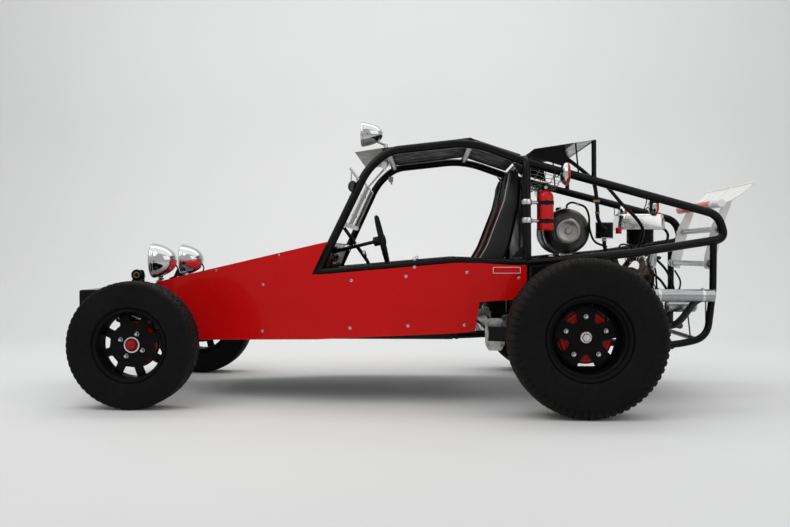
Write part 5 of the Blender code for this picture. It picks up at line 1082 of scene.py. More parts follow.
def build_rack():
    z = 0.385
    bm = bmesh.new()
    lathe(bm, ((0.0116, -0.210), (0.0225, -0.210), (0.0240, -0.207), (0.0240, -0.180), (0.0215, -0.176),
               (0.0215, 0.176), (0.0240, 0.180), (0.0240, 0.207), (0.0225, 0.210), (0.0116, 0.210)),
          (0.110, 0.0, z), RIGHT, 36, True)
    pinion = Vector((0.140, -0.061, z + 0.040))
    pipe(bm, [(0.110, -0.061, z), pinion], 0.0215, sides=28)
    for y in (-0.1302, 0.1302):
        block(bm, (0.010, y, 0.3793), (0.199, 0.0295, 0.0096), 0.002)
        lathe(bm, ((0.0205, -0.013), (0.0262, -0.013), (0.0262, 0.013), (0.0205, 0.013)), (0.110, y, z),
              RIGHT, 36, True, 0.001)
    make("rack_casting", bm, CAST_ALLOY, stands_for=("steering_rack",))
    bm = bmesh.new()
    place = Vector((0.893, -0.28, 0.868 - (1.255 - 0.893) * math.tan(COLUMN_TILT)))
    toward = Vector((math.cos(COLUMN_TILT), 0.0, math.sin(COLUMN_TILT)))
    pipe(bm, [pinion - (place - pinion).normalized() * 0.014, place], 0.0088, sides=20)
    lathe(bm, ((0.0, -0.030), (0.0150, -0.030), (0.0165, -0.027), (0.0165, -0.012), (0.0130, -0.010),
               (0.0130, 0.002), (0.0165, 0.004), (0.0165, 0.0110), (0.0, 0.0110)), place, toward, 28)
    hexagon(bm, place + Vector((0.0, -0.015, -0.004)), (0.0, -1.0, 0.0), 0.006, 0.004)
    make("steering_lower_shaft", bm, PLAIN_STEEL)
    bm = bmesh.new()
    lathe(bm, ((0.0, -0.3323), (0.0085, -0.3323), (0.0098, -0.330), (0.0098, 0.330), (0.0085, 0.3323),
               (0.0, 0.3323)), (0.110, 0.0, z), RIGHT, 28)
    make("rack_bar_rod", bm, BRIGHT_STEEL, "rack_bar", ("rack_bar",))


def build_steering_wheel():
    place = Vector((1.255, -0.280, 0.868))
    toward = Vector((math.cos(COLUMN_TILT), 0.0, math.sin(COLUMN_TILT)))
    move = Matrix.Translation(place) @ turned_to(toward)
    bm = bmesh.new()
    rings = []
    for i in range(144):
        angle = 2.0 * math.pi * i / 144
        grip = 0.0119 - 0.0010 * (0.5 + 0.5 * math.cos(angle * 24.0)) ** 6
        rings.append([bm.verts.new(move @ Vector(((0.130 + grip * math.cos(a)) * math.cos(angle),
                                                  (0.130 + grip * math.cos(a)) * math.sin(angle),
                                                  grip * math.sin(a))))
                      for a in (2.0 * math.pi * k / 16 for k in range(16))])
    skin(bm, rings, True)
    make("steering_rim_grip", bm, GRIP_RUBBER, "steering_wheel", ("steering_wheel",))
    bm = bmesh.new()
    lathe(bm, ((0.0, -0.360), (0.0098, -0.360), (0.0098, -0.052), (0.026, -0.046), (0.026, -0.012),
               (0.031, -0.010), (0.031, -0.004), (0.0, -0.004)), place, toward, 36)
    for turn in (90.0, 210.0, 330.0):
        angle = math.radians(turn)
        reach = Vector((-math.sin(COLUMN_TILT) * math.sin(angle), math.cos(angle),
                        math.cos(COLUMN_TILT) * math.sin(angle)))
        side = toward.cross(reach)
        rings = []
        for rise in (-0.0085, -0.0045):
            rings.append([bm.verts.new(place + toward * rise + reach * out + side * wide)
                          for out, wide in ((0.012, 0.012), (0.060, 0.0095), (0.126, 0.0085),
                                            (0.126, -0.0085), (0.060, -0.0095), (0.012, -0.012))])
        skin(bm, rings)
    make("steering_spokes", bm, SATIN_BLACK, "steering_wheel")
    bm = bmesh.new()
    lathe(bm, ((0.0, -0.005), (0.034, -0.005), (0.034, 0.010), (0.028, 0.018), (0.016, 0.0215),
               (0.0, 0.022)), place, toward, 40)
    make("steering_hub_pad", bm, GRIP_RUBBER, "steering_wheel")
    bm = bmesh.new()
    for i in range(6):
        angle = 2.0 * math.pi * i / 6
        spot = move @ Vector((0.0285 * math.cos(angle), 0.0285 * math.sin(angle), 0.0125))
        lathe(bm, ((0.0, 0.0), (0.0030, 0.0), (0.0026, 0.0026), (0.0, 0.0030)), spot, toward, 12)
    make("steering_hub_screws", bm, BRIGHT_STEEL, "steering_wheel")


# Panels and glass

def sheet(bm, rows, wall):
    """A thin sheet from a grid of points, given its wall along the points' normals."""
    first = [[bm.verts.new(point) for point in row] for row in rows]
    for i in range(len(rows) - 1):
        for k in range(len(rows[0]) - 1):
            bm.faces.new((first[i][k], first[i][k + 1], first[i + 1][k + 1], first[i + 1][k]))
    bmesh.ops.recalc_face_normals(bm, faces=bm.faces[:])
    bmesh.ops.solidify(bm, geom=bm.faces[:], thickness=wall)


def screw(bm, dark, place, axis, radius=0.0082):
    """A dished ring with a round head; the slot is a thin dark strip on the head, painted shade standing in
    for a recessed slot, and goes to a second mesh.
    """
    lathe(bm, ((radius * 0.55, 0.0), (radius, 0.0), (radius * 0.95, 0.0010), (radius * 0.62, 0.0016),
               (radius * 0.55, 0.0010)), place, axis, 28, True)
    lathe(bm, ((0.0, 0.0), (radius * 0.52, 0.0), (radius * 0.50, 0.0012), (0.0, 0.0019)), place, axis, 24)
    # Painted shade: a flat dark strip on the head stands in for the shaded recess of the slot.
    turn = turned_to(axis) @ Matrix.Rotation(0.6, 4, "Z")
    block(dark, Vector(place) + Vector(axis) * 0.0018, (radius * 0.84, radius * 0.20, 0.0006), 0.0, turn)


PANEL = (
    (0.0, 0.3193, 0.580, 0.634), (0.215, 0.3813, 0.320, 0.684), (0.93, 0.6028, 0.345, 0.842),
    (0.991, 0.6028, 0.348, 0.855), (0.9925, 0.6028, 0.348, 0.687), (1.66, 0.6028, 0.378, 0.745),
    (1.756, 0.5928, 0.388, 0.743), (1.780, 0.5898, 0.540, 0.743), (1.953, 0.5888, 0.552, 0.732),
    (2.025, 0.5828, 0.650, 0.732),
)
PANEL_EDGE = ((0.903, 0.683), (0.9865, 0.860), (0.993, 0.883), (0.993, 0.6871), (0.940, 0.683))
PANEL_SCREWS = (
    (0.630, 0.626), (1.111, 0.652), (1.396, 0.674), (1.713, 0.694), (1.984, 0.663),
    (0.624, 0.378), (1.103, 0.403), (1.406, 0.415), (1.701, 0.420),
)


def panel_y(x):
    for (x0, y0, *_), (x1, y1, *_) in zip(PANEL, PANEL[1:]):
        if x0 <= x <= x1 and x1 > x0:
            return y0 + (y1 - y0) * (x - x0) / (x1 - x0)
    return PANEL[-1][1]


def build_side_panels():
    for word, side in SIDES:
        bm = bmesh.new()
        rows = []
        for (x0, _, low0, high0), (x1, _, low1, high1) in zip(PANEL, PANEL[1:]):
            count = max(1, int((x1 - x0) / 0.035))
            for i in range(count):
                t = i / count
                rows.append((x0 + (x1 - x0) * t, low0 + (low1 - low0) * t, high0 + (high1 - high0) * t))
        rows.append((PANEL[-1][0], PANEL[-1][2], PANEL[-1][3]))
        inner = []
        outer = []
        for x, low, high in rows:
            y = panel_y(x)
            strip = [low + (high - low) * k / 8 for k in range(9)]
            dent = [0.0004 * noise.noise(Vector((x * 2.2, 0.0, z * 3.0 + 5.0 * side))) for z in strip]
            inner.append([bm.verts.new((x, side * (y + 0.0002), z)) for z in strip])
            outer.append([bm.verts.new((x, side * (y + 0.0026 + d), z)) for z, d in zip(strip, dent)])
        for grid in (inner, outer):
            for a, b in zip(grid, grid[1:]):
                for k in range(8):
                    bm.faces.new((a[k], a[k + 1], b[k + 1], b[k]))
        for i in range(len(rows) - 1):
            for k in (0, 8):
                bm.faces.new((inner[i][k], inner[i + 1][k], outer[i + 1][k], outer[i][k]))
        for i in (0, len(rows) - 1):
            for k in range(8):
                bm.faces.new((inner[i][k], inner[i][k + 1], outer[i][k + 1], outer[i][k]))
        panel = make("panel_sheet_" + word, bm, RED_PAINT, stands_for=("side_panel_" + word,))
        cutter = bmesh.new()
        prism(cutter, PANEL_EDGE, side * 0.52, side * 0.63)
        cut_out(panel, cutter)
        bm = bmesh.new()
        dark = bmesh.new()
        for x, z in PANEL_SCREWS + ((1.440, 0.722),):
            slope = (panel_y(x + 0.01) - panel_y(x - 0.01)) / 0.02
            out = Vector((-slope, side, 0.0)).normalized()
            screw(bm, dark, (x, side * (panel_y(x) + 0.0027), z), out)
        for x, z in ((0.36, 0.700), (0.72, 0.786)):
            out = Vector((-(panel_y(x + 0.01) - panel_y(x - 0.01)) / 0.02, side, 0.0)).normalized()
            screw(bm, dark, (x, side * (panel_y(x) + 0.0027), z), out, 0.0060)
        make("panel_screws_" + word, bm, BRIGHT_STEEL)
        # Dark strips on the screw heads: painted shade for the slots' recesses.
        make("panel_screw_slot_shade_" + word, dark, HOSE_RUBBER)
        bm = bmesh.new()
        y = side * (panel_y(1.92) + 0.0030)
        prism(bm, ((1.849, 0.689), (1.992, 0.689), (1.992, 0.722), (1.849, 0.722)), y - 0.0005, y + 0.0005,
              "y", 0.0, 0.004)
        make("panel_plate_edge_" + word, bm, WHITE_PAINT)
        bm = bmesh.new()
        prism(bm, ((1.8515, 0.6915), (1.9895, 0.6915), (1.9895, 0.7195), (1.8515, 0.7195)), y - 0.0008,
              y + 0.0008, "y", 0.0, 0.003)
        make("panel_plate_" + word, bm, RED_PAINT)
        bm = bmesh.new()
        edge = [(x, side * (panel_y(x) + 0.0013), low + 0.0005) for x, low,
                high in rows if 0.21 < x < 1.757]
        pipe(bm, edge, 0.0028, sides=10)
        make("panel_hem_" + word, bm, RED_PAINT)


def build_cowl_and_floor():
    lift = RAIL_TUBE + 0.0005
    nose, cowl = joint("nose_top", 1), joint("cowl_top", 1)
    normal = Vector((nose.z - cowl.z, 0.0, cowl.x - nose.x)).normalized()
    front = nose.lerp(cowl, 0.075 / COWL_X)
    rear = Vector((cowl.x - 0.031, cowl.y - 0.001, cowl.z - 0.007))
    bm = bmesh.new()
    rows = []
    for i in range(25):
        line = front.lerp(rear, i / 24)
        row = []
        for k in range(17):
            across = -1.0 + k / 8.0
            point = Vector((line.x, across * line.y, line.z)) + normal * (lift + 0.0014)
            row.append(point + normal * 0.0008 * noise.noise(point * 3.0))
        rows.append(row)
    sheet(bm, rows, 0.0020)
    make("cowl_sheet", bm, RED_PAINT, stands_for=("cowl_panel",))
    bm = bmesh.new()
    dark = bmesh.new()
    for _, side in SIDES:
        for share in (0.05, 0.28, 0.52, 0.76, 0.95):
            line = front.lerp(rear, share)
            spot = Vector((line.x, side * (line.y - 0.016), line.z)) + normal * (lift + 0.0030)
            screw(bm, dark, spot, normal, 0.0070)
    make("cowl_screws", bm, BRIGHT_STEEL)
    # Dark strips on the screw heads: painted shade for the slots' recesses.
    make("cowl_screw_slot_shade", dark, HOSE_RUBBER)
    bm = bmesh.new()
    rows = []
    for x, half, z in ((0.215, 0.34, 0.3145), (0.93, 0.57, 0.3455), (1.64, 0.57, 0.3455)):
        rows.append([Vector((x, half * (-1.0 + k / 24.0),
                             z - 0.0016 - 0.0009 * (k % 4 in (1, 2)))) for k in range(49)])
    fine = []
    for a, b in zip(rows, rows[1:]):
        fine += [[p.lerp(q, i / 12) for p, q in zip(a, b)] for i in range(12)]
    sheet(bm, fine + [rows[-1]], 0.0008)
    make("floor_sheet", bm, SATIN_BLACK, stands_for=("floor_pan",))


def build_dash():
    low = Vector((0.945, 0.0, 0.7143))
    high = Vector((0.980, 0.0, 0.8157))
    up = (high - low).normalized()
    back = Vector((up.z, 0.0, -up.x))
    bm = bmesh.new()
    prism(bm, ((0.9452, 0.7146), (0.9802, 0.8154), (0.9838, 0.8154), (0.9488, 0.7146)), -0.5348, 0.5348,
          "y", 0.0008)
    plate = make("dash_sheet", bm, SATIN_BLACK, stands_for=("dash_panel",))
    cutter = bmesh.new()
    toward = Vector((math.cos(COLUMN_TILT), 0.0, math.sin(COLUMN_TILT)))
    place = Vector((0.96, -0.28, 0.868 - 0.295 * math.tan(COLUMN_TILT)))
    pipe(cutter, [place - toward * 0.05, place + toward * 0.08], 0.0188, sides=32)
    cut_out(plate, cutter)
    rim = bmesh.new()
    face = bmesh.new()
    needle = bmesh.new()
    for y, radius in ((-0.155, 0.026), (-0.085, 0.034), (0.0, 0.034), (0.075, 0.026)):
        spot = low.lerp(high, 0.52) + back * 0.0040 + Vector((0.0, y, 0.0))
        lathe(rim, ((radius - 0.004, 0.0), (radius, 0.0), (radius, 0.006), (radius - 0.002, 0.009),
                    (radius - 0.004, 0.006)), spot, back, 40, True)
        lathe(face, ((0.0, 0.0), (radius - 0.0035, 0.0), (radius - 0.0035, 0.003), (0.0, 0.003)), spot,
              back, 36)
        pivot = spot + back * 0.0042
        pipe(needle, [pivot, pivot + up * (radius * 0.55) + Vector((0.0, radius * 0.3, 0.0))], 0.0007,
             sides=6)
    for i, y in enumerate((0.135, 0.165, 0.195)):
        spot = low.lerp(high, 0.5) + back * 0.0040 + Vector((0.0, y, 0.0))
        lathe(rim, ((0.0, 0.0), (0.008, 0.0), (0.008, 0.003), (0.0045, 0.004), (0.0, 0.004)), spot, back,
              20)
        pipe(rim, [spot, spot + back * 0.016 + up * (0.010 if i % 2 else -0.008)], 0.0024, sides=10)
    make("gauge_bezels", rim, CHROME)
    make("gauge_faces", face, GRIP_RUBBER)
    make("gauge_needles", needle, WHITE_PAINT)


def build_roof():
    half = 0.4760
    line = [(1.262, 1.3562), (1.297, 1.3562), (1.740, 1.4072), (2.0035, 1.3192)]
    bm = bmesh.new()
    rows = []
    for (x0, z0), (x1, z1) in zip(line, line[1:]):
        count = max(2, int((x1 - x0) / 0.03))
        for i in range(count):
            t = i / count
            rows.append((x0 + (x1 - x0) * t, z0 + (z1 - z0) * t))
    rows.append(line[-1])
    grid = [[Vector((x, -half + 2.0 * half * k / 24, z + 0.0012)) for k in range(25)] for x, z in rows]
    sheet(bm, grid, 0.0022)
    for _, side in SIDES:
        pipe(bm, [(x, side * (half - 0.003), z + 0.0022) for x, z in line[1:3]], 0.0024, sides=8)
    make("roof_sheet", bm, ROOF_BLACK, stands_for=("roof_panel",))
    bm = bmesh.new()
    grid = [[Vector((1.120 + 0.1420 * i / 6, -half + 2.0 * half * k / 24, 1.3355 + 0.0222 * i / 6))
             for k in range(25)] for i in range(7)]
    sheet(bm, grid, 0.0022)
    pipe(bm, [(1.1215, -half, 1.3362), (1.1215, half, 1.3362)], 0.0022, sides=10)
    make("visor_sheet", bm, VISOR_GREY)
    bm = bmesh.new()
    dark = bmesh.new()
    for _, side in SIDES:
        for x, z in ((1.31, 1.358), (1.45, 1.374), (1.59, 1.390), (1.73, 1.406)):
            screw(bm, dark, (x, side * (half - 0.014), z + 0.0016), (-0.11, 0.0, 0.99), 0.0070)
    make("roof_screws", bm, BRIGHT_STEEL)
    # Dark strips on the screw heads: painted shade for the slots' recesses.
    make("roof_screw_slot_shade", dark, HOSE_RUBBER)


def build_deck():
    bm = bmesh.new()
    half = 0.4695
    line = ((2.076, 1.3520), (2.394, 1.3988))
    grid = []
    for i in range(13):
        x = line[0][0] + (line[1][0] - line[0][0]) * i / 12
        z = line[0][1] + (line[1][1] - line[0][1]) * i / 12
        grid.append([Vector((x, -half + 2.0 * half * k / 24, z - 0.0016)) for k in range(25)])
    front = [Vector((2.0385, p.y, 1.3215)) for p in grid[0]]
    sheet(bm, [front] + grid[:9], 0.0024)
    pipe(bm, [(2.0385, -half, 1.3215), (2.0385, half, 1.3215)], 0.0020, sides=8)
    for _, side in SIDES:
        plate = ((2.048, 1.3205), (2.079, 1.3470), (2.236, 1.3705), (2.262, 1.2470), (2.048, 1.3135))
        prism(bm, plate, side * 0.4660, side * 0.4685)
    make("deck_sheet", bm, ROOF_BLACK, stands_for=("rear_deck",))
    bm = bmesh.new()
    rear = grid[8:] + [[Vector((2.4045, p.y, p.z + 0.0008)) for p in grid[-1]]]
    sheet(bm, rear, 0.0022)
    make("deck_window", bm, SMOKED_SHEET)
    bm = bmesh.new()
    for _, side in SIDES:
        seat = between("hoop_seat", "rail_end", 2.394, side)
        head = (2.394, side * 0.454, 1.3955)
        strut(bm, head, seat, joint("rail_end", side) - joint("hoop_seat", side), BRACE_TUBE, MAIN_TUBE)
        pipe(bm, [(2.300, side * 0.440, 1.381), (2.318, side * 0.448, 1.180)], 0.0045, sides=10)
    pipe(bm, [(2.3945, -half + 0.002, 1.3945), (2.3945, half - 0.002, 1.3945)], 0.0042, sides=10)
    make("deck_posts", bm, BLACK_PAINT)


def build_windscreen():
    foot, head = joint("pillar_foot", 1), joint("pillar_bend", 1)
    low = foot.lerp(head, (0.955 - foot.z) / (head.z - foot.z))
    high = foot.lerp(head, (1.185 - foot.z) / (head.z - foot.z))
    inset = MAIN_TUBE + 0.006
    up = (high - low).normalized()
    turn = Matrix.Rotation(math.atan2(high.x - low.x, high.z - low.z), 4, "Y")
    out = Vector((-up.z, 0.0, up.x))
    bm = bmesh.new()
    grid = []
    for i in range(2):
        line = low.lerp(high, i)
        half = line.y - inset - 0.0015
        grid.append([Vector((line.x, -half + 2.0 * half * k / 12,
                             line.z)) + out * 0.0022 for k in range(13)])
    sheet(bm, grid, 0.0044)
    make("windscreen_pane", bm, CLEAR_GLASS, stands_for=("windscreen",))
    bm = bmesh.new()
    block(bm, (low.x, 0.0, low.z), (0.0236, 2.0 * (low.y - inset) - 0.002, 0.0256), 0.004, turn)
    middle = (low + high) / 2.0
    block(bm, (middle.x, 0.0, middle.z), (0.0196, 0.0335, (high - low).length - 0.004), 0.003, turn)
    for _, side in SIDES:
        a = low + up * 0.006
        b = high - up * 0.002
        for spot in (a, b):
            spot.y = side * (spot.y - inset - 0.005)
        pipe(bm, [a, b], 0.0046, sides=10)
        seat = low + up * 0.020
        block(bm, (seat.x, side * (seat.y - inset + 0.003), seat.z), (0.0158, 0.016, 0.0238), 0.003, turn)
    top = high - up * 0.003
    pipe(bm, [(top.x, -(top.y - inset - 0.004), top.z), (top.x, top.y - inset - 0.004, top.z)], 0.0046,
         sides=10)
    make("windscreen_frame", bm, BRUSHED_ALLOY)
    bm = bmesh.new()
    for _, side in SIDES:
        for share in (0.25, 0.75):
            spot = low.lerp(high, share)
            hexagon(bm, Vector((spot.x, side * 0.008, spot.z)) - out * 0.0098, -out, 0.0045, 0.003, 0.007)
    make("windscreen_bolts", bm, BRIGHT_STEEL)
    bm = bmesh.new()
    dark = bmesh.new()
    pipe(bm, [(1.098, -0.527, 1.246), (1.146, -0.527, 1.181)], 0.0075, sides=16)
    pipe(bm, [(1.106, -0.530, 1.236), (1.104, -0.536, 1.180), (1.108, -0.538, 1.160)], 0.0036, 0.02, 10)
    block(bm, (1.142, -0.524, 1.184), (0.024, 0.016, 0.018), 0.002, turn)
    make("mirror_arm", bm, BRIGHT_STEEL)
    facing = Vector((0.70, -0.70, -0.05)).normalized()
    middle = Vector((1.112, -0.540, 1.147))
    lathe(dark, ((0.0, -0.009), (0.020, -0.008), (0.0290, -0.004), (0.0310, 0.001), (0.0300, 0.004),
                 (0.0, 0.004)), middle, facing, 40)
    make("mirror_shell", dark, SATIN_BLACK)
    bm = bmesh.new()
    lathe(bm, ((0.0, 0.0035), (0.0265, 0.0035), (0.0265, 0.0046), (0.0, 0.0046)), middle, facing, 40)
    make("mirror_glass", bm, DARK_CHROME)


# Lamps, bumper and wing

def lamp(name, place, radius, front, back, node, look):
    """A bullet lamp facing forward: bowl, rim and ribbed lens."""
    depth = back - front
    bowl = [(radius * 0.93, front + 0.016), (radius * 0.985, front + 0.016),
            (radius * 0.975, front + 0.024), (radius * 0.955, front + 0.20 * depth),
            (radius * 0.90, front + 0.36 * depth), (radius * 0.80, front + 0.54 * depth),
            (radius * 0.655, front + 0.72 * depth), (radius * 0.47, front + 0.86 * depth),
            (radius * 0.24, front + 0.955 * depth), (0.0, back - 0.0015)]
    bm = bmesh.new()
    smooth_bowl = curve([(r, z, 0.0) for r, z in bowl[2:]], 36)
    profile = bowl[:2] + [(p.x, p.y) for p in smooth_bowl[:-1]] + [(0.0, back - 0.0015)]
    lathe(bm, [(0.0, front + 0.012), (radius * 0.88, front + 0.012)] + profile, place, REARWARD, 72)
    make(name + "_bowl", bm, look, stands_for=(node,))
    bm = bmesh.new()
    lathe(bm, ((radius * 0.86, front + 0.002), (radius * 0.90, front + 0.0006),
               (radius * 0.965, front + 0.001), (radius * 0.998, front + 0.006),
               (radius * 0.998, front + 0.013), (radius * 0.96, front + 0.0165),
               (radius * 0.86, front + 0.014)), place, REARWARD, 72, True, 0.0015)
    make(name + "_rim", bm, look)
    bm = bmesh.new()
    lathe(bm, ((0.0, front + 0.0035), (radius * 0.86, front + 0.0075), (radius * 0.86, front + 0.0105),
               (0.0, front + 0.0065)), place, REARWARD, 64)
    for i in range(-4, 5):
        y = i * radius * 0.18
        reach = math.sqrt(max(0.0, (radius * 0.78) ** 2 - y * y))
        if reach > 0.01:
            x = place[0] + front + 0.0045 + 0.0028 * (y / radius) ** 2
            pipe(bm, [(x, place[1] + y, place[2] - reach), (x, place[1] + y, place[2] + reach)], 0.0016,
                 sides=6)
    make(name + "_lens", bm, LENS_GLASS)


def build_lamps():
    for word, side in SIDES:
        place = (0.020, side * 0.305, 0.753)
        lamp("headlamp_" + word, place, 0.097, -0.049, 0.090, "headlamp_" + word, CHROME)
        bm = bmesh.new()
        pipe(bm, [(0.0, side * 0.270, 0.6345), (0.018, side * 0.288, 0.690)], 0.0125, sides=20)
        lathe(bm, ((0.0, 0.0), (0.022, 0.0), (0.022, 0.004), (0.014, 0.009), (0.0, 0.009)),
              (-0.001, side * 0.269, 0.6342), UP, 28)
        hexagon(bm, (0.010, side * 0.280, 0.650), (0.3, 0.0, 1.0), 0.017, 0.010)
        make("headlamp_stalk_" + word, bm, BRIGHT_STEEL)
        bm = bmesh.new()
        lathe(bm, ((0.0, 0.0), (0.0042, 0.0), (0.0036, 0.0022), (0.0, 0.003)),
              (0.006, side * (0.305 + 0.0945), 0.750), (0.0, side, 0.0), 16)
        make("headlamp_screw_" + word, bm, HOSE_RUBBER)
        bm = bmesh.new()
        pipe(bm, curve([(0.098, side * 0.300, 0.735), (0.112, side * 0.292, 0.700),
                        (0.095, side * 0.285, 0.668), (0.060, side * 0.284, 0.652)], 18), 0.0040, sides=10)
        make("headlamp_wire_" + word, bm, HOSE_RUBBER)
    place = (1.194, -0.36, 1.445)
    lamp("roof_lamp_shell", place, 0.068, -0.050, 0.072, "roof_lamp", CHROME)
    bm = bmesh.new()
    pipe(bm, [(1.279, -0.36, 1.3590), (1.279, -0.36, 1.392)], 0.0115, sides=20)
    hexagon(bm, (1.279, -0.36, 1.3595), UP, 0.0120, 0.009)
    pipe(bm, [(1.279, -0.36, 1.388), (1.222, -0.36, 1.412)], 0.0088, sides=18)
    make("roof_lamp_stalk", bm, BRIGHT_STEEL)
    bm = bmesh.new()
    lathe(bm, ((0.0, 0.0), (0.0036, 0.0), (0.0030, 0.002), (0.0, 0.0026)), (1.184, -0.4268, 1.440),
          (0.0, -1.0, 0.0), 16)
    make("roof_lamp_screw", bm, HOSE_RUBBER)
    table = (("tail_lamp", 0.052, 2.722, 0.390, 1.046), ("brake_lamp", 0.062, 2.222, 0.575, 1.207))
    for name, radius, x, y, z in table:
        for word, side in SIDES:
            spot = (x, side * y, z)
            bm = bmesh.new()
            bowl = curve([(0.0, -0.0240, 0.0), (radius * 0.40, -0.0222, 0.0), (radius * 0.70, -0.0160, 0.0),
                          (radius * 0.90, -0.0060, 0.0), (radius * 0.99, 0.0060, 0.0)], 18)
            profile = [(0.0, -0.0240)] + [(p.x, p.y) for p in bowl[1:]]
            profile += [(radius * 0.99, 0.011), (radius * 0.88, 0.012), (0.0, 0.012)]
            lathe(bm, profile, spot, REARWARD, 56)
            make(name + "_cup_" + word, bm, CHROME, stands_for=(name + "_" + word,))
            bm = bmesh.new()
            lathe(bm, ((radius * 0.87, 0.010), (radius * 0.998, 0.0085), (radius * 0.998, 0.015),
                       (radius * 0.93, 0.0175), (radius * 0.87, 0.015)), spot, REARWARD, 56, True, 0.001)
            make(name + "_ring_" + word, bm, RED_LENS)
            bm = bmesh.new()
            profile = [(0.0, 0.012)]
            profile += [(radius * 0.88, 0.012), (radius * 0.86, 0.020)]
            for i in range(7, 0, -1):
                profile += [(radius * 0.86 * i / 8 + 0.002, 0.0238), (radius * 0.86 * i / 8, 0.0230)]
            profile += [(0.0, 0.0258)]
            lathe(bm, profile, spot, REARWARD, 48)
            make(name + "_lens_" + word, bm, RED_LENS)
            bm = bmesh.new()
            seat = between("hoop_seat", "rail_end", x, side)
            axis = joint("rail_end", side) - joint("hoop_seat", side)
            strut(bm, Vector(spot) + Vector((-0.006, 0.0, 0.0)), seat, axis, 0.0075, MAIN_TUBE)
            make(name + "_bracket_" + word, bm, BLACK_PAINT)
            bm = bmesh.new()
            step_back = Vector((x - 0.024, side * (y - 0.006), z - 0.004))
            pipe(bm, curve([step_back, step_back + Vector((-0.020, 0.0, -0.012)),
                            step_back.lerp(seat, 0.6) + Vector((-0.030, 0.0, 0.0)),
                            seat + axis.normalized() * -0.050 + Vector((0.0, 0.0, 0.024))], 20), 0.0028,
                 sides=8)
            make(name + "_wire_" + word, bm, HOSE_RUBBER)


def build_bumper():
    bm = bmesh.new()
    outline = ((-0.4355, 0.480), (-0.4355, 0.5850), (-0.424, 0.5898), (-0.3212, 0.5898), (-0.3212, 0.4702),
               (-0.424, 0.4702))
    prism(bm, outline, -0.3298, 0.3298, "y", 0.004, 0.006)
    make("bumper_box", bm, BLACK_PAINT, stands_for=("front_bumper",))
    bm = bmesh.new()
    for _, side in SIDES:
        foot = joint("nose_low", side)
        top = between("nose_top", "cowl_top", 0.05, side)
        seat = foot.lerp(top, (0.530 - foot.z) / (top.z - foot.z))
        strut(bm, (-0.325, seat.y, seat.z), seat, top - foot, RAIL_TUBE, RAIL_TUBE)
        lathe(bm, ((0.0, 0.0), (0.030, 0.0), (0.030, 0.004), (0.0, 0.004)), (-0.3250, seat.y, seat.z),
              REARWARD, 32)
    make("bumper_arms", bm, BLACK_PAINT)
    bm = bmesh.new()
    for _, side in SIDES:
        for z in (0.497, 0.563):
            lathe(bm, ((0.0, -0.0010), (0.010, -0.0010), (0.008, -0.0040), (0.0, -0.0052)),
                  (-0.3800, side * 0.3296, z), (0.0, -side, 0.0), 24)
    make("bumper_bolts", bm, BLACK_PAINT)


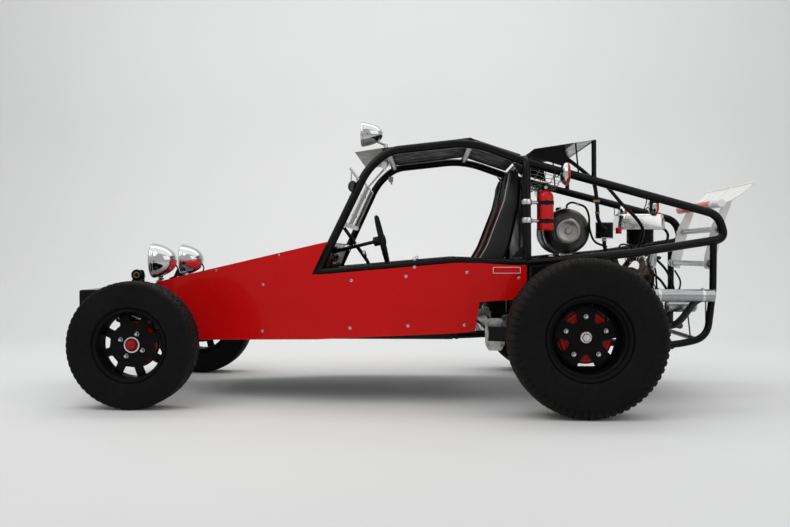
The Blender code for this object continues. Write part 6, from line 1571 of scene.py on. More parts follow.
def build_wing():
    lead = Vector((3.09, 0.0, 1.055))
    tail = Vector((3.265, 0.0, 1.172))
    chord = (tail - lead).normalized()
    normal = Vector((-chord.z, 0.0, chord.x))
    line = []
    for i in range(17):
        t = i / 16
        line.append(lead.lerp(tail, t) - normal * (0.012 * (1.0 - (2.0 * t - 1.0) ** 2) - 0.003))
    bm = bmesh.new()
    sheet(bm, [[p + Vector((0.0, y, 0.0)) for y in (-0.3995, -0.2, 0.0, 0.2, 0.3995)] for p in line],
          0.0044)
    make("wing_blade", bm, WHITE_PAINT, stands_for=("wing",))
    roll = lead + normal * 0.0096
    bm = bmesh.new()
    lathe(bm, ((0.0, -0.4025), (0.020, -0.4025), (0.0236, -0.399), (0.0236, -0.250), (0.0, -0.250)),
          roll, RIGHT, 40)
    lathe(bm, ((0.0, -0.4018), (0.0070, -0.4018), (0.0085, -0.400), (0.0085, 0.400), (0.0070, 0.4018),
               (0.0, 0.4018)), tail - Vector((0.006, 0.0, 0.0)), RIGHT, 24)
    edge = [p + normal * 0.0005 for p in line]
    pipe(bm, [p + Vector((0.0, -0.3980, 0.0)) for p in edge], 0.0042, sides=12)
    make("wing_white_edges", bm, WHITE_PAINT)
    bm = bmesh.new()
    lathe(bm, ((0.0, -0.250), (0.0238, -0.250), (0.0238, 0.399), (0.020, 0.4025), (0.0, 0.4025)),
          roll, RIGHT, 40)
    pipe(bm, [p + Vector((0.0, 0.3980, 0.0)) for p in edge], 0.0042, sides=12)
    make("wing_red_edges", bm, WING_RED)
    bm = bmesh.new()
    for x, z in ((3.086, 0.925), (3.035, 0.736)):
        collar = ((0.0158, 0.361), (0.0245, 0.361), (0.0250, 0.365), (0.0250, 0.388), (0.0245, 0.392),
                  (0.0158, 0.392), (0.0158, 0.4205), (0.0, 0.4205))
        profile = [(r, -along) for r, along in reversed(collar)] + list(collar)
        lathe(bm, profile, (x, 0.0, z), RIGHT, 36)
    bar = make("wing_bars", bm, PIPE_GREY, stands_for=("wing_mount",))
    cutter = bmesh.new()
    for _, side in SIDES:
        pipe(cutter, path("hoop_seat rail_end loop_end rail_mid hoop_waist", side), MAIN_TUBE + 0.0002,
             0.075, 20, 10)
        pipe(cutter, [joint("post_mid", side), between("rail_mid", "loop_end", POST_X, side)],
             RAIL_TUBE + 0.0002)
    cut_out(bar, cutter)
    under = lead - normal * 0.0006
    first = (line[8] - line[0]).normalized()
    top = [under + first * 0.032, under + first * 0.083]
    plate = ((3.015, 0.712), (3.065, 0.700), (3.086, 0.800), (3.122, 0.960), (top[1].x, top[1].z - 0.014),
             (top[1].x, top[1].z), (top[0].x, top[0].z), (3.056, 0.950), (3.015, 0.770))
    bm = bmesh.new()
    for _, side in SIDES:
        prism(bm, plate, side * 0.3302, side * 0.3348, "y", 0.0010, 0.004)
        for x, z in ((3.086, 0.925), (3.035, 0.736)):
            lathe(bm, ((0.0165, -0.006), (0.0225, -0.006), (0.0225, 0.006), (0.0165, 0.006)),
                  (x, side * 0.3325, z), RIGHT, 32, True)
    blades = make("wing_plates", bm, WHITE_PAINT)
    cutter = bmesh.new()
    pipe(cutter, [(roll.x, -0.41, roll.z), (roll.x, 0.41, roll.z)], 0.0240, sides=32)
    cut_out(blades, cutter)
    bm = bmesh.new()
    for _, side in SIDES:
        for x, z in ((3.064, 0.83), (3.094, 0.99)):
            hexagon(bm, (x, side * 0.3350, z), (0.0, side, 0.0), 0.0060, 0.005, 0.009)
        for x, z in ((3.086, 0.925), (3.035, 0.736)):
            hexagon(bm, (x, side * 0.3765, z + 0.0245), UP, 0.0045, 0.004)
    make("wing_bolts", bm, BRIGHT_STEEL)


# Engine and drive

def build_torsion_housing():
    bm = bmesh.new()
    lathe(bm, ((0.0, -0.517), (TORSION_R, -0.517), (TORSION_R, 0.517), (0.0, 0.517)),
          (TORSION_X, 0.0, TORSION_Z), RIGHT, 40)
    make("torsion_tube", bm, BLACK_PAINT, stands_for=("torsion_housing",))
    bm = bmesh.new()
    bolts = bmesh.new()
    outline = ((-0.0515, -0.050), (-0.034, -0.0855), (0.034, -0.0855), (0.0515, -0.050),
               (0.0515, 0.050), (0.034, 0.0855), (-0.034, 0.0855), (-0.0515, 0.050))
    for _, side in SIDES:
        cover = [(TORSION_X + x, TORSION_Z + z) for x, z in outline]
        prism(bm, cover, side * 0.517, side * 0.531, "y", 0.003, 0.010)
        lathe(bm, ((0.0, 0.0), (0.044, 0.0), (0.041, 0.008), (0.030, 0.010), (0.026, 0.0108),
                   (0.024, 0.0085), (0.0, 0.0085)), (TORSION_X, side * 0.5305, TORSION_Z), (0.0, side, 0.0),
              48)
        for x in (-0.038, 0.038):
            for z in (-0.056, 0.056):
                hexagon(bolts, (TORSION_X + x, side * 0.5305, TORSION_Z + z), (0.0, side, 0.0), 0.0075,
                        0.006, 0.010)
        for turn in range(4):
            angle = math.radians(45 + 90 * turn)
            along = Vector((math.cos(angle), 0.0, math.sin(angle)))
            spot = Vector((TORSION_X, side * 0.534, TORSION_Z)) + along * 0.045
            block(bm, spot, (0.022, 0.006, 0.006), 0.0015, Matrix.Rotation(-angle, 4, "Y"))
    make("torsion_covers", bm, COVER_ALLOY)
    make("torsion_bolts", bolts, PLAIN_STEEL)


def build_trailing_arms():
    for word, side in SIDES:
        bm = bmesh.new()
        plan = ((1.8245, 0.5425), (1.8245, 0.5770), (2.175, 0.765), (2.350, 0.765), (2.350, 0.710),
                (2.195, 0.710), (1.9135, 0.5425))
        prism(bm, [(x, side * y) for x, y in plan], TORSION_Z - 0.0295, TORSION_Z - 0.0215, "z", 0.002)
        prism(bm, [(x, side * y) for x, y in plan], TORSION_Z + 0.0375, TORSION_Z + 0.0455, "z", 0.002)
        web = ((1.8265, 0.5700), (1.8265, 0.5765), (2.175, 0.7630), (2.349, 0.7630), (2.349, 0.7580),
               (2.177, 0.7580))
        prism(bm, [(x, side * y) for x, y in web], TORSION_Z - 0.025, TORSION_Z + 0.041, "z", 0.001)
        inner = ((1.870, 0.543), (1.9135, 0.543), (2.195, 0.7105), (2.349, 0.7105), (2.349, 0.716),
                 (2.192, 0.716), (1.905, 0.549), (1.870, 0.549))
        prism(bm, [(x, side * y) for x, y in inner], TORSION_Z - 0.025, TORSION_Z + 0.041, "z", 0.001)
        lathe(bm, ((0.0, 0.704), (0.048, 0.704), (0.0575, 0.712), (0.0575, 0.822), (0.066, 0.828),
                   (0.130, 0.8325), (0.1365, 0.8345), (0.1365, 0.8370), (0.0, 0.8370)),
              (WHEELBASE, 0.0, REAR_RADIUS), (0.0, side, 0.0), 64)
        block(bm, (2.358, side * 0.694, 0.3927), (0.0495, 0.0795, 0.0215), 0.004)
        make("trailing_arm_box_" + word, bm, BLACK_PAINT, stands_for=("trailing_arm_" + word,))
        bm = bmesh.new()
        for i in range(4):
            angle = math.radians(45 + 90 * i)
            hexagon(bm, (WHEELBASE + 0.048 * math.cos(angle), side * 0.8035,
                         REAR_RADIUS + 0.048 * math.sin(angle)), (0.0, -side, 0.0), 0.008, 0.007, 0.011)
        for x in (1.850, 1.885):
            hexagon(bm, (x, side * 0.5600, TORSION_Z + 0.0452), UP, 0.0080, 0.007, 0.011)
        make("trailing_arm_bolts_" + word, bm, PLAIN_STEEL)
        body = "rear_wheel_" + word
        inner_end = 0.1560
        outer_end = 0.7030
        bm = bmesh.new()
        lathe(bm, ((0.0, inner_end + 0.070), (0.0146, inner_end + 0.070), (0.0146, outer_end - 0.070),
                   (0.0, outer_end - 0.070)), (WHEELBASE, 0.0, REAR_RADIUS), (0.0, side, 0.0), 28)
        for end, way in ((inner_end, 1.0), (outer_end, -1.0)):
            lathe(bm, [(0.0, end), (0.047, end), (0.0495, end + way * 0.003), (0.0495, end + way * 0.028),
                       (0.047, end + way * 0.031), (0.0, end + way * 0.031)],
                  (WHEELBASE, 0.0, REAR_RADIUS), (0.0, side, 0.0), 48)
        make("axle_shaft_rod_" + word, bm, PLAIN_STEEL, body, ("axle_shaft_" + word,))
        bm = bmesh.new()
        for end, way in ((inner_end, 1.0), (outer_end, -1.0)):
            profile = [(0.014, end + way * 0.030), (0.048, end + way * 0.030)]
            for i in range(3):
                size = 0.044 - 0.009 * i
                start = end + way * (0.038 + 0.014 * i)
                profile += [(size - 0.005, start), (size, start + way * 0.006)]
            profile += [(0.019, end + way * 0.080), (0.019, end + way * 0.0855),
                        (0.014, end + way * 0.0855)]
            lathe(bm, profile, (WHEELBASE, 0.0, REAR_RADIUS), (0.0, side, 0.0), 40, True)
        make("axle_boots_" + word, bm, HOSE_RUBBER, body)
        bm = bmesh.new()
        for end, way in ((inner_end, 1.0), (outer_end, -1.0)):
            lathe(bm, ((0.019, -0.002), (0.0202, -0.002), (0.0202, 0.002), (0.019, 0.002)),
                  (WHEELBASE, side * (end + way * 0.0825), REAR_RADIUS), RIGHT, 28, True)
            for i in range(6):
                angle = 2.0 * math.pi * i / 6
                hexagon(bm, (WHEELBASE + 0.038 * math.cos(angle), side * (end + way * 0.031),
                             REAR_RADIUS + 0.038 * math.sin(angle)), (0.0, side * way, 0.0), 0.0050, 0.005)
        make("axle_boot_clamps_" + word, bm, BRIGHT_STEEL, body)


def build_transaxle():
    bm = bmesh.new()
    lathe(bm, ((0.0, 1.946), (0.044, 1.946), (0.046, 1.950), (0.051, 2.000), (0.077, 2.032), (0.081, 2.150),
               (0.104, 2.202), (0.1065, 2.318), (0.099, 2.398), (0.0, 2.398)),
          (0.0, 0.0, REAR_RADIUS), REARWARD, 56, soften=0.004)
    lathe(bm, ((0.0, 2.332), (0.098, 2.332), (0.126, 2.420), (0.133, 2.456), (0.133, 2.4692),
               (0.0, 2.4692)), (0.0, 0.0, CRANK_Z - 0.010), REARWARD, 64, soften=0.004)
    lathe(bm, ((0.0, -0.1545), (0.051, -0.1545), (0.053, -0.152), (0.053, 0.152), (0.051, 0.1545),
               (0.0, 0.1545)), (WHEELBASE, 0.0, REAR_RADIUS), RIGHT, 48)
    block(bm, (1.9395, 0.0, TORSION_Z + 0.010), (0.060, 0.088, 0.058), 0.008)
    for i in range(6):
        angle = math.radians(30 + 60 * i)
        along = Vector((0.0, math.cos(angle), math.sin(angle)))
        spot = Vector((2.090, 0.0, REAR_RADIUS)) + along * 0.078
        block(bm, spot, (0.110, 0.006, 0.008), 0.002, Matrix.Rotation(angle - math.pi / 2.0, 4, "X"))
    make("transaxle_case", bm, CAST_ALLOY, stands_for=("transaxle",))
    bm = bmesh.new()
    for i in range(8):
        angle = math.radians(22.5 + 45 * i)
        hexagon(bm, (2.456, 0.121 * math.cos(angle), CRANK_Z - 0.010 + 0.121 * math.sin(angle)),
                (-1.0, 0.0, 0.0), 0.0070, 0.006, 0.010)
        hexagon(bm, (2.030, 0.066 * math.cos(angle), REAR_RADIUS + 0.066 * math.sin(angle)),
                (-1.0, 0.0, 0.0), 0.0055, 0.005)
    make("transaxle_bolts", bm, PLAIN_STEEL)


def build_engine():
    end = 2.83
    bm = bmesh.new()
    outline = ((-0.114, CRANK_Z - 0.080), (-0.080, CRANK_Z - 0.0995), (0.080, CRANK_Z - 0.0995),
               (0.114, CRANK_Z - 0.080), (0.114, CRANK_Z + 0.062), (0.060, CRANK_Z + 0.0995),
               (-0.060, CRANK_Z + 0.0995), (-0.114, CRANK_Z + 0.062))
    prism(bm, outline, 2.4702, end, "x", 0.004, 0.010)
    for x in (2.52, 2.58, 2.64, 2.70, 2.76):
        block(bm, (x, 0.0, CRANK_Z - 0.0985), (0.006, 0.150, 0.006), 0.002)
    for _, side in SIDES:
        block(bm, (2.65, side * 0.113, CRANK_Z), (0.300, 0.010, 0.128), 0.003)
    make("crankcase_halves", bm, ENGINE_CAST, stands_for=("engine",))
    bm = bmesh.new()
    for _, side in SIDES:
        for x in (2.582, 2.718):
            profile = [(0.0, 0.112)]
            start = 0.114
            for i in range(14):
                y = start + i * 0.0094
                profile += [(0.0475, y), (0.0612, y + 0.0012), (0.0612, y + 0.0030), (0.0475, y + 0.0042)]
            profile += [(0.0475, 0.2480), (0.0, 0.2480)]
            lathe(bm, profile, (x, 0.0, CRANK_Z), (0.0, side, 0.0), 36)
    make("barrel_fins", bm, BARREL_IRON)
    bm = bmesh.new()
    for _, side in SIDES:
        block(bm, (2.65, side * 0.290, CRANK_Z), (0.262, 0.088, 0.120), 0.004)
        for i in range(11):
            y = side * (0.2480 + i * 0.0080)
            block(bm, (2.65, y, CRANK_Z), (0.288, 0.0030, 0.148), 0.0010)
        for x in (2.582, 2.718):
            pipe(bm, [(x, side * 0.330, CRANK_Z - 0.060), (x, side * 0.300, CRANK_Z - 0.070)], 0.012)
    make("head_castings", bm, CAST_ALLOY)
    bm = bmesh.new()
    clips = bmesh.new()
    for _, side in SIDES:
        cover = ((-0.124, -0.054), (0.124, -0.054), (0.124, 0.039), (0.104, 0.054), (-0.104, 0.054),
                 (-0.124, 0.039))
        prism(bm, [(2.65 + x, CRANK_Z - 0.004 + z) for x, z in cover], side * 0.3345, side * 0.376, "y",
              0.006, 0.014)
        inner = ((-0.106, -0.038), (0.106, -0.038), (0.106, 0.026), (0.088, 0.038), (-0.088, 0.038),
                 (-0.106, 0.026))
        prism(bm, [(2.65 + x, CRANK_Z - 0.004 + z) for x, z in inner], side * 0.374, side * 0.381, "y",
              0.003, 0.012)
        pipe(clips, fillet([(2.520, side * 0.338, CRANK_Z), (2.533, side * 0.380, CRANK_Z - 0.012),
                            (2.600, side * 0.3835, CRANK_Z - 0.020), (2.700, side * 0.3835,
                                                                      CRANK_Z - 0.020),
                            (2.767, side * 0.380, CRANK_Z - 0.012), (2.780, side * 0.338, CRANK_Z)], 0.015,
                           4, False), 0.0022, sides=8)
        for x in (2.582, 2.718):
            for k in (0.022, -0.022):
                pipe(clips, [(x + k, side * 0.118, CRANK_Z - 0.082), (x + k, side * 0.246,
                                                                      CRANK_Z - 0.070)], 0.0085, sides=14)
    make("rocker_covers", bm, SATIN_BLACK)
    make("cover_bails_and_tubes", clips, PLAIN_STEEL)
    bm = bmesh.new()
    lathe(bm, ((0.0, end - 0.004), (0.028, end - 0.004), (0.028, 2.8480), (0.0835, 2.8480),
               (0.0838, 2.8530), (0.0750, 2.8585), (0.0750, 2.8615), (0.0838, 2.8670), (0.0835, 2.8718),
               (0.070, 2.8700), (0.064, 2.8600), (0.030, 2.8600), (0.026, 2.8718), (0.0, 2.8718)),
          (0.0, 0.0, CRANK_Z), REARWARD, 64)
    make("crank_pulley", bm, BRIGHT_STEEL)
    bm = bmesh.new()
    lathe(bm, ((0.0, 0.0), (0.026, 0.0), (0.026, 0.050), (0.022, 0.058), (0.0, 0.058)),
          (2.800, 0.062, 0.510), (0.0, 0.25, 1.0), 28)
    make("distributor_body", bm, CAST_ALLOY)
    bm = bmesh.new()
    top = Vector((2.800, 0.0762, 0.5665))
    lathe(bm, ((0.0, 0.0), (0.030, 0.0), (0.030, 0.022), (0.024, 0.032), (0.0, 0.034)), top,
          (0.0, 0.25, 1.0), 32)
    for i, (x, side) in enumerate(((2.600, -1), (2.700, -1), (2.600, 1), (2.700, 1))):
        angle = math.radians(45 + 90 * i)
        plug = top + Vector((0.018 * math.cos(angle), 0.018 * math.sin(angle), 0.030))
        pipe(bm, [plug, plug + Vector((0.0, 0.0, 0.012))], 0.0060, sides=12)
        pipe(bm, curve([plug + Vector((0.0, 0.0, 0.012)), plug + Vector((0.010, side * 0.020, 0.040)),
                        (2.790, side * 0.160, 0.585), (x + 0.040, side * 0.250, 0.548),
                        (x, side * 0.290, 0.520), (x, side * 0.296, 0.500)], 30), 0.0036, sides=8)
    make("spark_leads", bm, HOSE_RUBBER)


TIN = (
    (-0.330, 0.5452), (-0.054, 0.5452), (-0.054, 0.5310), (0.054, 0.5310), (0.054, 0.5452), (0.330, 0.5452),
    (0.330, 0.590), (0.185, 0.660), (0.140, 0.725), (0.075, 0.765), (-0.075, 0.765), (-0.140, 0.725),
    (-0.185, 0.660), (-0.330, 0.590),
)


def build_shroud():
    bm = bmesh.new()
    prism(bm, TIN, 2.5005, 2.5995, "x", 0.006, 0.018)
    for _, side in SIDES:
        block(bm, (2.550, side * 0.258, 0.620), (0.096, 0.004, 0.012), 0.001)
    pipe(bm, [(2.5995, -0.325, 0.5475), (2.5995, -0.056, 0.5475)], 0.0030, sides=8)
    pipe(bm, [(2.5995, 0.325, 0.5475), (2.5995, 0.056, 0.5475)], 0.0030, sides=8)
    shroud = make("fan_tin", bm, SATIN_BLACK, stands_for=("fan_shroud",))
    cutter = bmesh.new()
    lathe(cutter, ((0.0, 0.0), (0.098, 0.0), (0.098, 0.060), (0.0, 0.060)), (2.470, 0.0, FAN_Z), REARWARD,
          56)
    cut_out(shroud, cutter)
    bm = bmesh.new()
    lathe(bm, ((0.098, 0.0), (0.104, -0.0155), (0.112, -0.0155), (0.1118, 0.004), (0.098, 0.004)),
          (2.5000, 0.0, FAN_Z), REARWARD, 56, True, 0.002)
    make("fan_inlet_ring", bm, SATIN_BLACK)
    bm = bmesh.new()
    lathe(bm, ((0.0, 0.0), (0.032, 0.0), (0.040, 0.012), (0.092, 0.016), (0.092, 0.019), (0.0, 0.019)),
          (2.505, 0.0, FAN_Z), REARWARD, 48)
    for i in range(24):
        angle = 2.0 * math.pi * i / 24
        along = Vector((0.0, math.cos(angle), math.sin(angle)))
        turn = Matrix.Rotation(angle, 4, "X") @ Matrix.Rotation(0.4, 4, "Z")
        block(bm, Vector((2.512, 0.0, FAN_Z)) + along * 0.076, (0.018, 0.036, 0.0016), 0.0, turn)
    make("cooling_fan", bm, CAST_ALLOY)
    bm = bmesh.new()
    profile = [(0.0, 0.0), (0.058, 0.0), (0.0600, 0.004), (0.0615, 0.010)]
    profile += [(0.0615, 0.052), (0.0585, 0.054), (0.0585, 0.060), (0.0615, 0.062), (0.0615, 0.100),
                (0.056, 0.112), (0.0450, 0.138), (0.040, 0.152), (0.016, 0.155), (0.0155, 0.176),
                (0.0, 0.176)]
    lathe(bm, profile, (2.6020, 0.0, FAN_Z), REARWARD, 64)
    for i in range(16):
        angle = 2.0 * math.pi * i / 16
        along = Vector((0.0, math.cos(angle), math.sin(angle)))
        block(bm, Vector((2.733, 0.0, FAN_Z)) + along * 0.0475, (0.024, 0.006, 0.004), 0.001,
              Matrix.Rotation(angle, 4, "X"))
    make("alternator_case", bm, ENGINE_CAST)
    bm = bmesh.new()
    lathe(bm, ((0.0155, 2.7805), (0.0725, 2.7815), (0.0735, 2.7845), (0.0640, 2.7950), (0.0640, 2.7990),
               (0.0735, 2.8090), (0.0725, 2.8115), (0.044, 2.8070), (0.034, 2.8000), (0.0155, 2.8000)),
          (0.0, 0.0, FAN_Z), REARWARD, 64, True)
    hexagon(bm, (2.7990, 0.0, FAN_Z), REARWARD, 0.014, 0.012, 0.020)
    make("alternator_pulley", bm, RUSTY_STEEL)
    bm = bmesh.new()
    rings = []
    for i in range(120):
        angle = 2.0 * math.pi * i / 120
        if math.sin(angle) >= 0.0:
            center, radius = Vector((2.8210, 0.0, FAN_Z)), 0.0665
        else:
            center, radius = Vector((2.8360, 0.0, CRANK_Z)), 0.0765
        point = center + Vector((0.0, radius * math.cos(angle), radius * math.sin(angle)))
        out = Vector((0.0, math.cos(angle), math.sin(angle)))
        rings.append([bm.verts.new(point + out * a + Vector((b, 0.0, 0.0)))
                      for a, b in ((-0.004, -0.004), (-0.004, 0.004), (0.004, 0.0055), (0.004, -0.0055))])
    skin(bm, rings, True)
    make("fan_belt", bm, HOSE_RUBBER)
    bm = bmesh.new()
    pipe(bm, [(2.550, -0.200, 0.640), (2.550, -0.200, 0.760), (2.500, -0.200, 0.820),
              (2.500, -0.200, 0.885)], 0.0107, 0.04, 18)
    make("breather_pipe", bm, HOSE_RUBBER)
    bm = bmesh.new()
    profile = [(0.0, 0.8772), (0.045, 0.8772), (0.049, 0.882)]
    for i in range(9):
        z = 0.886 + i * 0.0085
        profile += [(0.0495, z), (0.0470, z + 0.002), (0.0470, z + 0.005), (0.0495, z + 0.007)]
    profile += [(0.049, 0.962), (0.045, 0.9678), (0.0, 0.9678)]
    lathe(bm, profile, (2.500, -0.200, 0.0), UP, 56)
    make("breather_can", bm, HOSE_RUBBER)
    bm = bmesh.new()
    for z in (0.8795, 0.9655):
        lathe(bm, ((0.0455, -0.002), (0.0498, -0.002), (0.0498, 0.002), (0.0455, 0.002)),
              (2.500, -0.200, z), UP, 56, True)
    lathe(bm, ((0.0112, -0.004), (0.0140, -0.004), (0.0140, 0.004), (0.0112, 0.004)),
          (2.500, -0.200, 0.868), UP, 28, True)
    make("breather_bands", bm, BRIGHT_STEEL)


def rounded_plan(front, rear, half, corner, count=6):
    """Points round a rectangle with rounded corners, in order."""
    out = []
    for cx, cy, first in ((front + corner, -half + corner, 180.0), (rear - corner, -half + corner, 270.0),
                          (rear - corner, half - corner, 0.0), (front + corner, half - corner, 90.0)):
        for i in range(count + 1):
            angle = math.radians(first + 90.0 * i / count)
            out.append((cx + corner * math.cos(angle), cy + corner * math.sin(angle)))
    return out


def build_intake():
    bm = bmesh.new()
    levels = ((0.9302, 2.6000, 2.8690, 0.109), (0.9306, 2.5975, 2.8715, 0.1115),
              (0.9345, 2.5972, 2.8718, 0.1118), (0.9370, 2.6010, 2.8680, 0.1080),
              (0.9400, 2.6005, 2.8685, 0.1085), (0.9420, 2.5990, 2.8700, 0.1100),
              (0.9900, 2.6050, 2.8660, 0.1035), (1.0090, 2.6085, 2.8635, 0.0995),
              (1.0150, 2.6120, 2.8600, 0.0960), (1.0188, 2.6190, 2.8540, 0.0890),
              (1.0198, 2.6300, 2.8430, 0.0780))
    rings = []
    for z, front, rear, half in levels:
        rings.append([bm.verts.new((x, y, z)) for x, y in rounded_plan(front, rear, half, 0.036)])
    skin(bm, rings)
    for i in range(5):
        y = -0.050 + i * 0.025
        pipe(bm, [(2.655, y, 1.0192), (2.815, y, 1.0192)], 0.0022, sides=8)
    make("air_cleaner_lid", bm, POLISHED_ALLOY, stands_for=("intake",))
    bm = bmesh.new()
    lathe(bm, ((0.0, 0.0), (0.010, 0.0), (0.010, 0.005), (0.004, 0.006), (0.0, 0.006)),
          (2.735, 0.0, 1.0140), UP, 24)
    block(bm, (2.735, 0.0, 1.0172), (0.004, 0.022, 0.0050), 0.0015)
    make("air_cleaner_nut", bm, BRIGHT_STEEL)
    bm = bmesh.new()
    profile = [(0.0, 0.8482), (0.070, 0.8482), (0.0775, 0.8560)]
    for i in range(9):
        z = 0.860 + i * 0.0078
        profile += [(0.0778, z), (0.0752, z + 0.0020), (0.0752, z + 0.0045), (0.0778, z + 0.0065)]
    profile += [(0.0778, 0.9315), (0.0, 0.9315)]
    lathe(bm, profile, (2.745, 0.0, 0.0), UP, 60)
    make("air_cleaner_base", bm, HOSE_RUBBER)
    bm = bmesh.new()
    block(bm, (2.720, 0.0, 0.8120), (0.074, 0.084, 0.072), 0.006)
    block(bm, (2.720, 0.0, 0.7650), (0.088, 0.098, 0.014), 0.004)
    lathe(bm, ((0.0, 0.0), (0.036, 0.0), (0.036, 0.010), (0.0, 0.010)), (2.742, 0.0, 0.8390), UP, 40)
    block(bm, (2.720, 0.046, 0.805), (0.040, 0.010, 0.044), 0.004)
    lathe(bm, ((0.0, 0.0), (0.016, 0.0), (0.016, 0.012), (0.011, 0.014), (0.0, 0.014)),
          (2.758, 0.020, 0.822), REARWARD, 28)
    pipe(bm, [(2.720, -0.095, 0.768), (2.720, 0.095, 0.768)], 0.0192, sides=28)
    for _, side in SIDES:
        pipe(bm, [(2.720, side * 0.090, 0.768), (2.716, side * 0.215, 0.730), (2.650, side * 0.292, 0.610),
                  (2.650, side * 0.292, 0.5072)], 0.0180, 0.065, 28, 10)
        block(bm, (2.650, side * 0.292, 0.5130), (0.078, 0.048, 0.0150), 0.004)
    make("carburettor_and_manifold", bm, BARREL_IRON)
    bm = bmesh.new()
    for _, side in SIDES:
        for k in (0.120, 0.180):
            spot = Vector((2.7185, side * k, 0.7605))
            axis = Vector((-0.004, side * 0.120, -0.038))
            lathe(bm, ((0.0182, -0.004), (0.0215, -0.004), (0.0215, 0.004), (0.0182, 0.004)), spot, axis,
                  32, True)
        for x in (-0.030, 0.030):
            hexagon(bm, (2.650 + x, side * 0.292, 0.5202), UP, 0.0062, 0.006, 0.009)
    for y in (-0.030, 0.030):
        pipe(bm, [(2.690, y, 0.772), (2.690, y, 0.790)], 0.0035, sides=10)
    block(bm, (2.700, -0.050, 0.800), (0.034, 0.003, 0.007), 0.001, Matrix.Rotation(0.5, 4, "Y"))
    make("manifold_clamps", bm, BRIGHT_STEEL)
    bm = bmesh.new()
    pipe(bm, curve([(2.692, -0.044, 0.815), (2.660, -0.080, 0.840), (2.610, -0.110, 0.842),
                    (2.585, -0.150, 0.800), (2.566, -0.175, 0.770)], 24), 0.0050, sides=12)
    pipe(bm, curve([(2.700, -0.044, 0.795), (2.668, -0.090, 0.802), (2.620, -0.120, 0.790),
                    (2.590, -0.110, 0.762)], 24), 0.0042, sides=12)
    pipe(bm, curve([(2.832, -0.060, 0.948), (2.868, -0.075, 0.930), (2.885, -0.080, 0.895),
                    (2.868, -0.082, 0.850), (2.810, -0.080, 0.800), (2.762, -0.052, 0.780)], 30), 0.0078,
         sides=14)
    make("carburettor_hoses", bm, HOSE_RUBBER)
    bm = bmesh.new()
    lathe(bm, ((0.0, 0.0), (0.016, 0.0), (0.017, 0.003), (0.017, 0.030), (0.013, 0.035), (0.006, 0.037),
               (0.0, 0.037)), (2.592, -0.140, 0.905), UP, 32)
    make("fuel_filter_cap", bm, BOTTLE_RED)


def build_exhaust():
    bm = bmesh.new()
    left = [(2.7955, -0.290, 0.395), (2.865, -0.290, 0.395), (2.890, -0.360, 0.440), (2.925, -0.475, 0.540),
            (2.990, -0.475, 0.570)]
    across = [(2.7955, 0.290, 0.395), (2.855, 0.290, 0.395), (2.915, 0.220, 0.390), (2.915, -0.240, 0.390),
              (2.875, -0.300, 0.402)]
    pipe(bm, left, 0.0186, 0.055, 24, 10)
    pipe(bm, across, 0.0171, 0.055, 24, 10)
    pipe(bm, [(2.845, -0.292, 0.400), (2.845, -0.300, 0.485)], 0.0136, sides=20)
    make("exhaust_headers", bm, PIPE_BLACK, stands_for=("exhaust",))
    bm = bmesh.new()
    lathe(bm, ((0.0, 2.7005), (0.027, 2.7005), (0.0330, 2.7065), (0.0333, 2.720), (0.0333, 3.0235),
               (0.0300, 3.0235), (0.0300, 2.960), (0.0, 2.960)), (0.0, -0.475, 0.570), REARWARD, 40)
    make("tail_pipe_can", bm, PIPE_GREY)
    bm = bmesh.new()
    lathe(bm, ((0.0, 2.8155), (0.026, 2.8155), (0.0345, 2.8265), (0.0345, 2.970), (0.026, 2.9805),
               (0.018, 2.9805), (0.018, 2.960), (0.0, 2.960)), (0.0, -0.300, 0.506), REARWARD, 40)
    make("silencer_can", bm, PIPE_GREY)
    bm = bmesh.new()
    for x in (2.735, 2.965):
        lathe(bm, ((0.0335, -0.007), (0.0352, -0.007), (0.0352, 0.007), (0.0335, 0.007)),
              (x, -0.475, 0.570), REARWARD, 40, True)
        block(bm, (x, -0.475, 0.570 + 0.0375), (0.012, 0.012, 0.006), 0.001)
    for _, side in SIDES:
        block(bm, (2.7985, side * 0.290, 0.395), (0.006, 0.062, 0.040), 0.002)
        for k in (-0.024, 0.024):
            hexagon(bm, (2.8012, side * 0.290 + k, 0.395), REARWARD, 0.006, 0.006)
    make("exhaust_clamps", bm, BRIGHT_STEEL)


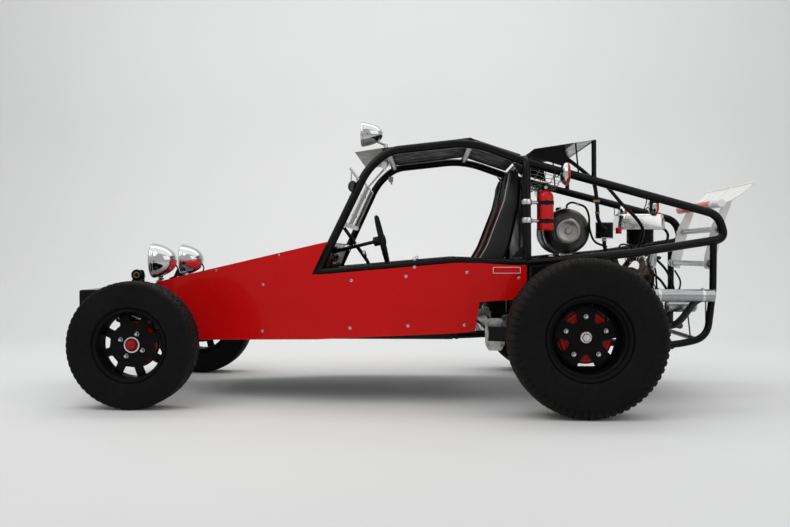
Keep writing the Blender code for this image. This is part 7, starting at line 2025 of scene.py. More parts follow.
def build_tank():
    bm = bmesh.new()
    half = 0.250
    profile = [(0.0, -half + 0.014), (0.068, -half + 0.014)]
    shell = [(0.072, -half + 0.014), (0.100, -half + 0.0215), (0.117, -half + 0.033),
             (0.1258, -half + 0.050), (0.1268, -half + 0.062), (0.1268, -0.118), (0.1252, -0.114),
             (0.1252, -0.108), (0.1268, -0.104)]
    profile += shell + [(r, -y) for r, y in reversed(shell)] + [(0.068, half - 0.014), (0.0, half - 0.014)]
    lathe(bm, profile, (TANK_X, 0.0, TANK_Z), RIGHT, 96)
    make("tank_shell", bm, TANK_STEEL, stands_for=("fuel_tank",))
    bm = bmesh.new()
    for _, side in SIDES:
        lathe(bm, ((0.0, 0.232), (0.0715, 0.232), (0.0715, 0.2400), (0.066, 0.2475), (0.056, 0.2485),
                   (0.050, 0.2450), (0.020, 0.2440), (0.016, 0.2490), (0.0, 0.2495)), (TANK_X, 0.0, TANK_Z),
              (0.0, side, 0.0), 72)
    make("tank_end_discs", bm, TANK_DISC)
    bm = bmesh.new()
    for _, side in SIDES:
        y = side * 0.15
        lathe(bm, ((0.1268, -0.011), (0.1290, -0.011), (0.1290, 0.011), (0.1268, 0.011)),
              (TANK_X, y, TANK_Z), RIGHT, 96, True)
        block(bm, (TANK_X, y, 0.7920), (0.069, 0.029, 0.030), 0.004)
        hexagon(bm, (TANK_X + 0.040, y, TANK_Z - 0.1215), (0.4, 0.0, -1.0), 0.006, 0.007)
    lathe(bm, ((0.0, 0.0), (0.027, 0.0), (0.027, 0.006), (0.0275, 0.010), (0.0275, 0.026), (0.022, 0.0315),
               (0.0, 0.0315)), (TANK_X, 0.07, 1.0335), UP, 48, soften=0.002)
    for i in range(12):
        angle = 2.0 * math.pi * i / 12
        block(bm, (TANK_X + 0.0272 * math.cos(angle), 0.07 + 0.0272 * math.sin(angle), 1.0520),
              (0.0020, 0.006, 0.013), 0.0008, Matrix.Rotation(angle, 4, "Z"))
    tank = make("tank_straps_and_cap", bm, BRIGHT_STEEL)
    cutter = bmesh.new()
    rail = between("rail_mid", "hoop_waist", TANK_X, 1)
    pipe(cutter, [(TANK_X, -0.30, rail.z), (TANK_X, 0.30, rail.z)], RAIL_TUBE + 0.0002, sides=28)
    cut_out(tank, cutter)
    bm = bmesh.new()
    pipe(bm, curve([(TANK_X, -0.19, 1.0445), (TANK_X, -0.205, 1.066), (2.315, -0.222, 1.078),
                    (2.345, -0.235, 1.070)], 18), 0.0055, sides=12)
    pipe(bm, curve([(2.345, -0.235, 1.070), (2.385, -0.245, 1.050), (2.405, -0.250, 1.000),
                    (2.410, -0.245, 0.930), (2.440, -0.235, 0.860), (2.510, -0.220, 0.830)], 30), 0.0062,
         sides=12)
    make("tank_hose", bm, HOSE_RUBBER)
    bm = bmesh.new()
    lathe(bm, ((0.0063, -0.005), (0.0084, -0.005), (0.0084, 0.005), (0.0063, 0.005)),
          (2.348, -0.2355, 1.0695), (1.0, -0.2, -0.3), 24, True)
    hexagon(bm, (TANK_X, -0.19, 1.0425), UP, 0.010, 0.008)
    make("tank_hose_clamps", bm, BRIGHT_STEEL)


def build_extinguisher():
    x, y = 2.135, -0.470
    bm = bmesh.new()
    lathe(bm, ((0.0, 0.9155), (0.030, 0.9155), (0.034, 0.9180), (0.0400, 0.9155), (0.0438, 0.9220),
               (0.0443, 0.930), (0.0443, 1.090), (0.0425, 1.102), (0.0370, 1.113), (0.028, 1.1215),
               (0.016, 1.1265), (0.0145, 1.1300), (0.0, 1.1300)), (x, y, 0.0), UP, 64)
    make("extinguisher_bottle", bm, BOTTLE_RED, stands_for=("extinguisher",))
    bm = bmesh.new()
    lathe(bm, ((0.0, 1.128), (0.016, 1.128), (0.0185, 1.134), (0.0185, 1.150), (0.012, 1.155),
               (0.0, 1.155)), (x, y, 0.0), UP, 32)
    block(bm, (x + 0.004, y, 1.1575), (0.036, 0.012, 0.005), 0.0015, Matrix.Rotation(-0.10, 4, "Y"))
    block(bm, (x + 0.002, y, 1.1680), (0.034, 0.014, 0.005), 0.0015, Matrix.Rotation(0.12, 4, "Y"))
    pipe(bm, curve([(x - 0.014, y, 1.142), (x - 0.032, y - 0.010, 1.137), (x - 0.041, y - 0.014, 1.105),
                    (x - 0.0385, y - 0.030, 1.050), (x - 0.036, y - 0.035, 0.995)], 22), 0.0046, sides=12)
    make("extinguisher_head", bm, GRIP_RUBBER)
    bm = bmesh.new()
    lathe(bm, ((0.0, 0.0), (0.0100, 0.0), (0.0100, 0.006), (0.0085, 0.008), (0.0, 0.008)),
          (x, y - 0.0175, 1.143), (0.0, -1.0, 0.0), 28)
    make("extinguisher_gauge", bm, CHROME)
    bm = bmesh.new()
    for z in (0.965, 1.062):
        lathe(bm, ((0.0443, -0.010), (0.0460, -0.010), (0.0460, 0.010), (0.0443, 0.010)), (x, y, z), UP, 56,
              True)
        block(bm, (x + 0.004, y - 0.0455, z), (0.020, 0.005, 0.024), 0.001)
    make("extinguisher_straps", bm, GRIP_RUBBER)
    bm = bmesh.new()
    low, high = joint("hoop_waist", -1), joint("hoop_top", -1)
    rise = (high - low).normalized()
    for z in (0.965, 1.062):
        seat = low + rise * ((z - low.z) / rise.z)
        lathe(bm, ((MAIN_TUBE + 0.0004, -0.0135), (MAIN_TUBE + 0.0058, -0.0135),
                   (MAIN_TUBE + 0.0058, 0.0135), (MAIN_TUBE + 0.0004, 0.0135)), seat, rise, 40, True, 0.001)
        toward = (seat - Vector((x, y, z))).normalized()
        start = Vector((x, y, z)) + toward * 0.0445
        stop = seat - toward * (MAIN_TUBE + 0.004)
        pipe(bm, [start, stop], 0.0085, sides=14)
        hexagon(bm, seat + Vector((-0.012, -0.026, 0.0)), (-0.45, -0.9, 0.0), 0.006, 0.006)
    make("extinguisher_clamps", bm, BRIGHT_STEEL)


# Seats, belts and net

SEAT_LINE = (
    (1.270, 0.470, 0.090, 0.205), (1.480, 0.448, 0.118, 0.215), (1.690, 0.430, 0.145, 0.215),
    (1.800, 0.500, 0.150, 0.215), (1.925, 0.800, 0.108, 0.215), (1.985, 1.060, 0.072, 0.195),
    (2.000, 1.238, 0.050, 0.140),
)
SEAT_Y = 0.272


def seat_frame(share):
    """Where the seat's line is at a share of its length: place, heading, inward, bolster, half width."""
    count = len(SEAT_LINE) - 1
    at = min(max(share, 0.0), 1.0) * count
    k = min(int(at), count - 1)
    t = at - k
    values = [a + (b - a) * t for a, b in zip(SEAT_LINE[k], SEAT_LINE[k + 1])]
    headings = []
    for i in (k, k + 1):
        before, after = SEAT_LINE[max(i - 1, 0)], SEAT_LINE[min(i + 1, count)]
        headings.append(Vector((after[0] - before[0], 0.0, after[1] - before[1])).normalized())
    heading = headings[0].lerp(headings[1], t).normalized()
    inward = Vector((-heading.z, 0.0, heading.x))
    return Vector((values[0], 0.0, values[1])), heading, inward, values[2], values[3]


def seat_point(side, share, across, lift):
    """A point on the seat: across from -1 to 1 of its half width, lift above its outside."""
    place, _, inward, _, half = seat_frame(share)
    return place + Vector((0.0, side * SEAT_Y + across * half, 0.0)) + inward * lift


def seat_section(bolster):
    """One side of the shell's outside, as (across, lift) pairs."""
    return ((0.0, 0.0), (0.55, 0.0), (0.88, 0.001), (0.975, 0.012), (1.0, 0.040), (1.008, bolster * 0.8),
            (0.985, bolster * 0.96), (0.925, bolster * 0.995))


def build_seat_shell(word, side):
    bm = bmesh.new()
    rings = []
    for i in range(49):
        share = i / 48
        _, _, _, bolster, _ = seat_frame(share)
        line = seat_section(bolster - 0.004)
        outside = [(-a, lift) for a, lift in reversed(line[1:])] + list(line)
        inside = [(a * 0.972, max(lift, 0.004)) for a, lift in reversed(outside)]
        proud = 0.018 * step(share, 0.58, 0.72) * (1.0 - step(share, 0.93, 1.0))
        ring = []
        for a, lift in outside:
            drop = proud * max(0.0, 1.0 - lift / 0.045)
            ring.append(bm.verts.new(seat_point(side, share, a, lift + 0.0008 - drop)))
        ring += [bm.verts.new(seat_point(side, share, a, lift + 0.0035)) for a, lift in inside]
        rings.append(ring)
    skin(bm, rings)
    make("seat_shell_" + word, bm, SEAT_VINYL, stands_for=("seat_" + word,))
    bm = bmesh.new()
    for across in (-0.15, 0.15):
        y = side * SEAT_Y + across
        block(bm, (1.470, y, 0.3515), (0.289, 0.0236, 0.0100), 0.002)
        block(bm, (1.470, y, 0.3640), (0.270, 0.0150, 0.0140), 0.002)
        for x in (1.370, 1.570):
            block(bm, (x, y, 0.410), (0.032, 0.020, 0.082), 0.003)
            hexagon(bm, (x, y + 0.0100, 0.400), RIGHT, 0.0070, 0.005)
    make("seat_runners_" + word, bm, PLAIN_STEEL)


def pad_rings(side, first, last, reach, low, high, count):
    """A pad's closed form between two shares of the seat, crowned and pulled in at its ends."""
    bm = bmesh.new()
    rings = []
    for i in range(count + 1):
        t = i / count
        share = first + (last - first) * t
        end = min(t, 1.0 - t) * count
        swell = min(1.0, 0.55 + 0.28 * end) if end < 2 else 1.0
        ring = []
        for k in range(24):
            angle = 2.0 * math.pi * k / 24
            a = abs(math.cos(angle)) ** 0.55 * math.copysign(1.0, math.cos(angle))
            b = abs(math.sin(angle)) ** 0.75 * math.copysign(1.0, math.sin(angle))
            middle = (low + high) / 2.0
            lift = middle + b * (high - low) / 2.0 * swell
            across = reach[0] + (reach[1] - reach[0]) * (a * swell * 0.5 + 0.5)
            ring.append(bm.verts.new(seat_point(side, share, across, lift)))
        rings.append(ring)
    skin(bm, rings)
    return bm


def inflate(piece, cap):
    """Swell a padded piece as cloth under pressure, no point farther than cap from its start."""
    remesh = piece.modifiers.new("remesh", "REMESH")
    remesh.mode = "VOXEL"
    remesh.voxel_size = 0.0056
    graph = bpy.context.evaluated_depsgraph_get()
    piece.data = bpy.data.meshes.new_from_object(piece.evaluated_get(graph))
    piece.modifiers.clear()
    start = [vert.co.copy() for vert in piece.data.vertices]
    cloth = piece.modifiers.new("cloth", "CLOTH")
    cloth.settings.use_pressure = True
    cloth.settings.uniform_pressure_force = 4.0
    cloth.settings.effector_weights.gravity = 0.0
    for step_number in range(1, 13):
        bpy.context.scene.frame_set(step_number)
    graph = bpy.context.evaluated_depsgraph_get()
    swollen = bpy.data.meshes.new_from_object(piece.evaluated_get(graph))
    piece.modifiers.clear()
    for vert, old in zip(swollen.vertices, start):
        move = vert.co - old
        if move.length > cap:
            vert.co = old + move * (cap / move.length)
    piece.data = swollen
    bpy.context.scene.frame_set(1)


def press(piece, channels, depth, width):
    """Sewn channels pressed into a pad: each is a share along the seat."""
    lines = []
    for share in channels:
        place, heading, inward, _, _ = seat_frame(share)
        lines.append((place - Vector((OFFSET, 0.0, 0.0)), heading, inward))
    for vert in piece.data.vertices:
        for place, heading, inward in lines:
            gap = abs((vert.co - place).dot(heading))
            near = (vert.co - place).length < 0.32
            if near and gap < width:
                fall = 0.5 + 0.5 * math.cos(math.pi * gap / width)
                if (vert.co - place).dot(inward) > 0.030:
                    vert.co -= inward * depth * fall


def finish_pad(piece):
    relax = piece.modifiers.new("relax", "SMOOTH")
    relax.factor = 0.5
    relax.iterations = 2
    graph = bpy.context.evaluated_depsgraph_get()
    mesh = bpy.data.meshes.new_from_object(piece.evaluated_get(graph))
    piece.modifiers.clear()
    piece.data = mesh
    mesh.shade_smooth()


def build_seats():
    for word, side in SIDES:
        build_seat_shell(word, side)
        pads = (
            ("seat_cushion_" + word, (0.05, 0.46), (-0.64, 0.64), 0.014, 0.050, 26,
             (0.13, 0.21, 0.29, 0.37)),
            ("seat_back_pad_" + word, (0.56, 0.975), (-0.60, 0.60), 0.010, 0.046, 30,
             (0.64, 0.71, 0.78, 0.85, 0.92)),
        )
        for name, (first, last), reach, low, high, count, channels in pads:
            pad = make(name, pad_rings(side, first, last, reach, low, high, count), SEAT_VINYL)
            inflate(pad, 0.008)
            press(pad, channels, 0.0065, 0.012)
            finish_pad(pad)
        for way, tag in ((-1.0, "outer"), (1.0, "inner")):
            bm = bmesh.new()
            rings = []
            for i in range(61):
                share = 0.02 + 0.95 * i / 60
                _, _, _, bolster, _ = seat_frame(share)
                pull = min(1.0, 0.35 + 0.65 * min(i, 60 - i) / 4.0)
                wide = 0.105 * pull
                tall = (bolster - 0.012) * pull
                ring = []
                for k in range(16):
                    angle = 2.0 * math.pi * k / 16
                    a = 0.845 + wide * math.cos(angle)
                    lift = 0.004 + tall * (0.5 + 0.5 * math.sin(angle))
                    ring.append(bm.verts.new(seat_point(side, share, way * a, lift)))
                rings.append(ring)
            skin(bm, rings)
            pad = make("seat_bolster_" + tag + "_" + word, bm, SEAT_VINYL)
            inflate(pad, 0.004)
            finish_pad(pad)
        bm = bmesh.new()
        red = bmesh.new()
        for way in (-1.0, 1.0):
            for target, lift, out in ((bm, 0.0015, 0.975), (red, -0.0035, 0.930)):
                edge = []
                for i in range(60):
                    share = 0.015 + 0.97 * i / 59
                    _, _, _, bolster, _ = seat_frame(share)
                    edge.append(seat_point(side, share, way * out, bolster - 0.004 + lift))
                pipe(target, edge, 0.0026, sides=8)
        make("seat_piping_" + word, bm, PIPING_PALE)
        make("seat_red_piping_" + word, red, PIPING_RED)


def strap(bm, route, width, across, thickness=0.0022):
    """Flat webbing along a route, its width laid along a direction."""
    points = curve(route, max(12, 6 * len(route)))
    across = Vector(across).normalized()
    rings = []
    for i, point in enumerate(points):
        heading = (points[min(i + 1, len(points) - 1)] - points[max(i - 1, 0)]).normalized()
        wide = (across - heading * across.dot(heading)).normalized() * (width / 2.0)
        normal = heading.cross(wide).normalized() * (thickness / 2.0)
        rings.append([bm.verts.new(point + a + b) for a, b in
                      ((wide, normal * 0.4), (wide * 0.9, normal), (-wide * 0.9, normal),
                       (-wide, normal * 0.4),
                       (-wide, -normal * 0.4), (-wide * 0.9, -normal), (wide * 0.9, -normal),
                       (wide, -normal * 0.4))])
    skin(bm, rings)


def build_belts():
    for word, side in SIDES:
        bm = bmesh.new()
        steel = bmesh.new()
        for way in (-0.30, 0.30):
            route = [seat_point(side, share, way, 0.064) for share in (0.40, 0.50, 0.62, 0.74, 0.86, 0.95)]
            top = seat_point(side, 1.0, way, 0.040) + Vector((0.006, 0.0, 0.016))
            route += [top, Vector((2.0050, top.y, 1.2880)), Vector((2.0300, top.y, 1.3210)),
                      Vector((2.0550, top.y, 1.2960)), Vector((2.0300, top.y, 1.2725))]
            strap(bm, route, 0.046, RIGHT)
            spot = seat_point(side, 0.66, way, 0.067)
            _, heading, inward, _, _ = seat_frame(0.66)
            turn = Matrix((heading, Vector(RIGHT), inward)).transposed().to_4x4()
            block(steel, spot, (0.030, 0.056, 0.004), 0.0015, turn)
        for way in (-0.62, 0.62):
            strap(bm, [seat_point(side, 0.40, 0.0, 0.068), seat_point(side, 0.37, way * 0.5, 0.066),
                       seat_point(side, 0.40, way, 0.064), seat_point(side, 0.46, way * 1.05, 0.060)],
                  0.046, (1.0, 0.0, 0.3))
        strap(bm, [seat_point(side, 0.40, 0.0, 0.067), seat_point(side, 0.30, 0.0, 0.062),
                   seat_point(side, 0.20, 0.0, 0.059)], 0.044, RIGHT)
        make("harness_" + word, bm, STRAP_BLACK)
        _, heading, inward, _, _ = seat_frame(0.40)
        lathe(steel, ((0.0, 0.0), (0.030, 0.0), (0.030, 0.010), (0.024, 0.016), (0.0, 0.017)),
              seat_point(side, 0.40, 0.0, 0.068), inward, 40)
        make("harness_buckles_" + word, steel, BRIGHT_STEEL)


# Hoses, cab fittings and small parts

def band(bm, place, axis, radius, width=0.005):
    """A worm clamp round a hose or tube."""
    lathe(bm, ((radius, -width), (radius + 0.0018, -width), (radius + 0.0018, width), (radius, width)),
          place, axis, 28, True)
    block(bm, Vector(place) + Vector((0.0, -radius - 0.003, 0.0)), (0.010, 0.005, 0.008), 0.001)


def build_hoses():
    bm = bmesh.new()
    first = curve([(2.215, -0.405, 1.352), (2.250, -0.402, 1.313), (2.346, -0.398, 1.238),
                   (2.405, -0.395, 1.173), (2.425, -0.385, 1.054), (2.434, -0.360, 0.985),
                   (2.470, -0.300, 0.940), (2.497, -0.252, 0.930)], 56)
    pipe(bm, first, 0.0105, sides=16)
    second = curve([(2.434, -0.330, 1.195), (2.494, -0.331, 1.151), (2.570, -0.333, 1.063),
                    (2.646, -0.330, 0.987), (2.690, -0.300, 0.925), (2.700, -0.220, 0.865),
                    (2.712, -0.110, 0.830), (2.716, -0.055, 0.822)], 56)
    pipe(bm, second, 0.0095, sides=16)
    pipe(bm, curve([(2.262, -0.330, 1.205), (2.330, -0.332, 1.222), (2.390, -0.331, 1.215),
                    (2.434, -0.330, 1.195)], 20), 0.0095, sides=16)
    make("breather_and_fuel_hoses", bm, HOSE_RUBBER)
    bm = bmesh.new()
    band(bm, first[36], first[37] - first[35], 0.0106)
    band(bm, second[53], second[54] - second[52], 0.0096)
    block(bm, (2.422, -0.389, 1.076), (0.030, 0.032, 0.012), 0.002)
    make("hose_clamps", bm, BRASS)
    bm = bmesh.new()
    for start, stop, out in (((2.799, -0.105, 0.773), (2.905, -0.120, 0.520), 0.030),
                             ((2.770, -0.150, 0.690), (2.868, -0.200, 0.520), 0.020)):
        a, b = Vector(start), Vector(stop)
        high = a.lerp(b, 0.3) + Vector((out, -out, 0.0))
        low = a.lerp(b, 0.7) + Vector((out, -out * 0.6, 0.0))
        pipe(bm, curve([a, high, low, b], 26), 0.0072, sides=12)
    pipe(bm, curve([(2.865, -0.300, 0.700), (2.890, -0.320, 0.640), (2.870, -0.340, 0.580),
                    (2.830, -0.330, 0.540)], 20), 0.0050, sides=10)
    for _, side in SIDES:
        pipe(bm, curve([(2.560, side * 0.140, 0.700), (2.620, side * 0.230, 0.690),
                        (2.640, side * 0.265, 0.640), (2.600, side * 0.300, 0.560),
                        (2.575, side * 0.310, 0.515)], 24), 0.0045, sides=10)
    make("engine_hoses", bm, HOSE_RUBBER)
    bm = bmesh.new()
    block(bm, (2.806, -0.115, 0.768), (0.050, 0.060, 0.020), 0.004)
    block(bm, (2.786, -0.080, 0.740), (0.030, 0.090, 0.050), 0.004)
    make("coil_bracket", bm, SATIN_BLACK)
    bm = bmesh.new()
    lathe(bm, ((0.0, 0.0), (0.008, 0.0), (0.022, 0.018), (0.026, 0.024), (0.026, 0.090), (0.022, 0.094),
               (0.0, 0.094)), (2.772, -0.150, 0.700), (0.1, 0.0, 1.0), 36)
    make("ignition_coil", bm, BRIGHT_STEEL)
    bm = bmesh.new()
    for _, side in SIDES:
        pipe(bm, [(2.935, side * 0.300, 0.474), (2.950, side * 0.300, 0.3435)], 0.0040, sides=10)
        block(bm, (2.950, side * 0.300, 0.338), (0.034, 0.030, 0.006), 0.0015)
    pipe(bm, [(2.998, -0.416, 0.537), (2.999, -0.418, 0.400)], 0.0035, sides=10)
    make("silencer_hangers", bm, PIPE_BLACK)


def build_bulkhead():
    """A thin pressed sheet in the hoop's plane, behind the seats."""
    low, high = joint("hoop_waist", 1), joint("hoop_top", 1)
    bm = bmesh.new()
    rows = []
    for i in range(37):
        z = 0.757 + 0.448 * i / 36
        half = low.lerp(high, (z - low.z) / (high.z - low.z)).y - MAIN_TUBE + 0.004
        row = []
        for j in range(49):
            y = half * (j / 24 - 1.0)
            rib = max(0.0, 1.0 - ((abs(y) - 0.235) / 0.150) ** 4) * step(z, 0.800, 0.815)
            rib *= 1.0 - step(z, 1.150, 1.165)
            row.append(Vector((HOOP_X + 0.004 + 0.005 * rib, y, z)))
        rows.append(row)
    sheet(bm, rows, 0.0016)
    edge = [rows[-1][j] for j in range(0, 49, 4)]
    pipe(bm, edge, 0.0040, sides=10)
    make("cab_bulkhead", bm, SATIN_BLACK)


def build_cab_fittings():
    bm = bmesh.new()
    foot = Vector((1.177, -0.245, 0.742))
    pipe(bm, [(1.040, -0.245, 0.937), foot, (1.177, -0.245, 0.700)], 0.0100, 0.03, 16)
    pipe(bm, [(0.985, -0.315, 0.8075), (1.140, -0.315, 0.8400)], 0.0080, sides=14)
    pipe(bm, [(1.177, -0.245, 0.705), (0.955, -0.245, 0.7125)], 0.0085, sides=14)
    make("column_braces", bm, BLACK_PAINT)
    bm = bmesh.new()
    toward = Vector((math.cos(COLUMN_TILT), 0.0, math.sin(COLUMN_TILT)))
    for x in (1.120, 1.062):
        spot = Vector((x, -0.28, 0.868 - (1.255 - x) * math.tan(COLUMN_TILT)))
        lathe(bm, ((0.0112, -0.010), (0.0185, -0.010), (0.0185, 0.010), (0.0112, 0.010)), spot, toward, 28,
              True, 0.001)
        block(bm, spot + Vector((0.0, -0.0200, 0.004)), (0.016, 0.010, 0.012), 0.0015)
        block(bm, spot + Vector((0.0, 0.0200, 0.004)), (0.016, 0.012, 0.012), 0.0015)
    lathe(bm, ((0.0, 0.0), (0.020, 0.0), (0.020, 0.012), (0.014, 0.016), (0.0, 0.016)),
          (1.150, -0.2675, 0.790), (1.0, 0.0, 0.3), 28)
    make("column_clamps", bm, BRIGHT_STEEL)
    bm = bmesh.new()
    for y in (-0.385, -0.285, -0.185):
        pipe(bm, fillet([(0.640, y, 0.352), (0.560, y, 0.470), (0.500, y, 0.520)], 0.03, 4, False), 0.0065,
             sides=14)
        block(bm, (0.497, y, 0.524), (0.010, 0.052, 0.062), 0.003, Matrix.Rotation(-0.6, 4, "Y"))
    block(bm, (0.640, -0.285, 0.350), (0.060, 0.260, 0.010), 0.002)
    make("pedals", bm, SATIN_BLACK)
    bm = bmesh.new()
    pipe(bm, fillet([(1.420, 0.0, 0.3460), (1.420, 0.0, 0.480), (1.395, 0.0, 0.640)], 0.05, 5, False),
         0.0065, sides=16)
    pipe(bm, fillet([(1.560, 0.0, 0.3560), (1.500, 0.0, 0.380), (1.330, 0.0, 0.520)], 0.03, 5, False),
         0.0080, sides=16)
    make("shift_and_hand_levers", bm, CHROME)
    bm = bmesh.new()
    block(bm, (1.470, 0.0, 0.3510), (0.230, 0.060, 0.012), 0.003)
    lathe(bm, ((0.0, 0.0), (0.034, 0.0), (0.030, 0.008), (0.022, 0.020), (0.018, 0.030), (0.010, 0.046),
               (0.0, 0.046)), (1.420, 0.0, 0.3570), UP, 32)
    lathe(bm, ((0.0, -0.022), (0.010, -0.020), (0.019, -0.008), (0.0215, 0.004), (0.017, 0.016),
               (0.008, 0.022), (0.0, 0.0225)), (1.392, 0.0, 0.655), (-0.15, 0.0, 1.0), 32)
    pipe(bm, [(1.395, 0.0, 0.4660), (1.325, 0.0, 0.5245)], 0.0125, sides=20)
    make("shift_boot_and_grips", bm, GRIP_RUBBER)
    bm = bmesh.new()
    for _, side in SIDES:
        rail = between("pillar_foot", "waist_bend", 1.440, side)
        top = rail + Vector((0.0, 0.0, RAIL_TUBE - 0.001))
        lathe(bm, ((0.0, 0.0), (0.010, 0.0), (0.010, 0.003), (0.0, 0.003)), top, UP, 24)
        ring = [top + Vector((0.0085 * math.cos(a), 0.0, 0.0105 + 0.0085 * math.sin(a)))
                for a in (2.0 * math.pi * i / 20 for i in range(21))]
        pipe(bm, ring, 0.0022, sides=8)
    make("waist_eyes", bm, BRIGHT_STEEL)
    bm = bmesh.new()
    corner = joint("pillar_bend", 1)
    far = joint("roof_front", 1)
    spot = corner.lerp(far, 0.62)
    for _, side in SIDES:
        place = Vector((spot.x + 0.010, side * (spot.y - 0.020), spot.z - 0.012))
        block(bm, place + Vector((0.010, -side * 0.010, -0.020)), (0.030, 0.016, 0.034), 0.003)
        pipe(bm, [place + Vector((0.010, -side * 0.010, -0.030)),
                  place + Vector((0.016, -side * 0.012, -0.052))], 0.006, sides=12)
    make("roof_clamps", bm, WHITE_PAINT)
    bm = bmesh.new()
    head = joint("pillar_bend", 1)
    foot = joint("pillar_foot", 1)
    high = foot.lerp(head, (1.185 - foot.z) / (head.z - foot.z))
    up = (head - foot)
    up.y = 0.0
    up.normalize()
    start = Vector((high.x, 0.0, high.z)) - up * 0.004
    stop = Vector((1.2835, 0.0, 1.3195))
    half = 0.0165
    skin(bm, [[bm.verts.new(point + Vector((dx, y, dz))) for dx, y, dz in
               ((-0.004, -half, 0.002), (-0.004, half, 0.002), (0.004, half, -0.002),
                (0.004, -half, -0.002))]
              for point in (start, start.lerp(stop, 0.5), stop)])
    block(bm, (1.2800, 0.0, 1.3185), (0.018, 0.040, 0.008), 0.002, Matrix.Rotation(-0.5, 4, "Y"))
    make("windscreen_stay", bm, BRUSHED_ALLOY)


def build_net():
    """The cargo net slung between the upper rails behind the hoop."""
    bm = bmesh.new()
    rows = []
    for i in range(9):
        x = 2.060 + 0.165 * i / 8
        row = []
        for k in range(29):
            y = -0.440 + 0.880 * k / 28
            sag = 1.0 - (y / 0.440) ** 2
            lift = joint("hoop_seat", 1).lerp(joint("rail_end", 1), (x - HOOP_X) / (3.06 - HOOP_X)).z
            row.append(Vector((x + 0.004 * math.sin(3.0 * k + i), y,
                               lift - 0.030 - 0.048 * sag + 0.003 * math.sin(2.0 * k + 1.7 * i))))
        rows.append(row)
    for k in range(0, 29, 2):
        pipe(bm, [row[k] for row in rows], 0.0016, sides=6)
    for i in range(0, 9, 2):
        pipe(bm, rows[i], 0.0020, sides=6)
    for i in range(0, 9, 2):
        for k in range(0, 29, 2):
            lathe(bm, ((0.0, -0.003), (0.003, 0.0), (0.0, 0.003)), rows[i][k], UP, 8)
    for _, side in SIDES:
        for i in (0, 2, 4, 6, 8):
            end = rows[i][0 if side < 0 else 28]
            seat = between("hoop_seat", "rail_end", end.x, side)
            pipe(bm, [end, seat + Vector((0.0, -side * 0.0205, -0.010))], 0.0020, sides=6)
    make("cargo_net", bm, PIPING_PALE)


# The studio

def aim(thing, target):
    thing.rotation_euler = (Vector(target) - thing.location).to_track_quat("-Z", "Y").to_euler()


def area_light(name, place, target, size, power, color=(1.0, 1.0, 1.0)):
    data = bpy.data.lights.new(name, "AREA")
    data.shape = "RECTANGLE"
    data.size, data.size_y = size
    data.energy = power
    data.color = color
    light = bpy.data.objects.new(name, data)
    light.location = place
    bpy.context.scene.collection.objects.link(light)
    aim(light, target)
    return light


def build_studio():
    """A pale floor swept up into a wall, soft lights and the photograph's camera."""
    look = Look("studio_floor", (0.70, 0.71, 0.71), 0.75)
    look.tint(look.range(look.noise(0.6, 3.0), 0.35, 0.7, 0.0, 0.10), (0.58, 0.59, 0.59))
    look.bump(look.noise(60.0, 3.0), 0.03, 0.001)
    bm = bmesh.new()
    rows = [(-9.0, 0.0), (3.0, 0.0)]
    for step in range(1, 13):
        turn = math.radians(90.0 * step / 12)
        rows.append((3.0 + 2.5 * math.sin(turn), 2.5 - 2.5 * math.cos(turn)))
    rows.append((5.5, 8.0))
    columns = [[bm.verts.new((x, y, z)) for y, z in rows] for x in (-12.0, 12.0)]
    for i in range(len(rows) - 1):
        bm.faces.new((columns[0][i], columns[1][i], columns[1][i + 1], columns[0][i + 1]))
    bmesh.ops.recalc_face_normals(bm, faces=bm.faces[:])
    mesh = bpy.data.meshes.new("floor")
    bm.to_mesh(mesh)
    bm.free()
    mesh.shade_smooth()
    mesh.materials.append(look.material)
    floor = bpy.data.objects.new("floor", mesh)
    bpy.context.scene.collection.objects.link(floor)
    lights = [
        area_light("key_light", (-2.2, -3.2, 4.4), (0.0, 0.0, 0.5), (4.5, 3.0), 60.0),
        area_light("fill_light", (3.6, -3.4, 3.0), (0.3, 0.0, 0.6), (3.5, 3.0), 30.0),
        area_light("top_light", (0.0, 0.0, 4.8), (0.0, 0.0, 0.0), (9.0, 6.0), 122.0),
        area_light("wall_light", (-0.4, 1.2, 5.6), (-0.4, 5.5, 2.2), (9.0, 2.0), 150.0),
    ]
    world = bpy.data.worlds.new("studio")
    world.use_nodes = True
    world.node_tree.nodes["Background"].inputs["Color"].default_value = (0.97, 0.97, 0.95, 1.0)
    world.node_tree.nodes["Background"].inputs["Strength"].default_value = 0.56
    bpy.context.scene.world = world
    data = bpy.data.cameras.new("camera")
    data.lens = 41.42
    data.sensor_width = 36.0
    camera = bpy.data.objects.new("camera", data)
    camera.location = (1.504 - OFFSET, -5.341, 0.79)
    turn, dip = math.radians(2.0), math.radians(0.6)
    view = Vector((-math.sin(turn) * math.cos(dip), math.cos(turn) * math.cos(dip), -math.sin(dip)))
    camera.rotation_euler = view.to_track_quat("-Z", "Y").to_euler()
    bpy.context.scene.collection.objects.link(camera)
    bpy.context.scene.camera = camera
    bpy.context.scene.view_settings.view_transform = "Standard"


# What the CAD's own nodes look like

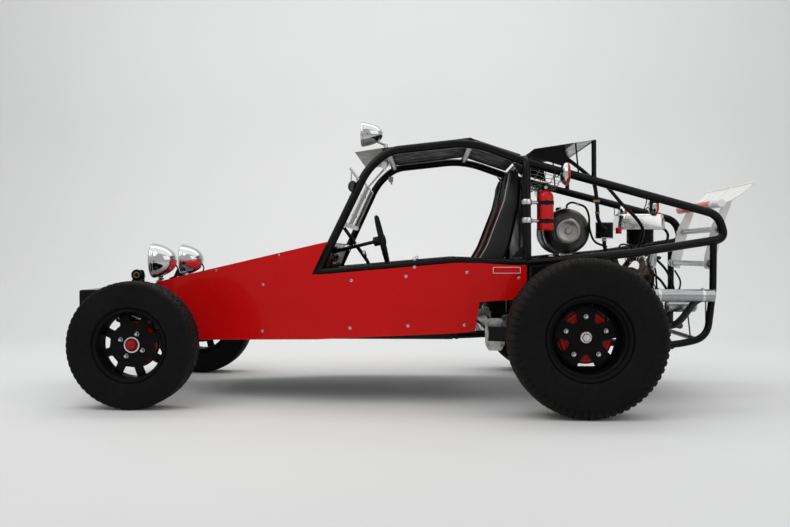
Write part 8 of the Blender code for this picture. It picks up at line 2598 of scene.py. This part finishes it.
CAD_LOOKS = {
    "roll_cage": BLACK_PAINT, "lower_frame": BLACK_PAINT, "engine_cage": BLACK_PAINT,
    "front_beam": BLACK_PAINT, "front_shock": BLACK_PAINT, "rear_shock": BLACK_PAINT,
    "side_panel": RED_PAINT, "cowl_panel": RED_PAINT, "floor_pan": SATIN_BLACK,
    "dash_panel": SATIN_BLACK, "roof_panel": BLACK_PAINT, "windscreen": CLEAR_GLASS,
    "rear_deck": BLACK_PAINT, "front_bumper": BLACK_PAINT, "headlamp": CHROME,
    "tail_lamp": CHROME, "brake_lamp": CHROME, "roof_lamp": CHROME, "wing": WHITE_PAINT,
    "wing_mount": WHITE_PAINT, "transaxle": CAST_ALLOY, "engine": ENGINE_CAST,
    "fan_shroud": SATIN_BLACK, "intake": POLISHED_ALLOY, "exhaust": PLAIN_STEEL,
    "fuel_tank": TANK_STEEL, "extinguisher": BOTTLE_RED, "seat": SEAT_VINYL,
    "steering_wheel": GRIP_RUBBER, "steering_rack": CAST_ALLOY, "rack_bar": BRIGHT_STEEL,
    "tie_rod": PLAIN_STEEL, "knuckle": BLACK_PAINT, "front_drum": DRUM_RED, "rear_drum": DRUM_RED,
    "front_rim": WHEEL_BLACK, "rear_rim": WHEEL_BLACK, "front_tyre": TYRE_RUBBER,
    "rear_tyre": TYRE_RUBBER, "torsion_housing": CAST_ALLOY, "trailing_arm": BLACK_PAINT,
    "axle_shaft": HOSE_RUBBER,
}


def dress_nodes():
    """Give every CAD node that stays in the picture its own procedural look."""
    for name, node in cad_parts.items():
        key = name.removesuffix("_left").removesuffix("_right")
        node.data.materials.clear()
        node.data.materials.append(CAD_LOOKS[key])


build_wheels()
build_roll_cage()
build_lower_frame()
build_engine_cage()
build_front_beam()
build_dampers()
build_knuckles()
build_rack()
build_steering_wheel()
build_side_panels()
build_cowl_and_floor()
build_dash()
build_roof()
build_deck()
build_windscreen()
build_lamps()
build_bumper()
build_wing()
build_torsion_housing()
build_trailing_arms()
build_transaxle()
build_engine()
build_shroud()
build_intake()
build_exhaust()
build_tank()
build_extinguisher()
build_seats()
build_belts()
build_hoses()
build_bulkhead()
build_cab_fittings()
build_net()
dress_nodes()
build_studio()
